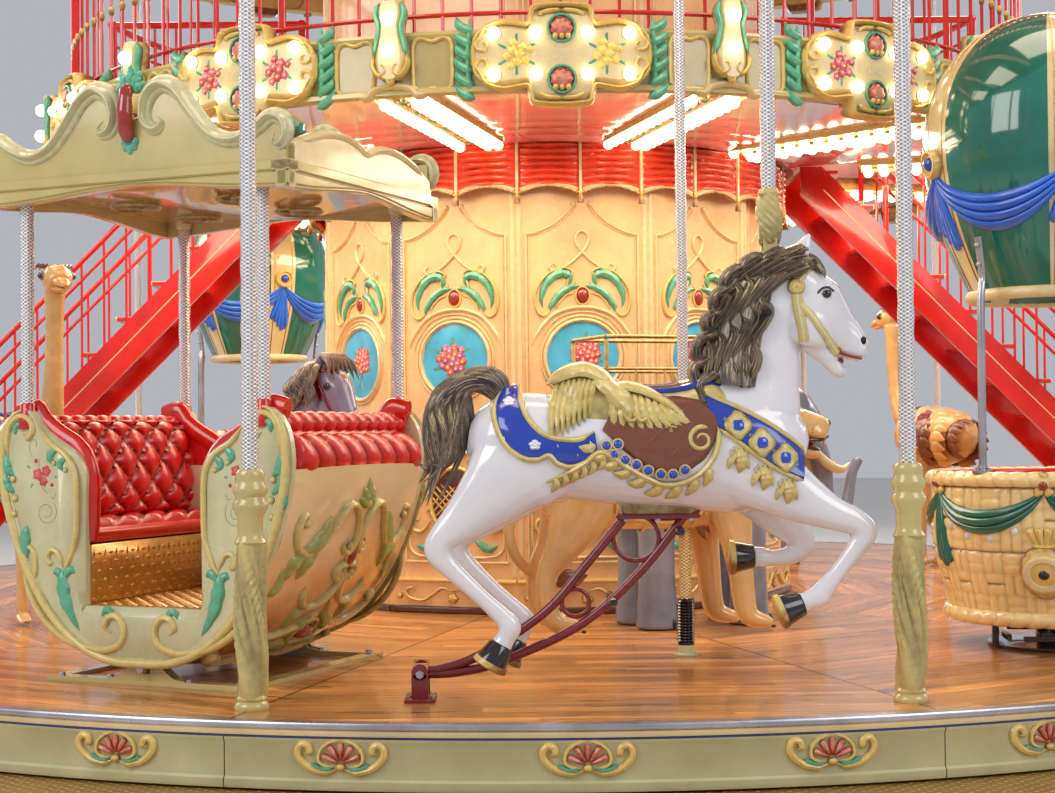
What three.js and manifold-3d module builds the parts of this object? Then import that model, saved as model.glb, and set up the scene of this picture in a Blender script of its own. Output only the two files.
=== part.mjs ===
// A two-storey fairground carousel with jumping horses, rocking boats, balloon baskets and lions.
// Millimetres, +Z up. The origin is on the ground, on the axis that the platform turns about.
// An angle is counted from -Y towards +X, so the ride at angle 0 stands at -Y and faces +X.

import * as THREE from 'three';
import { mergeVertices } from 'three/addons/utils/BufferGeometryUtils.js';
import { LoftGeometry } from 'three/addons/geometries/LoftGeometry.js';
import Module from 'manifold-3d';

const wasm = await Module();
wasm.setup();

// Driving dimensions

const SEAT = 0.3; // gap between two pieces that rest on each other
const SECTORS = 12;
const SECTOR = 360 / SECTORS;

const STEP_TOP = 168;
const STEP_OUTER = 5750;
const STEP_INNER = 4600;
const RIM_GAP = 10;
const RIM_HEIGHT = 247;
const DECK_TOP = STEP_TOP + RIM_GAP + RIM_HEIGHT;
const RIM_RADIUS = 5250;
const RIM_THICKNESS = 62;
const DECK_THICKNESS = 60;

const BEAM_TOP = 100;
const BEARING_TOP = 150;
const BEARING_RADIUS = 700;
const SPIGOT_RADIUS = 150;

const POST_RING = 4983;
const POST_SLEEVE = 62;
const POST_POLE = 35;

const DRUM_RADIUS = 1529;
const DRUM_TURN = -8.5;
const DRUM_WALL = 40;
const CEILING = 2790;
const UPPER_FLOOR = 2990;
const MEZZANINE = 3150;
const ROOF_BEAM = 5300;
const ROOF_BEAM_TOP = 5420;
const EAVE_RADIUS = 5160;

const HORSE_ANGLES = [0, 62, 180, 242];
const HORSE_RING = 4620;
const ARM_PIVOT = { x: -640, z: 111 };
const NECK_PIN = { x: 785, z: 1770 };
const PIN_RADIUS = 11;
const PIN_PLAY = 0.9;
const ROD_RADIUS = 34;
const ROD_TOP = 5100;

const BOAT_ANGLES = [-24, 156];
const BOAT_RING = 3950;
const BOAT_PIVOT = 75;
const BOAT_HUB = 22;

const BALLOON_ANGLES = [37.5, 217.5];
const BALLOON_RING = 3950;

const LION_ANGLES = [9.44, 189.44];
const LION_RING = 3408;
const LION_POLE = 30;
const LION_SHIFT = 520; // the pole passes through the back, this far ahead of the hips

const ELEPHANT_ANGLES = [20, 200];
const ELEPHANT_RING = 2190;
const PONY_ANGLES = [-38, 142];
const PONY_RING = 2750;
const OSTRICH_ANGLES = [-61, 119];
const OSTRICH_RING = 3420;

const STAIR_ANGLES = [90, 270];
const STAIR_TOP = 1650; // distance of the upper landing's edge from the axis
const STAIR_WIDTH = 800;
const RISERS = 13;

const COLOURS = {
  steel: { color: 0x8a8d90, roughness: 0.45, metalness: 0.8 },
  chequer: { color: 0xb8903f, roughness: 0.4, metalness: 0.7 },
  planks: { color: 0xb4662a, roughness: 0.3, metalness: 0 },
  cream: { color: 0xd6cf9c, roughness: 0.35, metalness: 0 },
  apricot: { color: 0xe8bd7c, roughness: 0.35, metalness: 0 },
  red: { color: 0xb51a16, roughness: 0.3, metalness: 0 },
  crimson: { color: 0x6d1024, roughness: 0.35, metalness: 0.1 },
  white: { color: 0xf1efee, roughness: 0.15, metalness: 0 },
  teal: { color: 0x0d6a5c, roughness: 0.2, metalness: 0 },
  tan: { color: 0xc79152, roughness: 0.3, metalness: 0 },
  grey: { color: 0x6f6f86, roughness: 0.25, metalness: 0 },
  silver: { color: 0xc9c9cc, roughness: 0.25, metalness: 0.9 },
};

const materials = Object.fromEntries(
  Object.entries(COLOURS).map(([name, look]) => [name, new THREE.MeshStandardMaterial(look)]),
);

// Geometry helpers

const rad = THREE.MathUtils.degToRad;

function solid(geometry) {
  const bare = new THREE.BufferGeometry();
  bare.setAttribute('position', geometry.attributes.position);
  bare.setIndex(geometry.index);
  const merged = mergeVertices(bare, 0.001);
  return new wasm.Manifold(new wasm.Mesh({
    numProp: 3,
    vertProperties: merged.attributes.position.array,
    triVerts: new Uint32Array(merged.index.array),
  }));
}

function geometryOf(manifold) {
  const mesh = manifold.getMesh();
  const geometry = new THREE.BufferGeometry();
  geometry.setAttribute('position', new THREE.BufferAttribute(mesh.vertProperties, 3));
  geometry.setIndex(new THREE.BufferAttribute(mesh.triVerts, 1));
  geometry.computeVertexNormals();
  return geometry;
}

const join = (...pieces) => geometryOf(pieces.map(solid).reduce((whole, piece) => whole.add(piece)));

const cut = (geometry, ...tools) => geometryOf(
  tools.map(solid).reduce((whole, tool) => whole.subtract(tool), solid(geometry)),
);

const turned = (geometry, angle) => geometry.rotateZ(rad(angle));

const box = (x0, x1, y0, y1, z0, z1) => new THREE.BoxGeometry(x1 - x0, y1 - y0, z1 - z0)
  .translate((x0 + x1) / 2, (y0 + y1) / 2, (z0 + z1) / 2);

// A profile of [radius, height] points, counterclockwise, turned about the axis.
function revolved(profile, sides, phase = 0) {
  const points = profile.map(([radius, height]) => new THREE.Vector2(radius, height));
  return new THREE.LatheGeometry(points, sides, rad(phase)).rotateX(Math.PI / 2);
}

const ring = (inner, outer, z0, z1, sides, phase = 0) => revolved(
  [[inner, z0], [outer, z0], [outer, z1], [inner, z1], [inner, z0]], sides, phase,
);

const disc = (radius, z0, z1, sides, phase = 0) => revolved(
  [[0, z0], [radius, z0], [radius, z1], [0, z1]], sides, phase,
);

// A round bar from one point to another.
function bar(from, to, radius, sides = 6) {
  const start = new THREE.Vector3(...from);
  const along = new THREE.Vector3(...to).sub(start);
  const geometry = new THREE.CylinderGeometry(radius, radius, along.length(), sides);
  geometry.translate(0, along.length() / 2, 0);
  const turn = new THREE.Quaternion().setFromUnitVectors(new THREE.Vector3(0, 1, 0), along.clone().normalize());
  return geometry.applyQuaternion(turn).translate(start.x, start.y, start.z);
}

// A body of changing oval section: each station is [x, y, z, half width across, half height].
function limb(stations, sides = 8) {
  const centres = stations.map(([x, y, z]) => new THREE.Vector3(x, y, z));
  const rings = stations.map(([, , , across, high], i) => {
    const before = centres[Math.max(i - 1, 0)];
    const after = centres[Math.min(i + 1, centres.length - 1)];
    const along = after.clone().sub(before).normalize();
    const up = along.clone().cross(new THREE.Vector3(0, 1, 0)).normalize();
    const side = up.clone().cross(along);
    return Array.from({ length: sides }, (_, k) => {
      const turn = (k + 0.5) / sides * 2 * Math.PI;
      return centres[i].clone()
        .addScaledVector(side, across * Math.cos(turn))
        .addScaledVector(up, high * Math.sin(turn));
    });
  });
  return new LoftGeometry(rings, { capStart: true, capEnd: true });
}

// An outline of [x, z] points drawn in the upright plane and given a thickness from y0 to y1.
function board(outline, y0, y1) {
  const shape = new THREE.Shape(outline.map(([x, z]) => new THREE.Vector2(x, z)));
  return new THREE.ExtrudeGeometry(shape, { depth: y1 - y0, bevelEnabled: false })
    .rotateX(Math.PI / 2).translate(0, y1, 0);
}

const mirrored = (points) => [...points, ...points.slice().reverse().map(([x, z]) => [-x, z])];

const everySector = (make, offset = 0) => Array.from(
  { length: SECTORS }, (_, k) => turned(make(), offset + k * SECTOR),
);

const carousel = new THREE.Group();

function add(name, geometry, material, parent = carousel) {
  const mesh = new THREE.Mesh(geometry, materials[material]);
  mesh.name = name;
  parent.add(mesh);
}

// Base

function baseFrame() {
  const beams = Array.from({ length: 6 }, (_, k) => turned(
    box(-60, 60, -STEP_INNER + 4 + SEAT, 0, 0, BEAM_TOP), k * 60 + SECTOR / 2,
  ));
  return join(
    disc(BEARING_RADIUS, 0, BEARING_TOP, 24),
    disc(SPIGOT_RADIUS, BEAM_TOP, DECK_TOP - DECK_THICKNESS - 40, 12),
    ...beams,
  );
}

// Platform

function deck() {
  const plate = revolved([
    [SPIGOT_RADIUS + 10, BEARING_TOP + SEAT],
    [BEARING_RADIUS - 100, BEARING_TOP + SEAT],
    [BEARING_RADIUS - 100, DECK_TOP - DECK_THICKNESS],
    [RIM_RADIUS - RIM_THICKNESS - SEAT, DECK_TOP - DECK_THICKNESS],
    [RIM_RADIUS - RIM_THICKNESS - SEAT, DECK_TOP],
    [SPIGOT_RADIUS + 10, DECK_TOP],
    [SPIGOT_RADIUS + 10, BEARING_TOP + SEAT],
  ], 48);
  const holes = LION_ANGLES.map((angle) => turned(
    disc(LION_POLE + 12, DECK_TOP - 200, DECK_TOP + 200, 8).translate(0, -LION_RING, 0), angle,
  ));
  const brackets = HORSE_ANGLES.map((angle) => turned(armBracket(), angle));
  return join(cut(plate, ...holes), ...brackets);
}

// Two cheeks on a base plate, which hold a swing arm's pivot.
function armBracket() {
  const { x, z } = ARM_PIVOT;
  const cheek = (y) => box(x - 32, x + 32, y - 8, y + 8, 0, z + 44);
  const bore = bar([x, -100, z], [x, 100, z], PIN_RADIUS + PIN_PLAY, 8);
  return cut(join(box(x - 60, x + 60, -95, 95, -10, 14), cheek(-68), cheek(68)), bore)
    .translate(0, -HORSE_RING, DECK_TOP);
}

// Posts, one behind each joint of the rim, under the roof's ring beam

function outerPosts() {
  const profile = [
    [0, 0], [POST_SLEEVE + 8, 0], [POST_SLEEVE, 850], [POST_SLEEVE + 10, 900], [POST_POLE, 950],
    [POST_POLE, ROOF_BEAM + 20], [0, ROOF_BEAM + 20],
  ];
  const post = () => revolved(profile, 8).translate(0, -POST_RING, 0);
  return join(
    ring(POST_RING - 70, POST_RING + 70, ROOF_BEAM, ROOF_BEAM_TOP, 2 * SECTORS),
    ...everySector(post, SECTOR / 2),
  ).translate(0, 0, DECK_TOP + SEAT);
}

// Centre drum and upper storey

const drum = (z0, z1) => ring(DRUM_RADIUS - DRUM_WALL, DRUM_RADIUS, z0, z1, SECTORS, DRUM_TURN);

const stairwells = () => STAIR_ANGLES.map((angle) => turned(
  box(-STAIR_WIDTH / 2 - 80, STAIR_WIDTH / 2 + 80, -MEZZANINE - 200, -STAIR_TOP, 2000, 3400), angle,
));

const upperFloor = () => cut(ring(1300, MEZZANINE, CEILING, UPPER_FLOOR, 2 * SECTORS), ...stairwells());

// Radial ribs for the rows of bulbs, between an inner and an outer ring.
function lightRibs() {
  const [low, high] = [CEILING - 45, CEILING - SEAT];
  const rib = () => box(-125, 125, -MEZZANINE + 60, -1620, low, high);
  const rings = [ring(1600, 1650, low, high, 2 * SECTORS), ring(3040, 3090, low, high, 2 * SECTORS)];
  return cut(join(...rings, ...everySector(rib, SECTOR / 2)), ...stairwells());
}

// The mezzanine's edge: boards with a bulb plate in each sector and a pendant at each rib.
function upperFascia() {
  const inner = MEZZANINE + SEAT;
  const outer = inner + 50;
  const plateOutline = [[260, 0], [430, 100], [430, 380], [260, 480]];
  const plate = () => board(mirrored(plateOutline), -outer - 45, -outer + 25).translate(0, 0, 2668);
  const pendantOutline = [[30, 0], [75, 80], [75, 384]];
  const pendant = () => board(mirrored(pendantOutline), -outer - 60, -outer + 10).translate(0, 0, 2800);
  return join(
    ring(inner, outer, 2725, 3045, 2 * SECTORS),
    ...everySector(plate),
    ...everySector(pendant, SECTOR / 2),
  );
}

// Half of the mezzanine's railing: an arc that ends at the guards beside both stairwells.
function upperRailing(angle) {
  const middle = MEZZANINE - 60;
  const rail = (z) => ring(middle - 25, middle + 25, z, z + 50, 36);
  const balusters = Array.from({ length: 17 }, (_, k) => turned(
    box(-12, 12, -middle - 12, -middle + 12, 20, 980), (k - 8) * 9.5,
  ));
  const edge = STAIR_WIDTH / 2 + 125;
  const end = Math.sqrt(middle ** 2 - edge ** 2);
  const guard = (side) => {
    const post = (x) => box(x - 25, x + 25, -edge - 25, -edge + 25, 0, 1000);
    const far = side * end;
    const near = side * (STAIR_TOP + 60);
    return join(box(Math.min(far, near), Math.max(far, near), -edge - 20, -edge + 20, 950, 1000), post(far), post(near));
  };
  const arc = cut(join(rail(0), rail(950), ...balusters), box(-4000, 4000, -edge, 4000, -200, 1300));
  return turned(join(arc, guard(-1), guard(1)), angle).translate(0, 0, UPPER_FLOOR + SEAT);
}

// Roof

function roofFrame() {
  const sweep = (angle, reach) => turned(
    box(-40, 40, -reach, -1400, ROOF_BEAM, ROOF_BEAM_TOP), angle,
  );
  const guide = (angle, distance, bore) => turned(
    ring(bore, bore + 14, ROOF_BEAM - 350, ROOF_BEAM + 10, 8).translate(0, -distance, 0), angle,
  );
  const rodAngle = THREE.MathUtils.radToDeg(Math.atan2(NECK_PIN.x, HORSE_RING));
  return join(
    ring(1350, 1560, ROOF_BEAM, ROOF_BEAM_TOP, 24),
    ...Array.from({ length: SECTORS }, (_, k) => sweep((k + 0.5) * SECTOR, POST_RING - 70 - 6)),
    ...HORSE_ANGLES.map((angle) => sweep(angle + rodAngle, POST_RING - 125)),
    ...LION_ANGLES.map((angle) => guide(angle, LION_RING, LION_POLE + 2 * SEAT)),
  );
}

function roofCover() {
  const inner = POST_RING + 70;
  const base = ROOF_BEAM_TOP + 2 * SEAT;
  return revolved([
    [inner - 120, base], [EAVE_RADIUS, base], [EAVE_RADIUS, base + 60],
    [3000, base + 760], [1400, base + 1380], [620, base + 1900],
    [560, base + 1900], [1340, base + 1330], [2980, base + 690],
    [inner - 120, base + 60], [inner - 120, base],
  ], 2 * SECTORS);
}

function crown() {
  return revolved([
    [0, 0], [680, 0], [560, 120], [420, 300], [300, 560], [90, 680], [120, 840], [0, 980],
  ], SECTORS).translate(0, 0, ROOF_BEAM_TOP + 1900 + 3 * SEAT);
}

// Stairs, one on each side of the drum, from the platform up to the landing beside it

function stair() {
  const rise = UPPER_FLOOR / RISERS;
  const foot = STAIR_TOP + UPPER_FLOOR - rise; // the flight climbs at 45 degrees
  const low = -STAIR_WIDTH / 2;
  const high = STAIR_WIDTH / 2;
  const pieces = [];
  for (let k = 1; k < RISERS; k += 1) {
    const distance = foot - (k - 1) * rise;
    pieces.push(box(low + 20, high - 20, -distance - 20, -distance + rise, k * rise - 30, k * rise));
  }
  for (const x of [low, high - 40]) {
    const slope = [
      [foot + 120, SEAT], [foot - 160, SEAT], [STAIR_TOP + SEAT, foot - 160 - STAIR_TOP],
      [STAIR_TOP + SEAT, CEILING - 4], [STAIR_TOP + 140, CEILING - 4],
    ];
    pieces.push(board(slope, x, x + 40).applyMatrix4(new THREE.Matrix4().set(
      0, 1, 0, 0, -1, 0, 0, 0, 0, 0, 1, 0, 0, 0, 0, 1,
    )));
    const middle = x + 20;
    const handrail = 900;
    const bottom = [middle, -foot + 60, handrail];
    const top = [middle, -STAIR_TOP - 560, handrail + foot - 60 - STAIR_TOP - 560];
    pieces.push(bar(bottom, top, 18, 4));
    for (let k = 0; k <= 4; k += 1) {
      const y = THREE.MathUtils.lerp(bottom[1], top[1], k / 4);
      const z = THREE.MathUtils.lerp(bottom[2], top[2], k / 4);
      pieces.push(box(middle - 10, middle + 10, y - 10, y + 10, z - handrail + 40, z));
    }
  }
  return join(...pieces);
}

// Horses

// White body with its mane, tail, saddle and the plate under its belly, and the lug for the rod.
function horseBody() {
  const trunk = limb([
    [-420, 0, 1050, 70, 80], [-330, 0, 1030, 165, 190], [-80, 0, 1000, 190, 235],
    [350, 0, 980, 190, 225], [650, 0, 975, 180, 245], [800, 0, 960, 150, 205], [890, 0, 930, 80, 100],
  ]);
  const neck = limb([
    [640, 0, 1060, 125, 240], [765, 0, 1320, 100, 175], [865, 0, 1640, 75, 110],
  ], 6);
  const head = limb([
    [850, 0, 1700, 60, 85], [930, 0, 1620, 90, 130], [1110, 0, 1390, 52, 62], [1150, 0, 1335, 38, 42],
  ], 6);
  const mane = limb([
    [905, -20, 1750, 42, 40], [780, -40, 1640, 95, 70], [640, -70, 1480, 105, 95], [590, -60, 1270, 55, 50],
  ], 5);
  const tail = limb([
    [-250, 0, 1200, 50, 50], [-370, 0, 1290, 65, 65], [-530, 0, 1150, 85, 80], [-590, 0, 860, 45, 35],
  ], 5);
  const hindLeg = (y, shift) => limb([
    [-270 + shift, y * 0.8, 960, 95, 180], [-420 + shift, y, 760, 70, 110], [-545 + shift, y, 615, 46, 64],
    [-400 + shift, y, 440, 38, 42], [-280 + shift, y, 300, 42, 46], [-350 + shift, y, 180, 52, 60],
  ], 5);
  const foreLeg = (y, knee, fetlock, hoof) => limb([
    [740, y * 0.8, 900, 85, 145], [900, y, 770, 66, 100], [knee[0], y, knee[1], 46, 54],
    [fetlock[0], y, fetlock[1], 38, 42], [hoof[0], y, hoof[1], 50, 54],
  ], 5);
  const saddle = box(20, 570, -150, 150, 1180, 1285);
  const lug = box(NECK_PIN.x - 34, NECK_PIN.x + 34, -15, 15, NECK_PIN.z - 160, NECK_PIN.z + 26);
  const pin = bar([NECK_PIN.x, -40, NECK_PIN.z], [NECK_PIN.x, 40, NECK_PIN.z], PIN_RADIUS, 8);
  const belly = box(170, 470, -60, 60, 738, 860);
  return join(
    trunk, neck, head, mane, tail, saddle, lug, pin, belly,
    hindLeg(-95, 0), hindLeg(95, 60),
    foreLeg(-95, [1140, 700], [960, 420], [815, 350]),
    foreLeg(95, [960, 600], [800, 555], [680, 545]),
  );
}

// Two curved tubes from the floor pivot to the plate under the belly, with rings between them.
function swingArm() {
  const { x, z } = ARM_PIVOT;
  const tube = (points) => limb(points.map(([px, pz]) => [px, 0, pz, 19, 19]), 4);
  const upper = tube([[x, z + 12], [-401, 177], [-138, 346], [205, 725]]);
  const lower = tube([[x, z - 8], [-321, 140], [2, 292], [435, 725]]);
  const hub = bar([x, -55, z], [x, 55, z], 30, 6);
  const axle = bar([x, -92, z], [x, 92, z], PIN_RADIUS, 8);
  const plate = box(150, 490, -50, 50, 716, 738 - SEAT);
  const circle = (cx, cz, radius) => ring(radius - 14, radius, -12, 12, 6).rotateX(Math.PI / 2).translate(cx, 0, cz);
  const peg = (px, pz) => box(px - 11, px + 11, -150, 150, pz - 11, pz + 11);
  return join(upper, lower, hub, axle, plate, circle(225, 632, 92), circle(-35, 385, 62), peg(400, 680), peg(120, 395));
}

// Two cheeks under a sweep, between which the pole's top slides and tilts.
function rodGuide() {
  const { x } = NECK_PIN;
  const gap = ROD_RADIUS + 6;
  const top = ROOF_BEAM - SEAT;
  const cheek = (side) => box(x - 70, x + 70, Math.min(side * gap, side * (gap + 12)), Math.max(side * gap, side * (gap + 12)),
    ROOF_BEAM - 350, top - 10);
  return join(cheek(-1), cheek(1), box(x - 70, x + 70, -gap - 12, gap + 12, top - 30, top));
}

// A pole that hangs in its guide and forks over the pin on the horse's neck.
function horseRod() {
  const { x, z } = NECK_PIN;
  const ear = (y) => box(x - 30, x + 30, y - 7, y + 7, z - 30, z + 90);
  const hole = bar([x, -60, z], [x, 60, z], PIN_RADIUS + PIN_PLAY, 8);
  const fork = join(ear(-27), ear(27), disc(46, z + 50, z + 260, 8).translate(x, 0, 0));
  return join(cut(fork, hole), disc(ROD_RADIUS, z + 250, ROD_TOP, 8).translate(x, 0, 0));
}

// Rocking boats: the doorway faces outwards, and the two benches face each other

const BOAT_WELL = 300;
const BOAT_FLOOR = 335;
const BOAT_SEAT = 600;
const BOAT_RAIL = 925;
const BOAT_EAR = 1150;
const BOAT_DEPTH = 570;
const BOAT_PLATE = 70;

const BOAT_KEEL = [[0, 90], [180, 105], [360, 190], [520, 350], [640, 560], [720, 780], [745, BOAT_RAIL]];

function boatHull() {
  const body = board(mirrored([...BOAT_KEEL].slice(1)), -BOAT_DEPTH, BOAT_DEPTH);
  const wing = [...BOAT_KEEL.slice(1), [740, 1040], [690, BOAT_EAR], [520, BOAT_EAR], [380, 1040], [BOAT_WELL, BOAT_RAIL]];
  const face = (y) => board(mirrored(wing), y, y + BOAT_PLATE);
  const well = box(-BOAT_WELL, BOAT_WELL, -BOAT_DEPTH - 100, BOAT_DEPTH - 40, BOAT_FLOOR, 2000);
  const upper = box(-650, 650, -BOAT_DEPTH + 1, BOAT_DEPTH - 1, BOAT_SEAT, 2000);
  const hub = bar([0, -BOAT_DEPTH - 60, BOAT_PIVOT], [0, BOAT_DEPTH + 60, BOAT_PIVOT], BOAT_HUB, 12);
  const whole = join(body, face(-BOAT_DEPTH - BOAT_PLATE), face(BOAT_DEPTH), box(-60, 60, -500, 500, BOAT_PIVOT, 120));
  return join(cut(whole, well, upper), hub);
}

function boatSkid() {
  const cheek = (x, y) => box(Math.min(x, 2 * x), Math.max(x, 2 * x), y - 30, y + 30, 10, BOAT_PIVOT + 15);
  const rail = (y) => join(
    box(-520, 520, y - 35, y + 35, SEAT, 22),
    box(-24, 24, y - 30, y + 30, 10, BOAT_PIVOT - BOAT_HUB - 0.8),
    cheek(BOAT_HUB + 2, y), cheek(-BOAT_HUB - 2, y),
  );
  const side = (x) => box(x - 35, x + 35, -560, 560, SEAT, 22);
  return join(rail(-BOAT_DEPTH + 10), rail(BOAT_DEPTH - 10), side(-485), side(485));
}

// One bench: the seat, the back with its rolled top and the pads at both ends.
function boatSeat(side) {
  const outline = [
    [BOAT_WELL, BOAT_SEAT + SEAT], [650 - SEAT, BOAT_SEAT + SEAT], [650 - SEAT, BOAT_RAIL + SEAT],
    [760, BOAT_RAIL + SEAT], [770, 1000], [700, 1140], [600, 1190], [560, 1150], [520, 720], [BOAT_WELL, 700],
  ];
  return board(outline.map(([x, z]) => [side * x, z]), -BOAT_DEPTH + 1 + SEAT, BOAT_DEPTH - 1 - SEAT);
}

function boatCanopy() {
  const post = (x, y) => disc(28, BOAT_EAR + SEAT, 2150, 8).translate(x, y, 0);
  const crest = mirrored([[0, 2630], [110, 2560], [170, 2440], [420, 2400], [560, 2270], [740, 2350], [780, 2180]]);
  const front = (y) => board(crest.slice(1, -1), y - 25, y + 25);
  const wave = mirrored([[0, 2350], [250, 2300], [480, 2400], [640, 2360], [660, 2180]]);
  const side = () => board(wave.slice(1, -1), -25, 25).rotateZ(Math.PI / 2);
  const posts = [-1, 1].flatMap((sx) => [-1, 1].map((sy) => post(sx * 610, sy * (BOAT_DEPTH + BOAT_PLATE / 2))));
  return join(
    box(-790, 790, -690, 690, 2120, 2200), front(-665), front(665),
    side().translate(-765, 0, 0), side().translate(765, 0, 0), ...posts,
  );
}

// Balloon baskets

const BASKET_RIM = 860;
const BASKET_RADIUS = 600;

function balloonBasket() {
  const shell = revolved([
    [0, SEAT], [330, SEAT], [330, 140], [540, 140], [BASKET_RADIUS, 500], [BASKET_RADIUS, BASKET_RIM],
    [BASKET_RADIUS - 70, BASKET_RIM], [BASKET_RADIUS - 70, 500], [500, 200], [0, 200],
  ], 16);
  return cut(shell, box(-250, 250, -700, -300, 201, 1000));
}

function balloonEnvelope() {
  const centre = 2350;
  const ball = new THREE.SphereGeometry(680, 16, 8).rotateX(Math.PI / 2).translate(0, 0, centre);
  const strut = (angle) => turned(disc(18, BASKET_RIM + SEAT, centre - 200, 6).translate(0, -BASKET_RADIUS + 35, 0), angle);
  return join(ball, strut(45), strut(135), strut(225), strut(315));
}

// Figures

function lion() {
  const trunk = limb([
    [-150, 0, 760, 100, 120], [0, 0, 770, 160, 175], [500, 0, 800, 165, 185], [800, 0, 900, 160, 200],
    [900, 0, 980, 120, 140],
  ]);
  const mane = limb([[720, 0, 960, 150, 180], [860, 0, 1040, 205, 255], [1000, 0, 1080, 120, 150]]);
  const head = limb([[900, 0, 1110, 120, 140], [1060, 0, 1070, 95, 115], [1190, 0, 1030, 50, 55]], 6);
  const hind = (y) => limb([
    [-60, y, 760, 85, 150], [-170, y, 430, 52, 60], [-150, y, 230, 48, 48], [-50, y, 180, 50, 45],
  ], 5);
  const fore = (y, reach) => limb([
    [720, y, 820, 85, 115], [760 + reach, y, 380, 56, 58], [790 + reach, y, 215, 55, 48],
    [880 + reach, y, 170, 52, 42],
  ], 5);
  const tail = limb([
    [-200, 0, 780, 28, 28], [-320, 0, 640, 26, 26], [-260, 0, 430, 26, 26], [-60, 60, 370, 42, 42],
  ], 5);
  const pole = disc(LION_POLE, -150, ROD_TOP, 8).translate(LION_SHIFT, 0, 0);
  const body = join(trunk, mane, head, hind(-100), hind(100), fore(-100, 0), fore(100, -90), tail, pole);
  return body.translate(-LION_SHIFT, 0, 0);
}

// An elephant that stands on the deck and carries a railed seat.
function elephant() {
  const trunk = limb([
    [-560, 0, 930, 110, 140], [-430, 0, 940, 240, 260], [0, 0, 930, 280, 300], [380, 0, 960, 250, 280],
    [520, 0, 1000, 140, 170],
  ]);
  const head = limb([[400, 0, 1120, 140, 180], [560, 0, 1130, 165, 205], [720, 0, 1060, 105, 135]], 6);
  const nose = limb([
    [670, 0, 1040, 85, 95], [800, 0, 880, 64, 64], [830, 0, 690, 52, 52], [890, 0, 590, 46, 46],
    [980, 0, 640, 38, 38], [1000, 0, 800, 32, 32], [1060, 0, 900, 30, 30],
  ], 5);
  const ear = (side) => limb([
    [400, side * 150, 1140, 20, 60], [480, side * 195, 1110, 24, 190], [590, side * 205, 1090, 20, 130],
  ], 5);
  const leg = (x, y) => limb([[x, y, 880, 120, 140], [x, y, 450, 100, 100], [x, y, 90, 108, 112], [x, y, SEAT, 118, 122]], 6);
  const rail = (y, z) => box(-620, 60, y - 10, y + 10, z - 10, z + 10);
  const end = (x, z) => box(x - 10, x + 10, -230, 230, z - 10, z + 10);
  const post = (x, y) => box(x - 11, x + 11, y - 11, y + 11, 1210, 1582);
  return join(
    trunk, head, nose, ear(-1), ear(1), leg(-300, -140), leg(-300, 140), leg(260, -130), leg(260, 130),
    box(-630, 70, -240, 240, 1195, 1225), rail(-230, 1572), rail(230, 1572), rail(-230, 1400), rail(230, 1400),
    end(-620, 1572), end(60, 1572), post(-620, -230), post(-620, 230), post(60, -230), post(60, 230),
  );
}

function pony() {
  const trunk = limb([
    [-430, 0, 900, 90, 100], [-300, 0, 900, 165, 180], [0, 0, 880, 170, 190], [330, 0, 900, 155, 185],
    [440, 0, 930, 100, 130],
  ]);
  const neck = limb([[290, 0, 960, 120, 180], [470, 0, 1150, 95, 145], [560, 0, 1330, 78, 105]], 6);
  const head = limb([[540, 0, 1370, 74, 90], [660, 0, 1290, 88, 110], [770, 0, 1120, 58, 68], [790, 0, 1050, 46, 50]], 6);
  const leg = (x, y) => limb([
    [x, y * 0.85, 880, 85, 120], [x, y, 560, 50, 60], [x, y, 300, 38, 42], [x, y, 110, 46, 50], [x, y, SEAT, 60, 66],
  ], 5);
  const tail = limb([[-400, 0, 1000, 50, 50], [-520, 0, 900, 60, 60], [-560, 0, 560, 40, 40]], 5);
  return join(trunk, neck, head, tail, leg(-300, -95), leg(-300, 95), leg(290, -90), leg(290, 90));
}

function ostrich() {
  const body = limb([
    [-450, 0, 1060, 60, 80], [-260, 0, 1010, 200, 210], [40, 0, 990, 230, 240], [270, 0, 1040, 140, 160],
  ]);
  const neck = limb([[220, 0, 1080, 90, 100], [380, 0, 1300, 62, 62], [415, 0, 1600, 52, 52], [430, 0, 1880, 60, 60]], 6);
  const head = limb([[380, 0, 1920, 62, 62], [450, 0, 1945, 88, 84], [545, 0, 1915, 74, 58], [660, 0, 1875, 28, 20]], 6);
  const leg = (y) => limb([
    [20, y, 900, 70, 80], [-40, y, 560, 38, 38], [10, y, 300, 32, 32], [10, y, 40, 32, 32],
  ], 5);
  const foot = (y) => box(-60, 150, y - 50, y + 50, SEAT, 45);
  return join(body, neck, head, leg(-90), leg(90), foot(-90), foot(90));
}

// Assembly

function ride(name, geometry, material, angle, distance) {
  const turn = new THREE.Group();
  turn.rotation.z = rad(angle);
  const seat = new THREE.Group();
  seat.position.set(0, -distance, DECK_TOP);
  turn.add(seat);
  carousel.add(turn);
  add(name, geometry, material, seat);
}

const onDeck = (geometry) => geometry.translate(0, 0, DECK_TOP);

add('base_frame', baseFrame(), 'steel');
add('step_ring', ring(STEP_INNER, STEP_OUTER, 0, STEP_TOP, 48), 'chequer');
add('deck', deck(), 'planks');
add('rim_fascia', ring(RIM_RADIUS - RIM_THICKNESS, RIM_RADIUS, STEP_TOP + RIM_GAP, DECK_TOP, 48), 'cream');
add('outer_posts', outerPosts(), 'cream');
add('drum_wall', onDeck(drum(SEAT, CEILING - SEAT)), 'apricot');
add('drum_plinth', onDeck(ring(DRUM_RADIUS + SEAT, DRUM_RADIUS + 60, SEAT, 200, SECTORS, DRUM_TURN)), 'apricot');
add('valance', onDeck(ring(1552, 1592, 2420, CEILING - SEAT, 2 * SECTORS)), 'red');
add('upper_floor', onDeck(upperFloor()), 'red');
add('light_ribs', onDeck(lightRibs()), 'cream');
add('upper_fascia', onDeck(upperFascia()), 'cream');
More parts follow.
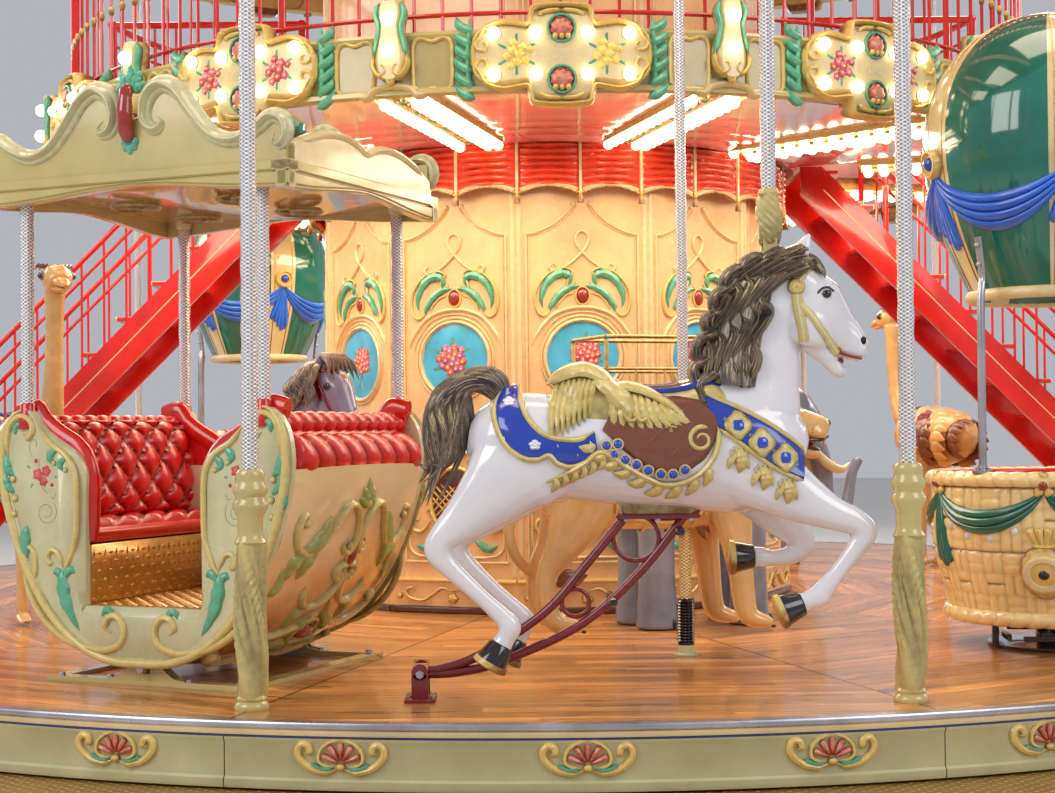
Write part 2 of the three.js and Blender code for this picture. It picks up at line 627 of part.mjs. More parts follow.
add('upper_railing_front', onDeck(upperRailing(0)), 'red');
add('upper_railing_back', onDeck(upperRailing(180)), 'red');
add('upper_drum', onDeck(drum(UPPER_FLOOR + SEAT, ROOF_BEAM - SEAT)), 'apricot');
add('roof_frame', onDeck(roofFrame()), 'red');
add('rounding_boards', onDeck(
  ring(POST_RING + 70 + SEAT, POST_RING + 125, ROOF_BEAM - 260, ROOF_BEAM_TOP, 2 * SECTORS),
), 'cream');
add('roof_cover', onDeck(roofCover()), 'red');
add('crown', onDeck(crown()), 'cream');
STAIR_ANGLES.forEach((angle, k) => ride(`stair_${k + 1}`, stair(), 'red', angle, 0));

HORSE_ANGLES.forEach((angle, k) => {
  ride(`horse_${k + 1}`, horseBody(), 'white', angle, HORSE_RING);
  ride(`swing_arm_${k + 1}`, swingArm(), 'crimson', angle, HORSE_RING);
  ride(`horse_rod_${k + 1}`, horseRod(), 'silver', angle, HORSE_RING);
  ride(`rod_guide_${k + 1}`, rodGuide(), 'steel', angle, HORSE_RING);
});

BOAT_ANGLES.forEach((angle, k) => {
  const boat = `boat_${k + 1}`;
  ride(`${boat}_hull`, boatHull(), 'cream', angle, BOAT_RING);
  ride(`${boat}_skid`, boatSkid(), 'cream', angle, BOAT_RING);
  ride(`${boat}_seat_left`, boatSeat(-1), 'red', angle, BOAT_RING);
  ride(`${boat}_seat_right`, boatSeat(1), 'red', angle, BOAT_RING);
  ride(`${boat}_canopy`, boatCanopy(), 'cream', angle, BOAT_RING);
});

BALLOON_ANGLES.forEach((angle, k) => {
  ride(`balloon_${k + 1}_basket`, balloonBasket(), 'tan', angle, BALLOON_RING);
  ride(`balloon_${k + 1}_envelope`, balloonEnvelope(), 'teal', angle, BALLOON_RING);
});

LION_ANGLES.forEach((angle, k) => ride(`lion_${k + 1}`, lion(), 'tan', angle, LION_RING));
ELEPHANT_ANGLES.forEach((angle, k) => ride(`elephant_${k + 1}`, elephant(), 'grey', angle, ELEPHANT_RING));
PONY_ANGLES.forEach((angle, k) => ride(`pony_${k + 1}`, pony(), 'grey', angle, PONY_RING));
OSTRICH_ANGLES.forEach((angle, k) => ride(`ostrich_${k + 1}`, ostrich(), 'tan', angle, OSTRICH_RING));

export default carousel;
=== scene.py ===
"""Dresses a two-storey fairground carousel. Metres, +Z up, the turning axis at x = y = 0.

An angle is counted in degrees from -Y towards +X. A plate's own axes are x to the right, y up and z out
of the plate, towards whoever looks at it. A ride's own axes are x forwards, y towards the drum and z up.
"""

import math

import bmesh
import bpy
import numpy as np
from bpy.props import FloatProperty, FloatVectorProperty, IntProperty, PointerProperty
from mathutils import Matrix, Vector


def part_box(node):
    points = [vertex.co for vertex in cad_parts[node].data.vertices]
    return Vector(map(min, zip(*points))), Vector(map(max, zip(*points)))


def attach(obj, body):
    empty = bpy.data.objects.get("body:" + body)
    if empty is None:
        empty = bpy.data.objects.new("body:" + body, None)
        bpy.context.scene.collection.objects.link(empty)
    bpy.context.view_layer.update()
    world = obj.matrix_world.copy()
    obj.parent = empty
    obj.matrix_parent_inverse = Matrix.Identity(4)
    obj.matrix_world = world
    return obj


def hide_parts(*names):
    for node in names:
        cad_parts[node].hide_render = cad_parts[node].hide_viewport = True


bl_info = {
    "name": "Fairground carousel",
    "version": (1, 0, 0),
    "blender": (4, 5, 0),
    "location": "View3D > Sidebar > Carousel",
    "description": "Carved and painted rides, lamps, deck, drum and roof of a two-storey carousel",
    "category": "Object",
}

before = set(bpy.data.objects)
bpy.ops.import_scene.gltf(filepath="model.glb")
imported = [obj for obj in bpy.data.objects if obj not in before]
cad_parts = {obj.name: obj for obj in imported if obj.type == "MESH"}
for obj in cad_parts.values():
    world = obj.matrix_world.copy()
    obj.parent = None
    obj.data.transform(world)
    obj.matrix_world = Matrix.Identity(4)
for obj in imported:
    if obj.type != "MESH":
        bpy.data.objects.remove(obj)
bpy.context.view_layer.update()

# Sizes read from the frame or shared by several pieces, in metres

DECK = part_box("rim_fascia")[1].z
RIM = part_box("rim_fascia")[1].y
STEP_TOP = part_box("step_ring")[1].z
SECTORS = 12
SECTOR = 360 / SECTORS
EVERY = np.arange(SECTORS) * SECTOR
POST_RING = 4.983
ROOF_BEAM = DECK + 5.3
DRUM_RADIUS = 1.529
DRUM_TURN = 6.5
DRUM_FACE = DRUM_RADIUS * math.cos(math.radians(SECTOR / 2))
CEILING = DECK + 2.79
UPPER_FLOOR = DECK + 2.99
MEZZANINE = 3.15
FASCIA = MEZZANINE + 0.05
STAIRS = (90, 270)
STAIR_HALF = 0.525
RING_SIDES = 192
HORSES = (0, 62, 180, 242)
HORSE_RING = 4.62
BOATS = (-24, 156)
BOAT_RING = 3.95
BALLOONS = (37.5, 217.5)
BALLOON_RING = 3.95
GORES = 5
GORE_TURN = -45.3
LIONS = (9.44, 189.44)
LION_RING = 3.408
ELEPHANTS = (20, 200)
ELEPHANT_RING = 2.19
PONIES = (-38, 142)
PONY_RING = 2.75
OSTRICHES = (-61, 119)
OSTRICH_RING = 3.42


def paint_colour(name, description, code):
    """A colour property, from a web colour such as d6cf9c turned to linear light."""
    values = [int(code[i:i + 2], 16) / 255 for i in (0, 2, 4)]
    linear = [v / 12.92 if v <= 0.04045 else ((v + 0.055) / 1.055) ** 2.4 for v in values]
    return FloatVectorProperty(name=name, description=description, subtype="COLOR", min=0, max=1,
                               default=linear)


class CarouselColours(bpy.types.PropertyGroup):
    """Paints of the carousel."""

    cream: paint_colour("Cream", "Rim, boats, canopies and boards", "d2cfa2")
    ivory: paint_colour("Ivory", "Lit plates and light ribs", "ead6a2")
    apricot: paint_colour("Apricot", "Drum panels and boat sides", "f3c990")
    # gilt and gilt_dark are the ends of the gilded mouldings' ramp: a painted highlight on their crowns and
    # painted shade at their feet
    gilt: paint_colour("Gilt", "Crowns of the gilded mouldings", "dcbe70")
    horse_gilt: paint_colour("Horse gilt", "Olive gold of the horses' carving", "cdbb78")
    gilt_dark: paint_colour("Dark gilt", "Feet of the gilded mouldings", "84571c")
    leaf: paint_colour("Leaf", "Carved leaves", "5aa888")
    red: paint_colour("Red", "Stairs, balusters and swags", "da1c12")
    swag: paint_colour("Swag", "Gathered cloth over the drum", "ea4426")
    crimson: paint_colour("Crimson", "Swing arms and floor brackets", "7c0f22")
    cushion: paint_colour("Cushion", "Tufted benches", "cf1410")
    gem_red: paint_colour("Red gem", "Shells and red stones", "a32a1b")
    gem_blue: paint_colour("Blue gem", "Blue stones and blankets", "1846c8")
    sky: paint_colour("Sky", "Round pictures on the drum", "4db4dc")
    steel: paint_colour("Steel", "Poles, struts and edge strip", "c8c8d2")
    rubber: paint_colour("Rubber", "Bellows, grips and pegs", "14141a")
    horse: paint_colour("Horse", "White gloss of the horses", "eeedf4")
    hair: paint_colour("Hair", "Manes and tails", "4a3a34")
    wood: paint_colour("Wood", "Deck planks", "dc9a58")
    brass: paint_colour("Brass", "Chequer plate", "c99a48")
    wicker: paint_colour("Wicker", "Baskets", "efd49c")
    balloon: paint_colour("Balloon", "Green gores and swags", "0b6e5e")
    ribbon: paint_colour("Ribbon", "Blue swags", "1f6fe8")
    lion: paint_colour("Lion", "Lions' coat", "e6b672")
    saddle: paint_colour("Saddle", "Brown saddle cloth", "7c4630")
    elephant: paint_colour("Elephant", "Elephants' skin", "7a8396")
    # ceiling is the red pink by the drum, where the cloth carries a painted reflection of the red swags
    ceiling: paint_colour("Ceiling", "Pink gloss cloth under the mezzanine", "d2697a")
    pony: paint_colour("Pony", "Grey horses' coat", "7f7a92")


class CarouselSizes(bpy.types.PropertyGroup):
    """Sizes that a user would change."""

    plank: FloatProperty(name="Plank", description="Width of a deck plank", default=0.11, unit="LENGTH")
    lozenge: FloatProperty(name="Lozenge", description="Pitch of the step's chequer", default=0.042,
                           unit="LENGTH")
    twist: FloatProperty(name="Twist", description="Pitch of the twisted poles", default=0.12,
                         unit="LENGTH")
    bulb: FloatProperty(name="Bulb", description="Radius of a lamp", default=0.028, unit="LENGTH")
    swags: IntProperty(name="Swags", description="Number of red swags round the drum", default=27, min=3)
    glow: FloatProperty(name="Glow", description="Strength of the lamps", default=5.0, min=0)


# Curves and surfaces


def unit(vectors):
    """Vectors scaled to length one."""
    return vectors / np.maximum(np.linalg.norm(vectors, axis=-1, keepdims=True), 1e-9)


def smooth_path(points, count):
    """A Catmull-Rom curve through the points, in count even steps. Further columns, such as a width, ride
    along."""
    points = np.asarray(points, float)
    ends = 2 * points[:1] - points[1:2], 2 * points[-1:] - points[-2:-1]
    padded = np.concatenate([ends[0], points, ends[1]])
    t = np.linspace(0, len(points) - 1, count)
    i = np.minimum(t.astype(int), len(points) - 2)
    f = (t - i)[:, None]
    a, b, c, d = padded[i], padded[i + 1], padded[i + 2], padded[i + 3]
    return (0.5 * (2 * b + (c - a) * f + (2 * a - 5 * b + 4 * c - d) * f ** 2 + (3 * b - a - 3 * c + d)
                   * f ** 3))


def round_path(x, y, radius, start, sweep, count=12, shrink=1.0):
    """Points on an arc or spiral about (x, y), in degrees from +x, whose radius ends at shrink times its
    start."""
    t = np.linspace(0, 1, count)
    turn = np.radians(start + sweep * t)
    reach = radius * (1 + (shrink - 1) * t)
    return np.stack([x + reach * np.cos(turn), y + reach * np.sin(turn)], -1)


def sided(sides):
    """Even angles round a circle, in radians."""
    return np.linspace(0, 2 * np.pi, sides, endpoint=False)


def keeled(sides):
    """Angles of the upper half of a section with that many sides, and of one keel point that a plate
    hides."""
    return np.append(np.linspace(0, np.pi, sides // 2 + 1), 1.5 * np.pi)


def tube(path, radius, sides=8, up=(0, 0, 1), flat=1.0, section=sided):
    """An ellipse carried along a path: radius wide across it and flat times that along up. Both ends
    close."""
    path = np.asarray(path, float)
    radius = np.broadcast_to(radius, path.shape[:-1])[..., None, None]
    flat = np.broadcast_to(flat, path.shape[:-1])[..., None, None]
    along = unit(np.gradient(path, axis=-2))
    side = unit(np.cross(along, np.asarray(up, float)))
    top = np.cross(side, along)
    turn = section(sides)[:, None]
    rings = path[..., None, :] + radius * (
        np.cos(turn) * side[..., None, :] + flat * np.sin(turn) * top[..., None, :])
    poles = np.broadcast_to(path[..., None, :], rings.shape)
    return np.concatenate([poles[..., :1, :, :], rings, poles[..., -1:, :, :]], axis=-3)


def about(reach, turn, height):
    """Points at that reach from the z axis, at angles in radians from -y towards +x, and at that height."""
    return np.stack(np.broadcast_arrays(reach * np.sin(turn), -reach * np.cos(turn), height), -1)


def lathe(profile, sides=24):
    """A profile of (radius, height) turned about z. It starts and ends on the axis to be closed."""
    profile = np.asarray(profile, float)
    return about(profile[:, :1], sided(sides), profile[:, 1:2])


def spindle(profile, sides):
    """A profile of (radius, distance) turned about y."""
    return lathe(profile, sides)[..., [0, 2, 1]]


def hoop(profile, sides=96):
    """A closed profile of (radius, height) turned about z, as a ring with a bore."""
    profile = np.asarray(profile, float)
    return lathe(np.concatenate([profile, profile[:1]]), sides)


def capped(rings):
    """The rings, closed at both ends by their middles."""
    ends = np.broadcast_to(rings.mean(1, keepdims=True), rings.shape)
    return np.concatenate([ends[:1], rings, ends[-1:]])


def section_board(x, low, high, back, front, bevel=0.004):
    """A board between the heights low(x) and high(x), from back to front, with a rounded front edge."""
    x, low, high = np.broadcast_arrays(np.asarray(x, float), low, high)
    bevel = np.minimum(bevel, np.abs(high - low) / 2.2)
    y = np.stack([low, low, low + bevel, high - bevel, high, high], -1)
    z = np.stack([back + 0 * x, front - bevel, front + 0 * x, front + 0 * x, front - bevel, back + 0 * x],
                 -1)
    rings = np.stack([np.broadcast_to(x[:, None], y.shape), y, z], -1)
    return capped(rings)


def slab(x0, x1, y0, y1, z0, z1, bevel=0.003):
    """A box with bevelled long edges, carried along z."""
    x = np.array([x0, x0 + bevel, x1 - bevel, x1, x1, x1 - bevel, x0 + bevel, x0])
    y = np.array([y0 + bevel, y0, y0, y0 + bevel, y1 - bevel, y1, y1, y1 - bevel])
    ring = np.stack([x, y], -1)
    middle = ring.mean(0)
    inset = middle + (ring - middle) * (1 - 2 * bevel / max(x1 - x0, y1 - y0))
    rings = [middle + 0 * ring, inset, ring, ring, inset, middle + 0 * ring]
    heights = [z0, z0, z0 + bevel, z1 - bevel, z1, z1]
    return np.stack([np.column_stack([r, np.full(8, h)]) for r, h in zip(rings, heights)])


def dome(x, y, wide, high, rise, lobes=0, depth=0.0, rings=5, sides=20, start=0.0):
    """A low dome on a plate: an oval of half sizes wide and high whose edge and ribs swell lobes times
    round."""
    t = np.linspace(0, np.pi / 2, rings)[:, None]
    turn = sided(sides)[None, :] + math.radians(start)
    swell = 1 + depth * np.cos(lobes * turn) * np.sin(t)
    px = x + wide * np.sin(t) * swell * np.cos(turn)
    py = y + high * np.sin(t) * swell * np.sin(turn)
    pz = rise * np.cos(t) * (1 + 1.5 * depth * np.cos(lobes * turn) * np.sin(t))
    top = np.stack([px, py, np.broadcast_to(pz, px.shape)], -1)
    foot = np.broadcast_to(np.array([x, y, 0.0]), top[-1:].shape)
    return np.concatenate([top, foot])


def ball(radius, sides=10, rings=7):
    """A sphere."""
    t = np.linspace(0, np.pi, rings)
    return lathe(np.stack([radius * np.sin(t), -radius * np.cos(t)], -1), sides)


def moulding(points, width, rise=None, count=32, sides=8, taper=True):
    """A raised moulding on a plate along a smooth curve through the points. A third column scales its
    width."""
    points = np.asarray(points, float)
    if points.shape[1] == 2:
        points = np.column_stack([points, np.ones(len(points))])
    path = smooth_path(points, count)
    t = np.linspace(0, 1, count)
    shape = np.clip(np.minimum(t, 1 - t) * 9, 0.35, 1) if taper else 1.0
    radius = width * np.abs(path[:, 2]) * shape
    flat = 1.0 if rise is None else rise / width
    return tube(np.column_stack([path[:, :2], np.zeros(count)]), radius, sides, flat=flat, section=keeled)


def leaf(points, width, rise=0.012, lobes=5, count=26, sides=8):
    """A carved leaf on a plate: a flat tube whose width swells with its lobes and ends in a point."""
    path = smooth_path(points, count)
    t = np.linspace(0, 1, count)
    radius = (width * np.sin(np.pi * np.clip(t, 0.02, 0.995) ** 0.8) ** 0.75
              * (1 + 0.22 * np.abs(np.sin(lobes * np.pi * t))))
    return tube(np.column_stack([path[:, :2], np.zeros(count)]), radius, sides, flat=rise / width,
                section=keeled)


def mirror(points):
    """The points and their mirror image in x, as two curves."""
    points = np.asarray(points, float)
    other = points.copy()
    other[:, 0] *= -1
    return points, other


# Places


def turned(grid, angles):
    """The grid turned about z. Several angles give several copies."""
    angles = np.radians(np.asarray(angles, float))
    grid = np.asarray(grid, float)
    shape = angles.shape + (1,) * (grid.ndim - 1)
    c, s = np.cos(angles).reshape(shape), np.sin(angles).reshape(shape)
    x, y, z = grid[..., 0], grid[..., 1], grid[..., 2]
    return np.stack([c * x - s * y, s * x + c * y, z + 0 * c], -1)


def around(angles):
    """Places copies turned about z."""
    return lambda grid: turned(grid, angles)


def moved(grid, x=0.0, y=0.0, z=0.0):
    """The grid shifted."""
    return grid + np.array([x, y, z])


def on_wall(distance, height=0.0, angles=0.0):
    """Places a plate on an upright wall at that distance from the axis, facing out."""
    def place(grid):
        """Plate x, y and z become along the wall, up and out."""
        world = np.stack([grid[..., 0], -distance - grid[..., 2], height + grid[..., 1]], -1)
        return turned(world, angles)
    return place


def on_round(radius, height=0.0, angles=0.0):
    """Wraps a plate round a cylinder about the axis, facing out."""
    def place(grid):
        """Plate x becomes arc length, y height and z radius."""
        turn = grid[..., 0] / radius
        reach = radius + grid[..., 2]
        world = about(reach, turn, height + grid[..., 1])
        return turned(world, angles)
    return place


def at_points(grid, points):
    """A copy of the grid at each point."""
    return np.asarray(points, float)[:, None, None, :] + grid


class Shape:
    """Surfaces that become one mesh. Each is a grid of points whose rows and columns are its two
    parameters."""

    def __init__(self, name):
        self.name = name
        self.finishes = []
        self.parts = []
        self.count = 0

    def add(self, grid, finish, place=None, wrap=True, closed=True, flip=False, crown=None):
        """Adds a grid of shape (copies..., rows, columns, 3). wrap joins its last column to its first.

        The attribute crown is each point's height above its plate, from 0 to 1, unless it is given.
        """
        grid = np.asarray(grid, float)
        rows, columns = grid.shape[-3:-1]
        if crown is None:
            heights = grid[..., 2]
            span = np.ptp(heights, axis=(-1, -2), keepdims=True)
            crown = (heights - heights.min(axis=(-1, -2), keepdims=True)) / np.maximum(span, 1e-6)
        if place:
            grid = place(grid)
        crown = np.broadcast_to(crown, grid.shape[:-1])
        batch = grid.reshape(-1, rows * columns, 3)
        r = np.arange(rows - 1)[:, None]
        c = np.arange(columns if wrap else columns - 1)[None, :]
        after = (c + 1) % columns
        quad = np.stack([r * columns + c, r * columns + after, (r + 1) * columns + after,
                         (r + 1) * columns + c], -1)
        u, v = r / (rows - 1) + 0 * c, c / c.size + 0 * r
        du, dv = 1 / (rows - 1), 1 / c.size
        uv = np.stack([np.stack([u, v], -1), np.stack([u, v + dv], -1),
                       np.stack([u + du, v + dv], -1), np.stack([u + du, v], -1)], -2)
        quad, uv = quad.reshape(-1, 4), uv.reshape(-1, 4, 2)
        if closed:
            p = batch[0] - batch[0].mean(0)
            volume = sum(np.einsum("ij,ij->i", p[quad[:, 0]], np.cross(p[quad[:, a]], p[quad[:, b]])).sum()
                         for a, b in ((1, 2), (2, 3)))
            flip = volume < 0
        if flip:
            quad, uv = quad[:, ::-1], uv[:, ::-1]
        faces = quad[None] + (np.arange(len(batch)) * rows * columns)[:, None, None] + self.count
        if finish not in self.finishes:
            self.finishes.append(finish)
        self.parts.append((batch.reshape(-1, 3), faces.reshape(-1, 4), np.tile(uv, (len(batch), 1, 1)),
                           crown.reshape(-1), self.finishes.index(finish)))
        self.count += batch.shape[0] * rows * columns
        return self

    def add_all(self, grids, finish, place=None, **how):
        """Adds several grids alike."""
        for grid in grids:
            self.add(grid, finish, place, **how)
        return self

    def pair(self, make, points, finish, place, *size, **how):
        """Adds what make gives for the points and for their mirror image in x."""
        for side in mirror(points):
            self.add(make(side, *size, **how), finish, place)
        return self

    def reflect(self):
        """Mirrors every surface in x and turns its faces round."""
        self.parts = [(p * (-1, 1, 1), f[:, ::-1], uv[:, ::-1], crown, index) for p, f, uv, crown,
                      index in self.parts]
        return self

    def mesh(self, sharp=42, merge=1e-5, most=200000):
        """Makes the mesh, joins its doubled points and thins it to at most that many triangles."""
        mesh = bpy.data.meshes.new(self.name)
        points = np.concatenate([p[0] for p in self.parts])
        faces = np.concatenate([p[1] for p in self.parts])
        uv = np.concatenate([p[2] for p in self.parts])
        material = np.concatenate([np.full(len(p[1]), p[4]) for p in self.parts])
        mesh.vertices.add(len(points))
        mesh.vertices.foreach_set("co", points.astype(np.float32).ravel())
        mesh.loops.add(faces.size)
        mesh.loops.foreach_set("vertex_index", faces.astype(np.int32).ravel())
        mesh.polygons.add(len(faces))
        mesh.polygons.foreach_set("loop_start", np.arange(0, faces.size, 4, dtype=np.int32))
        mesh.polygons.foreach_set("material_index", material.astype(np.int32))
        mesh.uv_layers.new(name="surface").data.foreach_set("uv", uv.astype(np.float32).ravel())
        crown = mesh.attributes.new("crown", "FLOAT", "POINT")
        crown.data.foreach_set("value", np.concatenate([p[3] for p in self.parts]).astype(np.float32))
        mesh.update(calc_edges=True)
        joined = bmesh.new()
        joined.from_mesh(mesh)
        bmesh.ops.remove_doubles(joined, verts=joined.verts, dist=merge)
        joined.to_mesh(mesh)
        joined.free()
        mesh = thinned(mesh, most)
        mesh.shade_smooth()
        mesh.set_sharp_from_angle(angle=math.radians(sharp))
        for finish in self.finishes:
            mesh.materials.append(look(finish))
        return mesh

    def build(self, body, *nodes, slot, **how):
        """Makes the piece, which rides on the body in place of the nodes."""
        return put(self.name, self.mesh(**how), body, *nodes, slot=slot)

    def fused(self, voxel):
        """One skin round all the surfaces: voxels of that size, smoothed five times."""
        piece = bpy.data.objects.new(self.name, self.mesh())
        bpy.context.scene.collection.objects.link(piece)
        skin = piece.modifiers.new("skin", "REMESH")
        skin.mode, skin.voxel_size, skin.use_smooth_shade = "VOXEL", voxel, True
        soft = piece.modifiers.new("soft", "SMOOTH")
        soft.factor, soft.iterations = 0.5, 5
        mesh = bpy.data.meshes.new_from_object(piece.evaluated_get(bpy.context.evaluated_depsgraph_get()))
        bpy.data.objects.remove(piece)
        mesh.materials.clear()
        mesh.materials.append(look(self.finishes[0]))
        mesh.shade_smooth()
        return mesh


def thinned(mesh, most):
    """The mesh with at most that many triangles, taken away where its surface is flattest."""
    mesh.calc_loop_triangles()
    share = most / len(mesh.loop_triangles)
    if share >= 1:
        return mesh
    piece = bpy.data.objects.new(mesh.name, mesh)
    bpy.context.scene.collection.objects.link(piece)
    piece.modifiers.new("thin", "DECIMATE").ratio = share
    depsgraph = bpy.context.evaluated_depsgraph_get()
    thin = bpy.data.meshes.new_from_object(piece.evaluated_get(depsgraph), preserve_all_data_layers=True,
                                           depsgraph=depsgraph)
    bpy.data.objects.remove(piece)
    return thin


def put(name, mesh, body, *nodes, slot):
    """An object of the mesh at the origin, which rides on the body in place of the nodes."""
    piece = bpy.data.objects.new(name, mesh)
    bpy.context.scene.collection.objects.link(piece)
    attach(piece, body)
    if nodes:
        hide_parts(*nodes)
    return piece


def put_rides(name, mesh, angles, distance, body, *nodes, slot):
    """Copies of a ride's mesh, one at each angle. A hash in a name stands for the copy's number."""
    pieces = []
    for k, angle in enumerate(angles, 1):
        copy = mesh.copy()
        copy.transform(Matrix.Rotation(math.radians(angle), 4, "Z")
                       @ Matrix.Translation((0, -distance, DECK)))
        number = [word.replace("#", str(k)) for word in (name, body, *nodes)]
        pieces.append(put(number[0], copy, number[1], *number[2:], slot=slot))
    return pieces


def limb(stations, count=36, sides=20):
    """A body of oval section along a smooth curve. Each station is [x, y, z, half width across, half
    height]."""
    path = smooth_path(stations, count)
    return tube(path[:, :3], path[:, 4], sides, up=(0, 1, 0), flat=path[:, 3] / path[:, 4])


def lock(points, width, flat=0.55, count=18, sides=8, up=(0, 1, 0)):
    """A lock of hair or a tendril: a tube along a smooth curve that swells, then runs out to a point."""
    path = smooth_path(points, count)
    t = np.linspace(0, 1, count)
    return tube(path, width * (0.35 + 0.65 * np.sin(np.pi * t ** 0.7)) * (1 - t ** 6) + 0.001, sides, up,
                flat)


def panel(first, second, rise, count=40, across=9, edge=0.12, sink=0.012):
    """A raised panel on a plate between two edge curves, with rounded edges and a foot sunk into the
    plate."""
    a, b = (smooth_path(np.asarray(e, float), count)[:, None, :2] for e in (first, second))
    t = np.linspace(0, 1, across)[None, :, None]
    flat = a * (1 - t) + b * t
    lift = rise * np.sqrt(np.clip(np.minimum(t, 1 - t) / edge, 0, 1)) + 0 * flat[..., :1]
    top = np.concatenate([flat, lift], -1)
    foot = np.concatenate([np.concatenate([b, a], 1), np.full((count, 2, 1), -sink)], -1)
    rings = np.concatenate([top, foot], 1)
    return capped(rings)


# Materials


class Nodes:
    """A material's node tree, with short calls for the nodes that these finishes use."""

    def __init__(self, name):
        self.material = bpy.data.materials.new(name)
        self.material.use_nodes = True
        self.tree = self.material.node_tree
        self.shader = self.tree.nodes["Principled BSDF"]

    def put(self, kind, inputs=(), out=0, **settings):
        """Adds a node, fills its inputs with values or with other nodes' outputs, and returns its
        output."""
        made = self.tree.nodes.new("ShaderNode" + kind)
        for key, value in settings.items():
            setattr(made, key, value)
        for key, value in dict(inputs).items():
            self.plug(made.inputs[key], value)
        return made.outputs[out]

    def plug(self, socket, value):
        """Links an output to a socket, or sets its value."""
        if isinstance(value, bpy.types.NodeSocket):
            self.tree.links.new(value, socket)
        elif socket.type == "RGBA" and len(value) == 3:
            socket.default_value = (*value, 1)
        else:
            socket.default_value = value

    def set(self, **sockets):
        """Fills the shader's own sockets, named with underscores."""
        for key, value in sockets.items():
            self.plug(self.shader.inputs[key.replace("_", " ")], value)
        return self.material

    def math(self, operation, a, b=0.0):
        """One math node."""
        return self.put("Math", {0: a, 1: b}, operation=operation)

    def times(self, a, b):
        """Product."""
        return self.math("MULTIPLY", a, b)

    def plus(self, a, b):
        """Sum."""
        return self.math("ADD", a, b)

    def minus(self, a, b):
        """Difference."""
        return self.math("SUBTRACT", a, b)

    def over(self, a, b):
        """Quotient."""
        return self.math("DIVIDE", a, b)

    def grey(self, value):
        """A grey of that value."""
        return self.put("CombineColor", {0: value, 1: value, 2: value})

    def split(self, source="Object"):
        """The x, y and z of the Object or UV coordinates."""
        vector = self.put("UVMap") if source == "UV" else self.put("TexCoord", out=source)
        return self.put("SeparateXYZ", {0: vector}).node.outputs

    def angle(self):
        """The angle about the turning axis, in radians from -y towards +x."""
        x, y, _ = self.split()
        return self.math("ARCTAN2", x, self.times(y, -1.0))

    def reach(self):
        """The distance from the turning axis."""
        x, y, _ = self.split()
        return self.math("SQRT", self.plus(self.times(x, x), self.times(y, y)))

    def mix(self, factor, a, b, blend="MIX"):
        """Mixes two colours."""
        return self.put("Mix", {0: factor, 6: a, 7: b}, out=2, data_type="RGBA", blend_type=blend)

    def noise(self, scale, detail=3.0):
        """Noise on Object coordinates."""
        place = self.put("TexCoord", out="Object")
        return self.put("TexNoise", {"Vector": place, "Scale": scale, "Detail": detail, "Roughness": 0.55})

    def ramp(self, factor, *stops):
        """A colour ramp through (place, colour) stops."""
        made = self.tree.nodes.new("ShaderNodeValToRGB")
        self.plug(made.inputs[0], factor)
        while len(made.color_ramp.elements) < len(stops):
            made.color_ramp.elements.new(0.5)
        for element, (place, colour) in zip(made.color_ramp.elements, stops):
            element.position = place
            element.color = (*colour[:3], 1)
        return made.outputs[0]

    def span(self, value, low, high, start=0.0, end=1.0):
        """Maps a value's range start to end onto low to high."""
        return self.put("MapRange", {0: value, 1: start, 2: end, 3: low, 4: high})

    def bump(self, height, strength, distance=0.01):
        """A bump normal from a height."""
        return self.put("Bump", {"Height": height, "Strength": strength, "Distance": distance})


def colour(name, shade=1.0):
    """A paint from the colour properties, darkened or lightened by shade."""
    return tuple(min(1.0, v * shade) for v in getattr(bpy.context.scene.carousel_colours, name))


def gloss_paint(name, base, low=0.82, high=1.08, roughness=0.25, coat=0.5, metallic=0.0, grain=0.05,
                scale=4.0):
    """Sprayed gloss on a moulded surface: cloudy colour, painted shade in its hollows, uneven sheen and a
    faint orange peel.
    """
    n = Nodes(name)
    cloud = n.noise(scale, 4.0)
    tone = n.ramp(cloud, (0.3, colour(base, low)), (0.7, colour(base, high)))
    # Painted shade: concave places, found by pointiness, darken the colour to as little as 0.45 of itself.
    hollow_shade = n.span(n.put("NewGeometry", out="Pointiness"), 0.45, 1.0, 0.42, 0.5)
    shade = n.mix(1.0, tone, n.grey(hollow_shade), "MULTIPLY")
    peel = n.bump(n.noise(160.0, 1.0), grain, 0.002)
    return n.set(Base_Color=shade, Roughness=n.span(n.noise(9.0), roughness * 0.75, roughness * 1.35),
                 Metallic=metallic, Coat_Weight=coat, Coat_Roughness=0.08, Normal=peel)


def crowned_paint(name, *stops, roughness=0.28, metallic=0.0, coat=0.4):
    """Shaded carving: colours run from a moulding's foot, in painted shade, to its crown, in a painted
    highlight, blurred by brush noise.
    """
    n = Nodes(name)
    crown = n.put("Attribute", out="Fac", attribute_name="crown")
    # The crown's height sets painted shade low on the carving and a painted highlight high on it; brush
    # noise blurs the ramp.
    brushed_shade = n.plus(crown, n.span(n.noise(30.0), -0.18, 0.18, 0.3, 0.7))
    tone = n.ramp(brushed_shade, *((place, colour(*paint) if isinstance(paint[0], str) else paint) for place,
                             paint in stops))
    grain = n.bump(n.noise(120.0, 2.0), 0.12, 0.002)
    return n.set(Base_Color=tone, Roughness=n.span(n.noise(14.0), roughness * 0.7, roughness * 1.4),
                 Metallic=metallic, Coat_Weight=coat, Coat_Roughness=0.1, Normal=grain)


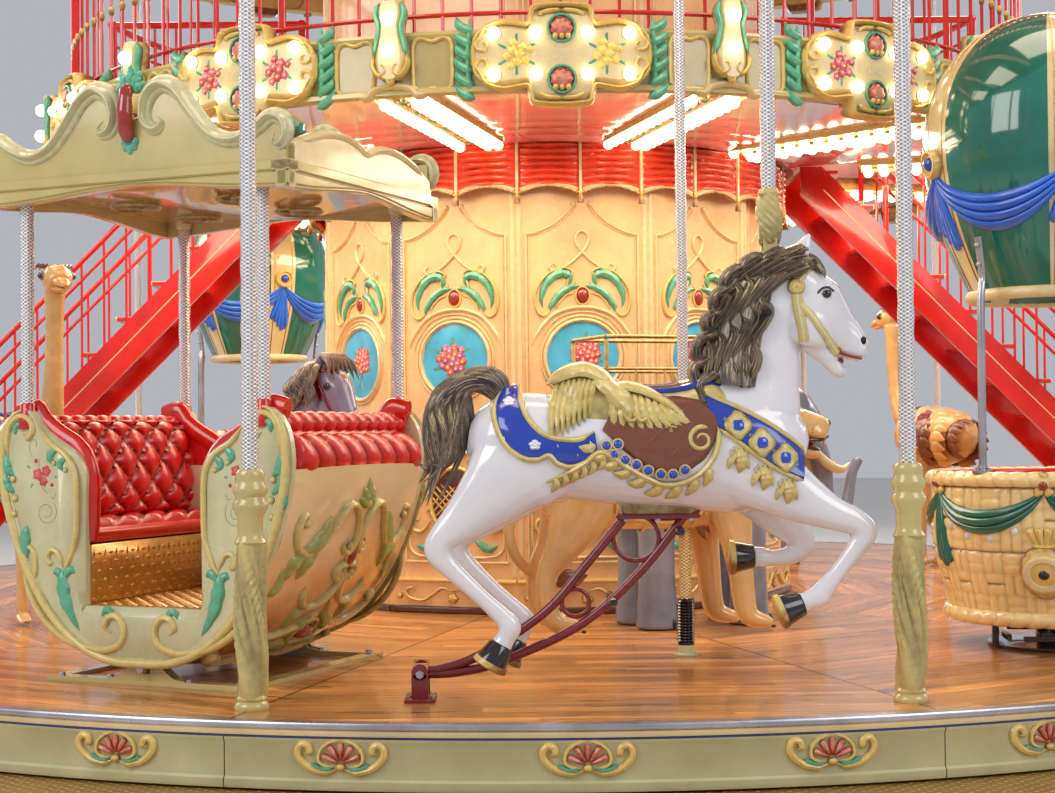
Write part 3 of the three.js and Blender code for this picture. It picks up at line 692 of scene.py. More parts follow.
def planks(name):
    """Varnished boards laid across each sector, with dark joints, streaked grain and a wavy gloss."""
    n = Nodes(name)
    width = bpy.context.scene.carousel_sizes.plank
    angle, reach = n.angle(), n.reach()
    sector = n.math("ROUND", n.over(angle, math.radians(SECTOR)))
    local = n.minus(angle, n.times(sector, math.radians(SECTOR)))
    out = n.times(reach, n.math("COSINE", local))
    across = n.times(reach, n.math("SINE", local))
    row = n.math("FLOOR", n.over(out, width))
    slide = n.times(n.math("FRACT", n.times(row, 0.437)), 1.7)
    board = n.math("FLOOR", n.over(n.plus(across, slide), 1.7))
    key = n.put("CombineXYZ", {0: row, 1: board, 2: sector})
    tint = n.put("TexWhiteNoise", {0: key}, out=0)
    lengthwise = n.put("CombineXYZ", {0: n.times(across, 0.55), 1: n.times(out, 6.0),
                                      2: n.times(n.plus(row, board), 3.7)})
    grain = n.put("TexNoise", {"Vector": lengthwise, "Scale": 2.2, "Detail": 7.0, "Roughness": 0.66,
                               "Distortion": 0.8})
    fine = n.put("TexNoise", {"Vector": lengthwise, "Scale": 15.0, "Detail": 3.0})
    wood = n.ramp(grain, (0.3, colour("wood", 0.4)), (0.42, colour("wood", 0.75)), (0.52, colour("wood")),
                  (0.68, colour("wood", 1.4)))
    tone = n.span(tint, 0.66, 1.2)
    streak = n.times(tone, n.span(fine, 0.72, 1.1, 0.35, 0.6))
    wood = n.mix(1.0, wood, n.grey(streak), "MULTIPLY")
    seam = n.math("LESS_THAN", n.math("PINGPONG", out, width / 2), 0.0022)
    half = math.radians(SECTOR / 2)
    joint = n.times(reach, n.minus(half, n.math("ABSOLUTE", local)))
    dark = n.math("MAXIMUM", n.times(seam, 0.8), n.math("LESS_THAN", joint, 0.006))
    wood = n.mix(dark, wood, (0.03, 0.015, 0.008))
    wave = n.plus(n.times(n.noise(5.0, 2.0), 0.7), n.times(grain, 0.3))
    return n.set(Base_Color=wood, Roughness=n.span(grain, 0.24, 0.4, 0.3, 0.7), Coat_Weight=0.4,
                 Coat_Roughness=0.08, Normal=n.bump(wave, 0.12, 0.02))


def chequer(name):
    """Chequer plate: raised lozenges that turn by a right angle from one to the next, lighter than the
    plate as a painted highlight, with patches of wear.
    """
    n = Nodes(name)
    pitch = bpy.context.scene.carousel_sizes.lozenge
    x, y, z = n.split()
    flat = n.put("CombineXYZ", {0: x, 1: n.plus(y, z), 2: 0.0})
    turn = n.put("VectorRotate", {"Vector": flat, "Angle": math.radians(45)}, rotation_type="Z_AXIS")
    u, v = (n.over(n.put("SeparateXYZ", {0: turn}, out=i), pitch) for i in range(2))
    checker = n.math("MODULO", n.math("ABSOLUTE", n.plus(n.math("FLOOR", u), n.math("FLOOR", v))), 2.0)
    a = n.math("ABSOLUTE", n.minus(n.math("FRACT", n.plus(u, 100.0)), 0.5))
    b = n.math("ABSOLUTE", n.minus(n.math("FRACT", n.plus(v, 100.0)), 0.5))
    one = n.plus(n.times(a, 1.0), n.times(b, 2.4))
    two = n.plus(n.times(b, 1.0), n.times(a, 2.4))
    size = n.plus(n.times(checker, one), n.times(n.minus(1.0, checker), two))
    lump = n.span(size, 1.0, 0.0, 0.34, 0.5)
    # Painted highlight: the raised lozenges are coloured pale ivory against darker brass.
    tone = n.mix(lump, colour("brass", 0.62), colour("ivory", 0.85))
    highlight_and_wear = n.mix(n.span(n.noise(7.0), 0.0, 0.5, 0.45, 0.7), tone, colour("brass", 0.8))
    return n.set(Base_Color=highlight_and_wear, Metallic=0.45, Roughness=n.span(n.noise(20.0), 0.28, 0.5),
                 Normal=n.bump(lump, 0.8, 0.004))


def woven(name):
    """Woven wicker in gloss paint: warm strands with painted shade that darkens the gaps between them."""
    n = Nodes(name)
    crown = n.put("Attribute", out="Fac", attribute_name="crown")
    # Painted shade: a low crown, the gaps between strands, darkens the wicker to 0.3 of itself.
    tone = n.ramp(crown, (0.0, colour("wicker", 0.3)), (0.35, colour("wicker", 0.72)),
                  (0.8, colour("wicker", 1.08)))
    fibre = n.noise(60.0, 4.0)
    tone = n.mix(0.35, tone, n.ramp(fibre, (0.3, colour("wicker", 0.6)), (0.7, colour("wicker", 1.2))),
                 "SOFT_LIGHT")
    return n.set(Base_Color=tone, Roughness=n.span(fibre, 0.14, 0.3), Coat_Weight=0.9, Coat_Roughness=0.06,
                 Normal=n.bump(fibre, 0.1, 0.002))


def rope_gold(name):
    """The pole's gilded stub, with the same painted shade and highlight in gold."""
    return rope_silver(name, colour("gilt", 0.6), colour("gilt", 1.1), (1.0, 0.9, 0.62))


def rope_silver(name, dark=(0.3, 0.3, 0.34), middle=(0.72, 0.71, 0.74), bright=(1.0, 1.0, 1.0)):
    """Bright metal pole covered in fine twisted wire, pebbled along and round by its own UV map, with
    painted shade in the grooves and a painted highlight on the pebbles.
    """
    n = Nodes(name)
    v = n.split("UV")[1]
    rise = n.times(n.split()[2], 400.0)
    round_it = n.times(v, 7 * math.tau)
    turn, cross = n.math("SINE", n.plus(rise, round_it)), n.math("SINE", n.minus(rise, round_it))
    pebble = n.plus(n.times(turn, 0.5), n.times(cross, 0.5))
    # Painted shade and highlight: the colour follows the pebbles' height, dark in the grooves and white on
    # their tops.
    tone = n.ramp(n.span(pebble, 0.0, 1.0, -1.0, 1.0), (0.15, dark), (0.45, middle), (0.9, bright))
    return n.set(Base_Color=tone, Metallic=0.55, Roughness=n.span(n.noise(25.0), 0.14, 0.3),
                 Normal=n.bump(pebble, 0.6, 0.004))


def mane_streaked(name):
    """The grey horse's mane: tan and gold strokes over grey brown."""
    return hair(name, (0.02, 0.014, 0.012), (0.2, 0.13, 0.09), (0.5, 0.36, 0.22), (0.85, 0.62, 0.36))


def hair(name, *tones):
    """Carved hair: black, brown and gold strokes along each lock, read along its UV map."""
    tones = tones or (colour("hair", 0.2), colour("hair", 1.1), (0.3, 0.22, 0.13), (0.75, 0.6, 0.32))
    n = Nodes(name)
    u, v, _ = n.split("UV")
    stroke = n.put("CombineXYZ", {0: n.times(u, 1.6), 1: n.times(n.math("SINE", n.times(v, math.tau)), 3.5),
                                  2: n.noise(3.0)})
    streak = n.put("TexNoise", {"Vector": stroke, "Scale": 3.4, "Detail": 5.0, "Roughness": 0.72})
    tone = n.ramp(streak, *zip((0.42, 0.5, 0.57, 0.64), tones))
    return n.set(Base_Color=tone, Roughness=n.span(streak, 0.25, 0.4), Coat_Weight=0.5, Coat_Roughness=0.12,
                 Normal=n.bump(streak, 0.6, 0.006))


def lamp(name):
    """A lit frosted bulb, brightest in the middle."""
    n = Nodes(name)
    facing = n.put("LayerWeight", {"Blend": 0.35}, out=1)
    warm = n.mix(facing, (1.0, 0.86, 0.6), (1.0, 0.62, 0.28))
    glow = bpy.context.scene.carousel_sizes.glow
    frosted = n.set(Base_Color=(1.0, 0.93, 0.8), Emission_Color=warm, Emission_Strength=glow,
                    Roughness=0.25)
    frosted.cycles.emission_sampling = "NONE"
    return frosted


def sky_disc(name):
    """A sky-blue enamel disc with a soft cloud."""
    n = Nodes(name)
    cloud = n.noise(6.0, 4.0)
    tone = n.ramp(cloud, (0.35, colour("sky", 0.86)), (0.7, colour("sky", 1.25)))
    return n.set(Base_Color=tone, Roughness=n.span(n.noise(18.0), 0.15, 0.3), Coat_Weight=0.7,
                 Coat_Roughness=0.05)


def gores(name):
    """The balloon's panels: dark green gloss between cream gores, by the angle round its own UV map."""
    n = Nodes(name)
    v = n.split("UV")[1]
    share = n.math("FRACT", n.minus(n.times(v, GORES), GORES * GORE_TURN / 360))
    cream = n.math("GREATER_THAN", n.math("ABSOLUTE", n.minus(share, 0.5)), 0.36)
    cloud = n.noise(3.0, 3.0)
    green = n.ramp(cloud, (0.3, colour("balloon", 0.8)), (0.7, colour("balloon", 1.2)))
    ivory = n.ramp(cloud, (0.3, colour("ivory", 0.8)), (0.7, colour("ivory", 1.0)))
    tone = n.mix(cream, green, ivory)
    return n.set(Base_Color=tone, Roughness=n.span(n.noise(12.0), 0.06, 0.16), Coat_Weight=1.0,
                 Coat_Roughness=0.03, Normal=n.bump(n.noise(3.0), 0.05, 0.02))


def leather(name):
    """Buttoned leather with fine creases, darker in the tufts as painted shade and lighter on the puffs as
    a painted highlight.
    """
    n = Nodes(name)
    crease = n.put("TexVoronoi", {"Vector": n.put("TexCoord", out="Object"), "Scale": 190.0}, out=0)
    soft = n.put("NewGeometry", out="Pointiness")
    # Painted shade and highlight: by pointiness the tufts darken to 0.3 and the puffs lighten to 1.25 of
    # the cushion red.
    tone = n.ramp(soft, (0.44, colour("cushion", 0.3)), (0.49, colour("cushion", 0.85)),
                  (0.56, colour("cushion", 1.25)))
    shaded_fleck = n.mix(n.span(n.noise(8.0), 0.0, 0.4, 0.4, 0.7), tone, colour("cushion", 0.75))
    return n.set(Base_Color=shaded_fleck, Roughness=n.span(n.noise(15.0), 0.24, 0.4), Coat_Weight=0.45,
                 Coat_Roughness=0.16, Normal=n.bump(crease, 0.22, 0.002))


def boat_side(name):
    """The hull's bulged sides: glossy cream that runs into orange brown towards the keel."""
    n = Nodes(name)
    height = n.split()[2]
    blend = n.plus(n.span(height, 0.0, 1.0, DECK + 0.2, DECK + 0.75),
                   n.span(n.noise(2.5), -0.25, 0.25, 0.3, 0.7))
    tone = n.ramp(blend, (0.0, (0.45, 0.17, 0.04)), (0.35, (0.78, 0.47, 0.18)), (0.75, (0.86, 0.68, 0.38)))
    return n.set(Base_Color=tone, Roughness=n.span(n.noise(9.0), 0.12, 0.25), Coat_Weight=1.0,
                 Coat_Roughness=0.05, Normal=n.bump(n.noise(160.0, 1.0), 0.04, 0.002))


def rim_paint(name):
    """The rim's fascia: its paint is cut by a fine dark joint at each sector's end."""
    n = Nodes(name)
    angle = n.angle()
    share = n.math("ABSOLUTE", n.minus(n.math("FRACT", n.over(angle, math.radians(SECTOR))), 0.5))
    joint = n.math("LESS_THAN", share, 0.0009)
    cloud = n.noise(5.0, 4.0)
    tone = n.ramp(cloud, (0.3, colour("cream", 0.8)), (0.7, colour("cream", 0.98)))
    return n.set(Base_Color=n.mix(joint, tone, (0.05, 0.05, 0.04)),
                 Roughness=n.span(n.noise(11.0), 0.26, 0.42), Coat_Weight=0.3, Coat_Roughness=0.12,
                 Normal=n.bump(n.noise(150.0, 1.0), 0.05, 0.002))


def ceiling_pink(name):
    """Glossy cloth that runs from red at the drum, a painted reflection of the red swags, to pale pink
    under the fascia, with soft radial streaks."""
    n = Nodes(name)
    reach = n.reach()
    cloud = n.noise(2.2, 4.0)
    blend = n.plus(n.span(reach, 0.0, 1.0, 1.6, 2.5), n.span(cloud, -0.3, 0.3, 0.3, 0.7))
    # Painted reflection: the red swags' red, from the ceiling colour, fades to pale pink between 1.6 and
    # 2.5 m out.
    tone = n.ramp(blend, (0.02, colour("ceiling", 0.95)), (0.3, (0.8, 0.4, 0.42)), (0.7, (0.9, 0.64, 0.68)))
    return n.set(Base_Color=tone, Roughness=n.span(n.noise(7.0), 0.1, 0.24), Coat_Weight=1.0,
                 Coat_Roughness=0.05, Normal=n.bump(n.noise(5.0, 2.0), 0.15, 0.02))


def roof_stripes(name):
    """Red and cream sheets by turns, by the angle about the axis, with faint seams and weathering."""
    n = Nodes(name)
    angle = n.angle()
    share = n.math("FRACT", n.plus(n.over(angle, math.radians(SECTOR)), 0.25))
    stripe = n.math("GREATER_THAN", share, 0.5)
    cloud = n.noise(2.5, 5.0)
    red = n.ramp(cloud, (0.3, colour("red", 0.6)), (0.7, colour("red", 0.95)))
    pale = n.ramp(cloud, (0.3, colour("cream", 0.8)), (0.7, colour("ivory", 0.95)))
    return n.set(Base_Color=n.mix(stripe, red, pale), Roughness=n.span(n.noise(8.0), 0.35, 0.55),
                 Coat_Weight=0.2, Coat_Roughness=0.2, Normal=n.bump(n.noise(60.0), 0.08, 0.003))


SPECIAL = (planks, chequer, woven, rope_silver, rope_gold, hair, mane_streaked, lamp, sky_disc, gores,
           leather, rim_paint, boat_side, ceiling_pink, roof_stripes)

# Carved paints, as (height above the plate, (paint, shade) or linear light) stops: painted shade at the
# foot, a painted highlight on the crown, and on leaves a change from gold paint to green
CARVED = {
    "gilded": ((0.0, ("gilt_dark", 0.7)), (0.3, ("gilt_dark", 1.35)), (0.7, ("gilt", 1)),
               (1.0, ("gilt", 1.12))),
    "gilded_leaf": ((0.0, ("gilt_dark", 0.9)), (0.28, ("gilt", 0.75)), (0.55, ("leaf", 0.9)),
                    (1.0, ("leaf", 1.25))),
    "acanthus": ((0.0, ("gilt_dark", 0.6)), (0.2, ("leaf", 0.5)), (0.6, ("leaf", 1)), (1.0, ("leaf", 1.5))),
    "olive_carving": ((0.0, ("cream", 0.32)), (0.35, ("cream", 0.68)), (0.7, ("cream", 0.95)),
                      (1.0, ("cream", 1.15))),
    "fascia_carving": ((0.0, ("gilt_dark", 0.9)), (0.25, ("gilt", 0.62)), (0.6, ("ivory", 0.85)),
                       (1.0, ("ivory", 1))),
    "red_shell": ((0.0, ("gilt_dark", 0.6)), (0.3, ("gem_red", 0.7)), (0.7, (0.5, 0.09, 0.045)),
                  (1.0, (0.8, 0.32, 0.22))),
    "petal_red": ((0.0, ("gem_red", 0.4)), (0.5, (0.55, 0.02, 0.03)), (1.0, (0.85, 0.2, 0.2))),
    "petal_pink": ((0.0, (0.16, 0.01, 0.06)), (0.5, (0.55, 0.03, 0.14)), (1.0, (0.9, 0.25, 0.35))),
    "petal_yellow": ((0.0, (0.5, 0.2, 0.02)), (0.5, (0.95, 0.62, 0.05)), (1.0, (1.0, 0.85, 0.25))),
    "petal_white": ((0.0, (0.3, 0.35, 0.7)), (0.5, (0.8, 0.82, 0.9)), (1.0, (0.95, 0.95, 1.0))),
    "fine_green": ((0.0, ("leaf", 0.25)), (0.6, ("leaf", 0.7)), (1.0, ("leaf", 1.1))),
    "pale_gilt": ((0.0, ("gilt_dark", 0.8)), (0.3, ("horse_gilt", 0.55)), (0.65, ("horse_gilt", 0.95)),
                  (1.0, ("horse_gilt", 1.2))),
    "olive_leaf": ((0.0, ("gilt_dark", 0.8)), (0.35, ("gilt", 0.8)), (0.7, (0.34, 0.36, 0.09)),
                   (1.0, (0.4, 0.5, 0.16))),
    "sleeve_carving": ((0.0, ("horse_gilt", 0.45)), (0.3, ("horse_gilt", 0.7)), (0.6, ("horse_gilt", 0.9)),
                       (1.0, ("horse_gilt", 1.12))),
    "petal_plum": ((0.0, (0.05, 0.005, 0.05)), (0.5, (0.25, 0.03, 0.2)), (1.0, (0.6, 0.2, 0.45))),
    "apricot_carving": ((0.0, ("apricot", 0.4)), (0.3, ("apricot", 0.7)), (0.65, ("apricot", 0.95)),
                        (1.0, ("ivory", 0.98))),
}

# Gloss paints, as arguments of gloss_paint
GLOSS = {
    "cream_gloss": dict(base="cream", coat=0.6),
    "ivory_gloss": dict(base="ivory"),
    "apricot_gloss": dict(base="apricot", coat=0.7),
    "red_gloss": dict(base="red", roughness=0.22, coat=0.6, low=0.7),
    "crimson_gloss": dict(base="crimson", coat=0.6, low=0.7),
    "horse_gloss": dict(base="horse", low=0.93, high=1.0, roughness=0.14, coat=1.0, grain=0.02, scale=2.0),
    "black_gloss": dict(base="rubber", low=0.5, roughness=0.12, coat=0.8),
    "rubber": dict(base="rubber", roughness=0.5, coat=0.0, grain=0.3),
    "gem_blue": dict(base="gem_blue", roughness=0.08, coat=1.0),
    "gem_red": dict(base="gem_red", roughness=0.08, coat=1.0),
    "ribbon_gloss": dict(base="ribbon", roughness=0.14, coat=0.9),
    "green_gloss": dict(base="balloon", roughness=0.12, coat=0.9),
    "steel": dict(base="steel", metallic=0.9, coat=0.0, roughness=0.28, low=0.6),
    "saddle_brown": dict(base="saddle", roughness=0.25),
    "lion_gloss": dict(base="lion", coat=1.0, low=0.82, high=1.15, roughness=0.14),
    "brass_gloss": dict(base="brass", metallic=0.5, roughness=0.25),
    "blanket_blue": dict(base="gem_blue", roughness=0.2, coat=0.8, low=0.6, high=0.9),
    "dark_panel": dict(base="saddle", low=0.35, high=0.6, coat=0.6),
    "mane_gloss": dict(base="saddle", low=0.8, high=1.9, coat=0.8, roughness=0.2, scale=14.0),
    "ostrich_tan": dict(base="lion", low=0.7, high=1.0, coat=0.8, scale=9.0),
    "beak_orange": dict(base="wood", low=0.9, high=1.7, coat=0.9),
    "feather_brown": dict(base="saddle", low=0.6, high=1.2, coat=0.5, scale=12.0),
    "tread_top": dict(base="ivory", low=0.5, high=0.85, coat=0.2),
    "navy_line": dict(base="gem_blue", low=0.25, high=0.35),
    "olive_plain": dict(base="horse_gilt", low=0.85, high=1.05, coat=0.8, roughness=0.2),
    "swag_red": dict(base="swag", low=0.9, high=1.2, roughness=0.16, coat=1.0, scale=9.0),
    "elephant_gloss": dict(base="elephant", low=0.85, high=1.6, coat=0.9, roughness=0.2),
    "pony_gloss": dict(base="pony", low=0.85, high=1.6, coat=0.9, roughness=0.2),
    "lip_red": dict(base="red", low=0.35, high=0.6, coat=0.8),
    "tooth": dict(base="ivory", coat=0.8),
    "pearl_gloss": dict(base="horse", roughness=0.08, coat=1.0),
    "tan_gloss": dict(base="lion", low=0.55, high=0.95, coat=0.9, roughness=0.2),
}


def look(name):
    """The finish of that name, made on its first use."""
    title = name + "_finish"
    made = bpy.data.materials.get(title)
    if made:
        return made
    for make in SPECIAL:
        if make.__name__ == name:
            return make(title)
    return crowned_paint(title, *CARVED[name]) if name in CARVED else gloss_paint(title, **GLOSS[name])


def dress(node, finish):
    """Gives a CAD node that keeps its own mesh its finish."""
    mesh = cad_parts[node].data
    mesh.materials.clear()
    mesh.materials.append(look(finish))


# The stage


CAMERA_PLACE = (-0.2808, -11.4921, DECK + 1.0781)
CAMERA_TURN = (0.676, 1.134, 0.584)
CAMERA_LENS = 58.14
SENSOR_WIDTH = 36
FLOOR_RADIUS = 40
FLOOR_SIDES = 64
STUDIO_RING = 13
STUDIO_HEIGHT = 7.5
STUDIO_LIGHTS = ((-40, 500), (35, 380), (110, 370), (180, 400), (250, 370))
WARM = (1.0, 0.84, 0.64)


class CAROUSEL_OT_stage(bpy.types.Operator):
    """Camera at the photograph's viewpoint, a pale floor and soft lights"""

    bl_idname = "carousel.stage"
    bl_label = "Stage"

    def execute(self, context):
        """A camera from its heading, pitch and roll; a disc of floor; area lights round the ride and under
        its ceilings."""
        scene = context.scene
        heading, pitch, roll = (math.radians(a) for a in CAMERA_TURN)
        forward = Vector((math.sin(heading) * math.cos(pitch), math.cos(heading) * math.cos(pitch),
                          math.sin(pitch)))
        right = Vector((math.cos(heading), -math.sin(heading), 0))
        up = right.cross(forward)
        across = math.cos(roll) * right - math.sin(roll) * up
        above = math.sin(roll) * right + math.cos(roll) * up
        camera = bpy.data.objects.new("camera", bpy.data.cameras.new("camera"))
        camera.data.sensor_width = SENSOR_WIDTH
        camera.data.lens = CAMERA_LENS
        camera.data.clip_end = 200
        camera.matrix_world = Matrix.Translation(CAMERA_PLACE) @ Matrix(
            (across, above, -forward)).transposed().to_4x4()
        scene.collection.objects.link(camera)
        scene.camera = camera

        mesh = bpy.data.meshes.new("floor")
        ring = about(FLOOR_RADIUS, sided(FLOOR_SIDES), 0.0)
        mesh.from_pydata(ring.tolist(), [], [list(range(FLOOR_SIDES))])
        floor = bpy.data.objects.new("floor", mesh)
        scene.collection.objects.link(floor)
        n = Nodes("floor_pale")
        mesh.materials.append(n.set(Base_Color=n.ramp(n.noise(0.4), (0.3, (0.66, 0.64, 0.61)),
                                                      (0.7, (0.72, 0.7, 0.67))), Roughness=0.6))

        world = bpy.data.worlds.new("studio")
        world.use_nodes = True
        world.node_tree.nodes["Background"].inputs[0].default_value = (0.9, 0.92, 1.0, 1)
        world.node_tree.nodes["Background"].inputs[1].default_value = 0.5
        scene.world = world
        scene.view_settings.view_transform = "Standard"

        def area(place, target, size, power, tint=(1.0, 0.97, 0.92)):
            """A square soft light at place that looks at target."""
            light = bpy.data.lights.new("soft_light", "AREA")
            light.size, light.energy, light.color = size, power, tint
            holder = bpy.data.objects.new("soft_light", light)
            holder.location = place
            holder.rotation_euler = (Vector(target) - Vector(place)).to_track_quat("-Z", "Y").to_euler()
            scene.collection.objects.link(holder)

        for angle, power in STUDIO_LIGHTS:
            area(about(STUDIO_RING, math.radians(angle), STUDIO_HEIGHT), (0, 0, 2.5), 6, power)
        for angle in EVERY:
            direction = Vector(about(1, math.radians(angle), 0))
            area(direction * 2.4 + Vector((0, 0, CEILING - 0.12)), direction * 2.6, 0.9, 19, WARM)
            area(direction * 4.1 + Vector((0, 0, ROOF_BEAM - 0.3)), direction * 4.1, 1.2, 20, WARM)
        return {"FINISHED"}


# Platform, step and posts


class CAROUSEL_OT_platform(bpy.types.Operator):
    """Step ring, turning deck and its painted rim with shell ornaments"""

    bl_idname = "carousel.platform"
    bl_label = "Platform"

    def execute(self, context):
        """The rim is a hoop of a closed profile; its shells are fans of domes between two spiral
        mouldings."""
        dress("step_ring", "chequer")
        dress("base_frame", "steel")
        dress("deck", "planks")
        low = STEP_TOP + 0.01
        rim = Shape("rim_edge_boards")
        back = RIM - 0.062
        rim.add(hoop([(back, low), (RIM - 0.004, low), (RIM, low + 0.012), (RIM, low + 0.034),
                      (RIM - 0.01, low + 0.042), (RIM - 0.01, low + 0.17), (RIM - 0.004, low + 0.178),
                      (RIM - 0.002, low + 0.19), (back, low + 0.19)], RING_SIDES), "rim_paint")
        rim.add(hoop([(back, low + 0.1905), (RIM - 0.006, low + 0.1905), (RIM - 0.006, low + 0.1995),
                      (back, low + 0.1995)], RING_SIDES), "navy_line")
        rim.add(hoop([(back, low + 0.2), (RIM - 0.002, low + 0.2), (RIM, low + 0.206), (RIM, low + 0.222),
                      (back, low + 0.222)], RING_SIDES), "ivory_gloss")
        rim.add(hoop([(back, low + 0.2225), (RIM + 0.002, low + 0.2225), (RIM + 0.004, low + 0.228),
                      (RIM + 0.004, low + 0.243), (RIM, DECK + 0.002), (back, DECK + 0.002)], RING_SIDES),
                      "steel")
        rim.build("turntable", "rim_fascia", slot="rim")

        shells = Shape("rim_shells")
        place = on_round(RIM - 0.008, low + 0.118, np.arange(36) * 10.0)
        scroll = [(0.012, -0.04), (0.06, -0.05), (0.12, -0.034), (0.158, 0.0), (0.165, 0.03),
                  (0.148, 0.052), (0.124, 0.046), (0.12, 0.024), (0.136, 0.018)]
        shells.pair(moulding, scroll, "gilded", place, 0.015, 0.016, 34)
        inner = [(0.03, -0.035), (0.07, -0.036), (0.11, -0.02)]
        shells.pair(moulding, inner, "fine_green", place, 0.009, 0.02, 10, 6)
        shells.add_all([moulding(side, 0.008, 0.013, 16, 6)
                        for side in mirror([(0.0, 0.07), (0.04, 0.062), (0.075, 0.036), (0.085, 0.0),
                                            (0.07, -0.022), (0.03, -0.03)])], "gilded", place)
        for turn in (-66, -33, 0, 33, 66):
            x, y = math.sin(math.radians(turn)), math.cos(math.radians(turn))
            petal = moulding([(0.012 * x, -0.02 + 0.012 * y, 0.35), (0.045 * x, -0.02 + 0.045 * y, 0.9),
                              (0.07 * x, -0.02 + 0.07 * y, 1.0), (0.08 * x, -0.02 + 0.08 * y, 0.6)], 0.013,
                              0.016, 10, 8)
            shells.add(petal, "red_shell", place)
        shells.add(dome(0, -0.03, 0.02, 0.016, 0.02, sides=12), "gilded", place)
        shells.build("turntable", slot="rim", most=36000)
        return {"FINISHED"}


class CAROUSEL_OT_posts(bpy.types.Operator):
    """Twelve posts: a carved sleeve, turned collars and a twisted pole up to the ring beam"""

    bl_idname = "carousel.posts"
    bl_label = "Posts"

    def execute(self, context):
        """The sleeve's radius swells with three twisted leaves; the pole's with a fine helix."""
        at = about(POST_RING, np.radians(EVERY + SECTOR / 2), DECK)
        sleeves = Shape("post_sleeves")
        sides, rows = 48, 72
        turn = sided(sides)[None, :]
        z = np.linspace(0.045, 0.66, rows)[:, None]
        lift = (z - 0.045) / 0.615
        swirl = turn + 2.6 * lift
        fold = 1 - np.abs(np.sin(1.5 * swirl)) ** 0.6
        tips = np.cos(6 * swirl + 14 * lift * np.sin(3 * swirl)) * 0.5 + 0.5
        carved = 0.016 * fold - 0.013 * tips * np.sin(np.pi * lift)
        reach = 0.05 + 0.012 * np.sin(np.pi * lift) ** 0.5 + carved
        crown = (carved - carved.min()) / np.ptp(carved)
        crown = np.concatenate([crown[:1], crown, crown[-1:]])
        surface = about(reach, turn, z)
        sleeve = capped(surface)
        copies = at_points(sleeve, at)
        sleeves.add(copies, "sleeve_carving", crown=crown)
        foot = lathe([(0, 0), (0.066, 0), (0.07, 0.012), (0.064, 0.026), (0.056, 0.034), (0.06, 0.046),
                      (0.05, 0.06), (0, 0.06)], 32)
        collar = lathe([(0, 0.64), (0.058, 0.642), (0.064, 0.652), (0.056, 0.664), (0.05, 0.68),
                        (0.05, 0.75), (0.058, 0.765), (0.068, 0.785), (0.07, 0.8), (0.06, 0.814),
                        (0.057, 0.83), (0.066, 0.845), (0.068, 0.862), (0.058, 0.878), (0.055, 0.9),
                        (0.058, 0.92), (0.048, 0.935), (0.036, 0.936), (0, 0.936)], 32)
        sleeves.add(at_points(foot, at), "olive_plain")
        sleeves.add(at_points(collar, at), "olive_plain")
        sleeves.build("turntable", slot="pearl", most=40000)

        poles = Shape("post_poles")
        pole = twisted_pole(0.0325, 0.93, ROOF_BEAM - DECK + 0.02)
        poles.add(at_points(pole, at), "rope_silver")
        poles.add(hoop([(POST_RING - 0.07, ROOF_BEAM), (POST_RING + 0.07, ROOF_BEAM),
                        (POST_RING + 0.07, ROOF_BEAM + 0.12), (POST_RING - 0.07, ROOF_BEAM + 0.12)], 96),
                        "red_gloss")
        poles.build("turntable", "outer_posts", slot="pearl")
        return {"FINISHED"}


def twisted_pole(radius, low, high, sides=10):
    """A pole whose radius swells along two-start helices. Rows run up it, columns round it."""
    pitch = bpy.context.scene.carousel_sizes.twist
    rows = max(8, int((high - low) / (pitch / 4)))
    z = np.linspace(low, high, rows)[:, None]
    turn = sided(sides)[None, :]
    reach = radius * (1 + 0.06 * np.cos(2 * turn + 2 * np.pi * z / pitch))
    surface = about(reach, turn, z)
    ends = surface * np.array([0, 0, 1])
    return np.concatenate([ends[:1], surface, ends[-1:]])


# Horses

# Each station is [x, y, z, half width across, half height] in the ride's own metres.
HORSE_TRUNK = [(-0.44, 0, 1.05, 0.05, 0.06), (-0.405, 0, 1.045, 0.12, 0.13),
               (-0.33, 0, 1.035, 0.178, 0.185), (-0.18, 0, 1.02, 0.2, 0.21), (0.0, 0, 1.0, 0.192, 0.205),
               (0.2, 0, 0.985, 0.192, 0.215), (0.4, 0, 0.985, 0.195, 0.228), (0.58, 0, 0.985, 0.192, 0.248),
               (0.72, 0, 0.98, 0.182, 0.238), (0.82, 0, 0.96, 0.152, 0.195), (0.89, 0, 0.93, 0.09, 0.11)]
HORSE_NECK = [(0.6, 0, 1.04, 0.16, 0.24), (0.69, 0, 1.15, 0.14, 0.22), (0.735, 0, 1.29, 0.112, 0.168),
              (0.765, 0, 1.43, 0.092, 0.138), (0.81, 0, 1.56, 0.08, 0.118), (0.865, 0, 1.655, 0.07, 0.09)]
HORSE_HEAD = [(0.835, 0, 1.71, 0.045, 0.05), (0.88, 0, 1.675, 0.074, 0.092), (0.945, 0, 1.578, 0.09, 0.138),
              (1.0, 0, 1.515, 0.075, 0.122), (1.05, 0, 1.468, 0.058, 0.1), (1.095, 0, 1.435, 0.05, 0.082),
              (1.13, 0, 1.405, 0.055, 0.064), (1.157, 0, 1.39, 0.05, 0.047),
              (1.173, 0, 1.382, 0.026, 0.022)]
HORSE_JAW = [(0.905, 0, 1.5, 0.06, 0.08), (0.96, 0, 1.43, 0.05, 0.062), (1.01, 0, 1.372, 0.042, 0.044),
             (1.04, 0, 1.33, 0.038, 0.032), (1.066, 0, 1.3, 0.038, 0.027), (1.082, 0, 1.284, 0.024, 0.014)]
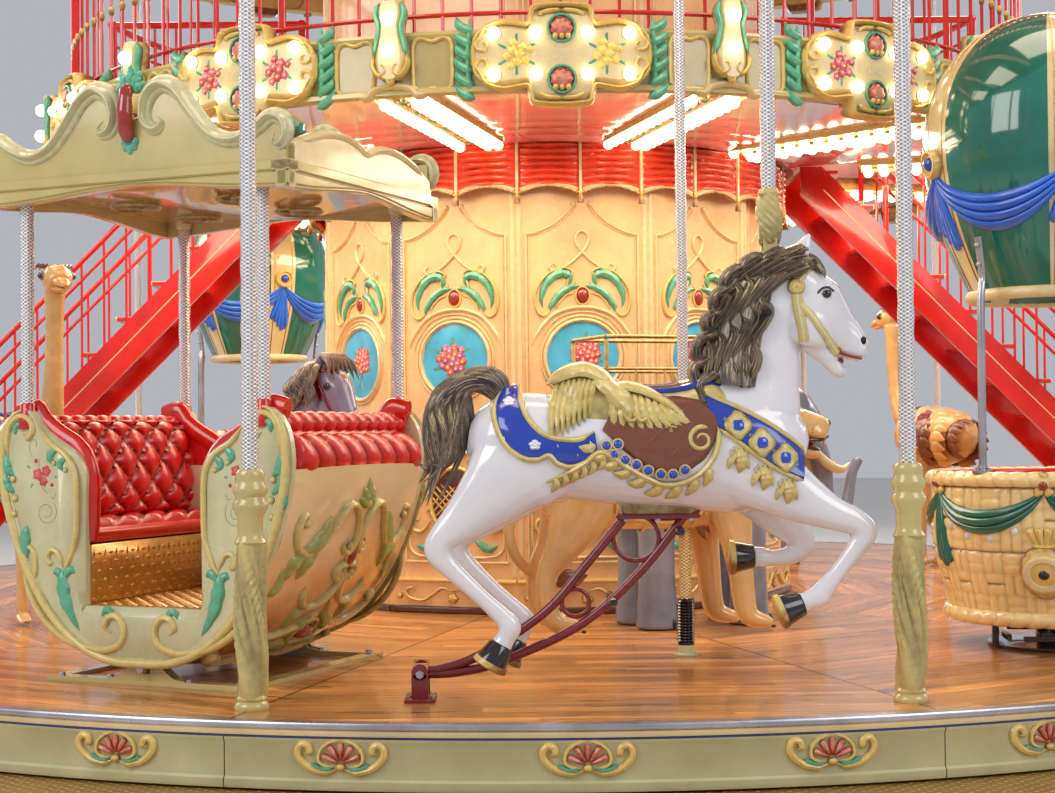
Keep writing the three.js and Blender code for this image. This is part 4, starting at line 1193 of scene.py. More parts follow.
HIND_LEG = [(-0.13, 0.07, 0.99, 0.12, 0.19), (-0.25, 0.09, 0.93, 0.115, 0.19),
            (-0.35, 0.1, 0.83, 0.088, 0.14), (-0.45, 0.1, 0.735, 0.06, 0.095),
            (-0.54, 0.1, 0.655, 0.045, 0.062), (-0.563, 0.1, 0.6, 0.042, 0.055),
            (-0.51, 0.1, 0.53, 0.034, 0.042), (-0.4, 0.1, 0.425, 0.029, 0.034),
            (-0.315, 0.1, 0.345, 0.033, 0.038), (-0.28, 0.1, 0.3, 0.042, 0.047),
            (-0.3, 0.1, 0.25, 0.036, 0.04), (-0.325, 0.1, 0.21, 0.044, 0.05)]
FORE_LEG = [(0.64, 0.07, 0.95, 0.12, 0.18), (0.77, 0.09, 0.87, 0.092, 0.14), (0.9, 0.1, 0.79, 0.068, 0.1),
            (1.01, 0.11, 0.735, 0.05, 0.068), (1.095, 0.11, 0.702, 0.046, 0.056),
            (1.135, 0.11, 0.66, 0.043, 0.05), (1.1, 0.11, 0.6, 0.035, 0.041),
            (1.03, 0.11, 0.51, 0.029, 0.034), (0.975, 0.11, 0.445, 0.034, 0.04),
            (0.945, 0.11, 0.408, 0.042, 0.047), (0.9, 0.11, 0.388, 0.036, 0.04),
            (0.86, 0.11, 0.373, 0.044, 0.05)]
FOLDED_LEG = [(0.64, 0.07, 0.95, 0.12, 0.18), (0.74, 0.09, 0.84, 0.092, 0.14),
              (0.83, 0.1, 0.725, 0.064, 0.095), (0.905, 0.11, 0.64, 0.048, 0.062),
              (0.92, 0.11, 0.59, 0.043, 0.05), (0.87, 0.11, 0.555, 0.035, 0.041),
              (0.8, 0.11, 0.545, 0.029, 0.034), (0.75, 0.11, 0.55, 0.036, 0.042),
              (0.725, 0.11, 0.552, 0.036, 0.042), (0.7, 0.11, 0.552, 0.044, 0.05)]
ARM_PIN = (-0.64, 0, 0.111)
ROD_PIN = (0.785, 0, 1.77)
HOOVES = [
    ((-0.318, -0.1, 0.222), (-0.36, -0.1, 0.15)), ((-0.258, 0.1, 0.222), (-0.3, 0.1, 0.15)),
    ((0.872, -0.11, 0.377), (0.8, -0.11, 0.35)), ((0.712, 0.11, 0.552), (0.64, 0.11, 0.55))]


def mesh_points(mesh):
    """The mesh's points as an array."""
    flat = np.empty(len(mesh.vertices) * 3, np.float32)
    mesh.vertices.foreach_get("co", flat)
    return flat.reshape(-1, 3).astype(float)


def side_of(stations, side, shift=0.0):
    """A leg's stations on one side of the body, shifted along x."""
    return [(x + shift, side * y, z, across, high) for x, y, z, across, high in stations]


def flank(meshes, side=-1, cell=0.014):
    """A placing function that lays a plate on the outer side of closed surfaces.

    The surfaces' points are dropped into square cells of x and z, each cell keeps its furthest reach in y,
    and the reaches are
    blurred. A plate point (x, z) is put at the reach read from the cells, plus its own height.
    """
    points = np.concatenate([mesh_points(mesh) for mesh in meshes])
    origin = points.min(0)[[0, 2]] - 4 * cell
    size = ((points.max(0)[[0, 2]] - origin) / cell).astype(int) + 6
    field = np.zeros(size)
    index = ((points[:, [0, 2]] - origin) / cell).round().astype(int)
    np.maximum.at(field, (index[:, 0], index[:, 1]), side * points[:, 1])
    for axis in (0, 1, 0, 1):
        field = np.where(field > 0, field, np.maximum(np.roll(field, 1, axis), np.roll(field, -1, axis)))
    for _ in range(3):
        for axis in (0, 1):
            field = 0.25 * np.roll(field, 1, axis) + 0.5 * field + 0.25 * np.roll(field, -1, axis)

    def place(grid):
        """Bilinear reach at the plate point, then the plate's height outwards."""
        at = np.clip((grid[..., :2] - origin) / cell, 0, np.array(size) - 1.001)
        i, j = at[..., 0].astype(int), at[..., 1].astype(int)
        u, v = at[..., 0] - i, at[..., 1] - j
        reach = ((1 - u) * (1 - v) * field[i, j] + u * (1 - v) * field[i + 1, j]
                 + (1 - u) * v * field[i, j + 1] + u * v * field[i + 1, j + 1])
        return np.stack([grid[..., 0], side * (reach + grid[..., 2]), grid[..., 1]], -1)
    return place


def stone(shape, x, y, radius, finish, place, rim="gilded", rise=0.6):
    """A polished stone in a gilded ring."""
    circle = round_path(x, y, radius * 1.12, 0, 360, 17)
    shape.add(moulding(circle, radius * 0.26, radius * 0.36, 20, 6, taper=False), rim, place)
    shape.add(dome(x, y, radius, radius, radius * rise, rings=5, sides=16), finish, place)


def blossom(shape, x, y, radius, finish, place, petals=6, heart="gilded", rise=0.35):
    """A flower of petals: two rows of domes round a heart."""
    for ring, (count, reach, size,
               lift) in enumerate(((petals, 0.62, 0.46, rise), (petals - 1, 0.3, 0.34, rise * 1.5))):
        turn = np.radians(np.arange(count) * 360 / count + 20 * ring)
        petal = dome(0, 0, radius * size, radius * size * 0.85, radius * lift, lobes=2, depth=0.12, rings=4,
                     sides=10)
        spots = np.stack([x + radius * reach * np.cos(turn), y + radius * reach * np.sin(turn),
                          np.full(count, radius * 0.12 * ring)], -1)
        shape.add(petal[None] + spots[:, None, None, :], finish, place)
    shape.add(dome(x, y, radius * 0.2, radius * 0.2, radius * rise * 2.2, rings=4, sides=10), heart, place)


def curl(x, y, radius, start, sweep, shrink=0.25):
    """Points of a spiral with a thinning third column, for moulding."""
    path = round_path(x, y, radius, start, sweep, 14, shrink)
    return np.column_stack([path, np.linspace(1, 0.7, len(path))])


def horse_skin():
    """The white body: trunk, neck, head and legs fused to one skin."""
    body = Shape("horse_skin")
    parts = [limb(HORSE_TRUNK, 60, 28), limb(HORSE_NECK, 40, 24), limb(HORSE_HEAD, 50, 24),
             limb(HORSE_JAW, 24, 16)]
    for side in (-1, 1):
        parts.append(limb(side_of(HIND_LEG, side, 0.0 if side < 0 else 0.06), 70, 20))
        parts.append(limb(side_of(FORE_LEG if side < 0 else FOLDED_LEG, side), 60, 20))
        parts.append(limb([(0.87, side * 0.05, 1.545, 0.02, 0.03), (0.915, side * 0.062, 1.5, 0.034, 0.082),
                           (0.96, side * 0.06, 1.46, 0.03, 0.075), (1.01, side * 0.045, 1.42, 0.015, 0.03)],
                           16, 14))
        parts.append(limb([(0.95, side * 0.055, 1.65, 0.014, 0.016),
                           (0.995, side * 0.07, 1.625, 0.02, 0.024),
                           (1.035, side * 0.058, 1.585, 0.012, 0.014)], 12, 12))
        parts.append(limb([(0.885, side * 0.04, 1.73, 0.026, 0.03),
                           (0.905, side * 0.048, 1.775, 0.03, 0.034),
                           (0.925, side * 0.052, 1.82, 0.019, 0.024),
                           (0.942, side * 0.052, 1.86, 0.006, 0.008)], 16, 12))
        parts.append(limb([(1.115, side * 0.03, 1.4, 0.018, 0.02), (1.145, side * 0.04, 1.385, 0.02, 0.024),
                           (1.165, side * 0.034, 1.36, 0.012, 0.014)], 10, 10))
    body.add_all(parts, "horse_gloss")
    return body.fused(0.0095)


def horse_hair(body):
    """Mane and tail: wavy ringlets laid on a padded band on both sides of the neck, and a switch of locks
    at the dock."""
    hair = Shape("horse_hair")
    back = smooth_path([(0.93, 1.765), (0.83, 1.775), (0.72, 1.755), (0.63, 1.69), (0.575, 1.57),
                        (0.53, 1.45), (0.51, 1.32), (0.535, 1.25)], 48)
    front = smooth_path([(0.965, 1.715), (0.9, 1.7), (0.845, 1.69), (0.79, 1.63), (0.765, 1.53),
                         (0.735, 1.42), (0.72, 1.32), (0.7, 1.225)], 48)
    t = np.linspace(0, 1, 48)
    for side in (-1, 1):
        place = flank([body], side, 0.016)
        hair.add(panel(back[::2], front[::2], 0.036, 48, 12, 0.3, 0.05), "hair", place)
        for k in range(6):
            share = (k + 0.35) / 6
            wave = (0.028 * np.sin(2 * np.pi * (4.2 * t + 0.19 * k) + side)
                    * np.sin(np.pi * np.clip(t * 1.15, 0.06, 0.96)) ** 0.5)
            line = back * (1 - share) + front * share + wave[:, None] * (0.9, 0.55)
            width = 0.7 + 0.45 * np.abs(np.sin(2 * np.pi * (2.1 * t + 0.095 * k)))
            hair.add(moulding(np.column_stack([line, width])[::2], 0.024, 0.052, 80, 9), "hair", place)
        for k in range(9):
            x, z = back[4 + 5 * k]
            tip = (x - 0.035 - 0.012 * math.sin(2.3 * k), z - 0.075)
            loop = [(x + 0.06, z + 0.02, 0.8), (x + 0.01, z + 0.012, 1.2), (x - 0.035, z - 0.02, 1.1),
                    (*tip, 0.9), (x - 0.005, z - 0.105, 0.5)]
            hair.add(moulding(loop, 0.024, 0.05, 26, 9), "hair", place)
    crest = np.column_stack([back[:, 0], 0.012 * np.sin(1.3 * np.arange(48)), back[:, 1] - 0.012])
    hair.add(tube(crest[::2], 0.034 + 0.009 * np.sin(1.1 * np.arange(24)), 12, up=(0, 1, 0), flat=0.9),
             "hair")
    for k in range(5):
        sway = 0.02 * (k - 2)
        hair.add(lock([(0.89, sway * 0.6, 1.765), (0.945, sway, 1.758), (0.985, sway * 1.4, 1.71),
                       (0.998, sway * 1.7, 1.675)], 0.021, 0.6), "hair")
    tail = np.array([(-0.29, 0, 1.19), (-0.345, 0, 1.27), (-0.43, 0, 1.285), (-0.515, 0, 1.215),
                     (-0.52, 0, 1.08), (-0.535, 0, 0.96), (-0.605, 0, 0.845)])
    for k in range(16):
        turn = 2 * math.pi * k / 16
        spread = np.array([0.12, 0.45, 0.75, 1.0, 1.05, 0.85, 0.4])[:, None]
        side = np.array([0.062 * math.cos(turn), 0.05 * math.sin(turn), 0.03 * math.sin(turn + 1)])
        wave = 0.018 * np.sin(np.arange(7) * 1.7 + turn * 3)[:, None] * np.array([1, 0.6, 0.4])
        reach = tail + spread * side + wave * spread
        reach[-1] += (0.03 * math.cos(3 * turn), 0.02 * math.sin(turn), 0.09 * (k % 3) - 0.06)
        hair.add(lock(reach, 0.034, 0.7, 26, 8), "hair")
    return hair


def horse_tack(tack, place):
    """Blankets, saddle panel, breast band and bridle drawn as plates and laid on one flank."""
    def raised(grid):
        """The same flank, a band's thickness further out."""
        return place(grid + (0, 0, 0.014))

    low = [(-0.3, 1.25), (-0.335, 1.176), (-0.325, 1.09), (-0.286, 1.015), (-0.225, 0.97), (-0.166, 0.962),
           (-0.12, 0.978), (-0.085, 0.945), (-0.03, 0.932), (0.03, 0.955), (0.07, 1.0)]
    high = [(-0.235, 1.262), (-0.228, 1.2), (-0.21, 1.14), (-0.17, 1.085), (-0.12, 1.052), (-0.06, 1.04),
            (0.0, 1.04), (0.06, 1.07)]
    tack.add(panel(low, high, 0.012, 50, 10, 0.06), "blanket_blue", place)
    for line in (low, high):
        tack.add(moulding(line, 0.0125, 0.019, 64, 8), "pale_gilt", place)
    for x, z in ((-0.275, 1.195), (-0.175, 1.02)):
        blossom(tack, x, z, 0.04, "petal_white", place, 6, "petal_white", 0.28)
    for spiral in (curl(-0.272, 1.11, 0.034, 90, 420), curl(-0.06, 0.985, 0.026, 200, -420),
                   curl(-0.235, 1.045, 0.022, 60, 400)):
        tack.add(moulding(spiral, 0.0045, 0.012, 34, 6), "petal_white", place)
    for x, z, turn in ((-0.23, 1.15, 60), (-0.3, 1.06, 250), (-0.11, 1.01, 20), (0.0, 0.985, 200),
                       (0.02, 1.02, 30), (-0.255, 1.235, 100)):
        tip = (x + 0.036 * math.cos(math.radians(turn)), z + 0.036 * math.sin(math.radians(turn)))
        tack.add(leaf([(x, z), ((x + tip[0]) / 2 + 0.008, (z + tip[1]) / 2), tip], 0.008, 0.012, 3, 12, 6),
                 "petal_white", place)

    brown = panel([(0.09, 1.075), (0.17, 0.995), (0.25, 0.935), (0.335, 0.885), (0.42, 0.91), (0.49, 0.955),
                   (0.53, 1.02), (0.545, 1.1)], [(0.13, 1.15), (0.18, 1.19), (0.25, 1.215), (0.33, 1.215),
                                                 (0.4, 1.21), (0.46, 1.2), (0.5, 1.18), (0.53, 1.14)],
                                                 0.016, 44, 12, 0.06)
    tack.add(brown, "saddle_brown", place)
    for a, b in (((0.27, 1.2), (0.5, 1.0)), ((0.2, 1.16), (0.42, 0.96)), ((0.24, 1.0), (0.46, 1.19)),
                 ((0.33, 0.95), (0.52, 1.12))):
        tack.add(moulding([a, ((a[0] + b[0]) / 2, (a[1] + b[1]) / 2), b], 0.0035, 0.02, 14, 5), "pale_gilt",
                 place)
    blossom(tack, 0.36, 1.085, 0.024, "pale_gilt", place, 4, "pale_gilt", 0.9)
    border = smooth_path([(0.055, 1.03), (0.11, 0.985), (0.17, 0.945), (0.24, 0.9), (0.32, 0.862),
                          (0.4, 0.868), (0.47, 0.905), (0.52, 0.965)], 10)
    for k in range(9):
        x, z = border[k]
        along = border[min(k + 1, 9)] - border[max(k - 1, 0)]
        along = along / np.linalg.norm(along)
        down = np.array([along[1], -along[0]])
        tip = (x, z) + down * 0.055 - along * 0.045
        middle = (x, z) + down * 0.035
        tack.add(leaf([(x + 0.012 * along[0], z + 0.012 * along[1]), middle, tip], 0.02, 0.024, 4, 14, 8),
                 "pale_gilt", place)
    tack.add(moulding([(-0.13, 0.872), (-0.05, 0.905), (0.02, 0.945), (0.07, 0.985), (0.12, 0.975),
                       (0.19, 0.925), (0.27, 0.88), (0.34, 0.855), (0.42, 0.868), (0.49, 0.915),
                       (0.535, 0.985), (0.548, 1.06), (0.53, 1.12)], 0.014, 0.026, 70, 8), "pale_gilt",
                       place)
    for k in range(6):
        x, z = -0.1 + 0.036 * k, 0.892 + 0.017 * k
        tack.add(leaf([(x, z), (x + 0.012, z - 0.03), (x - 0.012, z - 0.062)], 0.015, 0.02, 3, 12, 6),
                 "pale_gilt", place)
    tack.add(moulding(curl(0.478, 1.035, 0.056, 20, 560, 0.2), 0.013, 0.026, 50, 8), "pale_gilt", place)
    for x, z in ((0.105, 1.015), (0.1335, 0.978), (0.178, 0.958), (0.222, 0.938), (0.268, 0.915),
                 (0.318, 0.9), (0.366, 0.898), (0.412, 0.915), (0.15, 1.02)):
        stone(tack, x, z, 0.018, "gem_blue", raised, "pale_gilt", 0.8)

    for k in range(8):
        share = k / 7
        root = np.array([0.075 - 0.15 * share, 1.3 - 0.02 * share])
        tip = np.array([0.045 - 0.155 * share, 1.125 - 0.1 * share ** 0.8])
        middle = (root + tip) / 2 + (-0.012, 0.0)
        tack.add(leaf([root, middle, tip], 0.0155, 0.034 - 0.001 * k, 4, 22, 8), "pale_gilt", place)
    tack.add(moulding([(-0.12, 1.262, 0.7), (-0.06, 1.3, 1.1), (0.01, 1.318, 1.3), (0.08, 1.3, 1.3),
                       (0.15, 1.245, 1.0)], 0.026, 0.046, 40, 10), "pale_gilt", place)
    tack.add(leaf([(0.05, 1.3), (0.13, 1.24), (0.19, 1.165), (0.2, 1.11)], 0.042, 0.056, 3, 30, 10),
             "pale_gilt", place)
    for side_step in (0.0, 0.04):
        tack.add(moulding([(0.17 + side_step, 1.15), (0.2 + side_step, 1.11), (0.235 + side_step, 1.125)],
                          0.01, 0.05, 16, 8), "pale_gilt", place)
    for k in range(9):
        share = k / 8
        root = np.array([0.15 + 0.19 * share, 1.235 - 0.06 * share ** 2])
        tip = np.array([0.14 + 0.32 * share, 1.075 - 0.03 * math.sin(math.pi * share) + 0.02 * share])
        middle = (root + tip) / 2 + (-0.008, -0.012)
        tack.add(leaf([root, middle, tip], 0.019, 0.03, 5, 22, 8), "pale_gilt", place)
    tack.add(moulding([(0.12, 1.24, 0.9), (0.2, 1.25, 1.2), (0.28, 1.225, 1.1), (0.36, 1.175, 0.9),
                       (0.44, 1.1, 0.6)], 0.02, 0.04, 40, 10), "pale_gilt", place)

    upper = [(0.5, 1.215), (0.6, 1.175), (0.7, 1.125), (0.79, 1.07), (0.875, 1.01), (0.9, 0.985)]
    lower = [(0.53, 1.09), (0.61, 1.035), (0.69, 0.975), (0.76, 0.925), (0.84, 0.885), (0.885, 0.87)]
    tack.add(panel(upper, lower, 0.013, 40, 10, 0.06), "blanket_blue", place)
    for edge in (upper, lower):
        tack.add(moulding(edge, 0.0105, 0.018, 46, 8), "pale_gilt", place)
    for x, z in ((0.625, 1.09), (0.718, 1.02), (0.812, 0.96)):
        tack.add(dome(x, z, 0.052, 0.056, 0.012, 4, 0.1, 5, 32, 45), "pale_gilt", raised)
        stone(tack, x, z, 0.031, "gem_blue", raised, "pale_gilt", 0.55)
    for x, z in ((0.575, 1.115), (0.672, 1.05), (0.765, 0.988), (0.858, 0.932)):
        blossom(tack, x, z, 0.017, "pale_gilt", place, 5, "pale_gilt", 0.5)
    for x, z in ((0.625, 1.0), (0.72, 0.93), (0.815, 0.875)):
        tack.add(leaf([(x, z), (x + 0.012, z - 0.05), (x, z - 0.1)], 0.026, 0.026, 5, 18, 8), "pale_gilt",
                 place)
        for turn in (-1, 1):
            tack.add(leaf([(x, z - 0.02), (x + turn * 0.03, z - 0.05), (x + turn * 0.042, z - 0.085)],
                          0.014, 0.02, 3, 12, 6), "pale_gilt", place)
            tack.add(moulding(curl(x + turn * 0.022, z - 0.012, 0.017, 90, turn * 380, 0.3), 0.006, 0.014,
                              22, 6), "pale_gilt", place)

    for path, wide in (([(0.878, 1.635), (0.89, 1.53), (0.908, 1.42)], 0.022),
                       ([(0.89, 1.57), (0.93, 1.53), (0.99, 1.45), (1.05, 1.372)], 0.017),
                       ([(0.878, 1.644), (0.91, 1.69), (0.95, 1.73)], 0.014)):
        tack.add(moulding(path, wide, 0.012, 22, 8, taper=False), "pale_gilt", place)
        tack.add(moulding(path, wide * 0.35, 0.0155, 22, 6, taper=False), "olive_carving", place)
    tack.add(dome(0.8785, 1.642, 0.036, 0.036, 0.022, sides=28), "pale_gilt", place)
    tack.add(moulding(round_path(0.8785, 1.642, 0.024, 0, 360, 25), 0.006, 0.026, 36, 8, taper=False),
             "pale_gilt", place)
    tack.add(dome(0.8785, 1.642, 0.012, 0.012, 0.03, sides=14), "pale_gilt", place)
    stone(tack, 1.05, 1.385, 0.014, "gem_red", place)


def saddle_seat():
    """The gilded seat over the back, an oval section carried along x under the saddle's dipped line."""
    top = smooth_path([(-0.02, 1.3), (0.02, 1.345), (0.09, 1.3), (0.18, 1.255), (0.3, 1.238), (0.42, 1.247),
                       (0.53, 1.28), (0.585, 1.26)], 60)
    centre = np.column_stack([top[:, 0], 0 * top[:, 0], np.full(60, 1.12)])
    high = top[:, 1] - 1.12
    return tube(centre, high, 60, up=(0, 1, 0), flat=0.152 / high)


def horse_details(shape):
    """Eyes, nostrils, mouth, hooves with gilded soles and the saddle's blue piping."""
    for side in (-1, 1):
        eye = ball(0.02, 16, 9)[..., [0, 2, 1]]
        shape.add(moved(eye * (1.1, 1, 1), 1.0, side * 0.0755, 1.612), "black_gloss")
        shape.add(moved(eye * (1.5, 0.8, 1.25), 1.0, side * 0.0705, 1.61), "pearl_gloss")
        lid = smooth_path([(0.962, side * 0.082, 1.612), (0.98, side * 0.092, 1.632),
                           (1.004, side * 0.091, 1.638), (1.03, side * 0.078, 1.622)], 14)
        shape.add(tube(lid, 0.0042, 6), "black_gloss")
        shape.add(moved(ball(0.012, 10, 7) * (1.0, 0.7, 1.4), 1.152, side * 0.05, 1.425), "rubber")
        peg = lathe([(0, 0.1), (0.011, 0.1), (0.011, 0.165), (0.017, 0.17), (0.019, 0.2), (0.015, 0.225),
                     (0, 0.23)], 16)
        shape.add(peg[..., [0, 2, 1]] * (1, side, 1) + (0.744, 0, 1.53), "rubber")
        mouth = smooth_path([(1.055, side * 0.042, 1.378), (1.1, side * 0.044, 1.362),
                             (1.145, side * 0.04, 1.353)], 12)
        shape.add(tube(mouth, 0.006, 8), "lip_red")
    shape.add(moved(ball(0.05, 12, 9) * (0.75, 0.66, 0.4), 1.045, 0, 1.345), "lip_red")
    for high, low in HOOVES:
        high, low = np.array(high), np.array(low)
        axis = (low - high) / np.linalg.norm(low - high)
        path = high + axis * np.array([-0.012, -0.006, 0.02, 0.05, 0.078])[:, None]
        shape.add(tube(path, np.array([0.044, 0.05, 0.055, 0.062, 0.067]), 24, up=(0, 1, 0)), "black_gloss")
        shape.add(tube(high + axis * np.array([0.066, 0.07, 0.09, 0.096])[:, None],
                       np.array([0.06, 0.071, 0.073, 0.062]), 24, up=(0, 1, 0)), "gilded")
    piping = smooth_path([(-0.02, 1.315), (0.0206, 1.35), (0.08, 1.315), (0.15, 1.275), (0.2737, 1.25),
                          (0.397, 1.256), (0.5, 1.28), (0.58, 1.27)], 50)
    for y in (-0.07, -0.035, 0, 0.035, 0.07):
        path = np.column_stack([piping[:, 0], np.full(50, y), piping[:, 1] - 0.008 - 3.4 * y * y])
        shape.add(tube(path, 0.017, 8), "gilded" if abs(y) == 0.035 else "blanket_blue")


def swing_arm_mesh():
    """Two bent tubes from the floor's pin to the belly plate, with rings, spreaders and footrests."""
    arm = Shape("swing_arm")
    for line in ([(-0.64, 0, 0.123), (-0.56, 0, 0.123), (-0.401, 0, 0.177), (-0.138, 0, 0.346),
                  (0.045, 0, 0.553), (0.197, 0, 0.735)],
                 [(-0.64, 0, 0.103), (-0.5, 0, 0.108), (-0.321, 0, 0.148), (0.002, 0, 0.292),
                  (0.246, 0, 0.502), (0.435, 0, 0.735)]):
        arm.add(tube(smooth_path(line, 60), 0.019, 14, up=(0, 1, 0)), "crimson_gloss")
    for x, z, radius in ((0.232, 0.64, 0.092), (-0.015, 0.382, 0.055)):
        circle = np.column_stack([x + radius * np.cos(sided(41) * 41 / 40), np.zeros(41),
                                  z + radius * np.sin(sided(41) * 41 / 40)])
        circle[-1] = circle[0]
        arm.add(tube(circle, 0.0095, 10, up=(0, 1, 0)), "crimson_gloss")
    for x, z in ((0.4, 0.67), (0.131, 0.395)):
        arm.add(spindle([(0, -0.1), (0.011, -0.1), (0.011, 0.1), (0, 0.1)], 12) + (x, 0, z), "steel")
        for side in (-1, 1):
            grip = lathe([(0, 0.06), (0.016, 0.062), (0.0185, 0.075), (0.016, 0.082), (0.0195, 0.092),
                          (0.0165, 0.1), (0.0195, 0.112), (0.0165, 0.12), (0.0195, 0.132), (0.014, 0.148),
                          (0, 0.15)], 16)
            arm.add(grip[..., [0, 2, 1]] * (1, side, 1) + (x, 0, z), "black_gloss")
    arm.add(spindle([(0, -0.055), (0.026, -0.055), (0.03, -0.048), (0.03, 0.048), (0.026, 0.055),
                     (0, 0.055)], 20) + ARM_PIN, "crimson_gloss")
    arm.add(spindle([(0, -0.09), (0.0105, -0.09), (0.0105, 0.09), (0, 0.09)], 16) + ARM_PIN, "steel")
    arm.add(slab(0.15, 0.49, -0.05, 0.05, 0.718, 0.7372, 0.006), "crimson_gloss")
    for x in (0.19, 0.32, 0.45):
        for y in (-0.036, 0.036):
            arm.add(lathe([(0, 0.708), (0.009, 0.708), (0.009, 0.719), (0, 0.719)], 6) + (x, y, 0), "steel")
    return arm.mesh()


def horse_rod_mesh():
    """The olive sleeve and fork over the neck's pin, and the twisted pole above."""
    rod = Shape("horse_rod")
    x, _, z = ROD_PIN
    for y in (-0.027, 0.027):
        ear = spindle([(0, -0.007), (0.026, -0.007), (0.03, -0.004), (0.03, 0.004), (0.026, 0.007),
                       (0, 0.007)], 24)
        rod.add(ear + (x, y, z), "olive_plain")
        rod.add(slab(x - 0.028, x + 0.028, y - 0.0068, y + 0.0068, z, z + 0.075, 0.003), "olive_plain")
    sides, rows = 40, 56
    turn, lift = sided(sides)[None, :], np.linspace(0, 1, rows)[:, None]
    swirl = turn + 2.2 * lift
    reach = (0.034 + 0.014 * np.sin(np.pi * lift) ** 0.6 + 0.006 * np.cos(3 * swirl)
             + 0.004 * np.cos(9 * swirl + 20 * lift))
    height = 0.05 + 0.205 * lift + 0 * turn
    surface = about(reach, turn, height)
    rod.add(capped(surface) + (x, 0, z), "sleeve_carving")
    rod.add(lathe([(0, 0.245), (0.04, 0.247), (0.045, 0.256), (0.038, 0.268), (0.034, 0.275), (0, 0.275)],
                  24) + (x, 0, z), "olive_plain")
    pole = twisted_pole(0.0315, z + 0.255, 5.1)
    rod.add(pole + (x, 0, 0), "rope_silver")
    return rod.mesh()


def arm_bracket_mesh():
    """The crimson bracket on the floor: base plate, two capped cheeks, pin ends and bolts."""
    base = Shape("arm_bracket")
    base.add(slab(-0.702, -0.578, -0.097, 0.097, -0.002, 0.0155, 0.004), "crimson_gloss")
    for side in (-1, 1):
        cheek = slab(-0.674, -0.606, side * 0.068 - 0.0095, side * 0.068 + 0.0095, 0.0, 0.112, 0.003)
        base.add(cheek, "crimson_gloss")
        cap = spindle([(0, -0.0095), (0.031, -0.0095), (0.034, -0.006), (0.034, 0.006), (0.031, 0.0095),
                       (0, 0.0095)], 24)
        base.add(cap + (-0.64, side * 0.068, 0.12), "crimson_gloss")
        base.add(spindle([(0, 0), (0.017, 0), (0.017, 0.006), (0, 0.006)], 6) * (1, side, 1)
                 + (-0.64, side * 0.0775, 0.111), "steel")
        for x in (-0.685, -0.595):
            base.add(lathe([(0, 0.014), (0.009, 0.014), (0.009, 0.022), (0, 0.024)], 6)
                     + (x, side * 0.04, 0), "steel")
    return base.mesh()


class CAROUSEL_OT_horses(bpy.types.Operator):
    """Four jumping horses with tack, hair, swing arms, floor brackets and their twisted poles"""

    bl_idname = "carousel.horses"
    bl_label = "Horses"

    def execute(self, context):
        """The body is fused limbs; the tack is laid on its flanks; every mesh is copied to the four
        places."""
        body = horse_skin()
        saddle = Shape("saddle_seat").add(saddle_seat(), "pale_gilt").mesh()
        details = Shape("horse_details").add(saddle_seat(), "pale_gilt")
        horse_details(details)
        for side in (-1, 1):
            horse_tack(details, flank([body, saddle], side))
        details.add(slab(0.17, 0.47, -0.06, 0.06, 0.7385, 0.86, 0.01), "pale_gilt")
        details.add(slab(0.751, 0.819, -0.0148, 0.0148, 1.62, 1.795, 0.006), "olive_plain")
        details.add(spindle([(0, -0.04), (0.0108, -0.04), (0.0108, 0.04), (0, 0.04)], 16) + ROD_PIN,
                    "steel")
        put_rides("horse_body_#", thinned(body, 38000), HORSES, HORSE_RING, "horse_#", "horse_#",
                  slot="horse_white")
        put_rides("horse_tack_#", details.mesh(most=32000), HORSES, HORSE_RING, "horse_#",
                  slot="horse_white")
        put_rides("horse_hair_#", horse_hair(body).mesh(60, most=20000), HORSES, HORSE_RING, "horse_#",
                  slot="horse_white")
        put_rides("horse_arm_#", swing_arm_mesh(), HORSES, HORSE_RING, "horse_#", "swing_arm_#",
                  slot="crimson")
        put_rides("horse_pole_#", horse_rod_mesh(), HORSES, HORSE_RING, "rod_#", "horse_rod_#",
                  slot="silver")
        put_rides("arm_bracket_#", arm_bracket_mesh(), HORSES, HORSE_RING, "turntable", slot="crimson")
        return {"FINISHED"}


# Rocking boats. The doorway looks out of the ride, and the two benches face each other

BOAT_FACE = 0.6
BOAT_INSIDE = 0.57
BOAT_SILL = 0.335
BOAT_SEAT = 0.6
BOAT_RAIL = 0.925
BOAT_BULGE = 0.045
BOAT_DEPTH = 2 * BOAT_INSIDE
KEEL = [(0, 0.09), (0.18, 0.105), (0.36, 0.19), (0.52, 0.35), (0.64, 0.56), (0.72, 0.78),
        (0.745, BOAT_RAIL)]
FACE_EDGE = [(0.595, 1.195), (0.665, 1.175), (0.72, 1.105), (0.742, 1.02), *KEEL[::-1]]
DOOR_EDGE = [(0.56, 1.175), (0.52, 1.11), (0.44, 1.055), (0.35, 1.0), (0.3, 0.92), (0.3, 0.79), (0.3, 0.6),
             (0.3, 0.42), (0.298, 0.342), (0.28, BOAT_SILL), (0, BOAT_SILL)]
SOCKETS = [(x, y, 0) for x in (-0.61, 0.61) for y in (-0.6, 0.6)]


def whole(half):
    """A curve from one side's top, through the point on the middle line, up to the other side's top."""
    half = np.asarray(half, float)
    return np.concatenate([half * (-1, 1), half[-2::-1]])


def boat_swell(depth):
    """How far the hull swells at a depth, from nothing at both faces."""
    return BOAT_BULGE * np.cos(np.pi * np.clip(depth / BOAT_DEPTH, -0.5, 0.5))


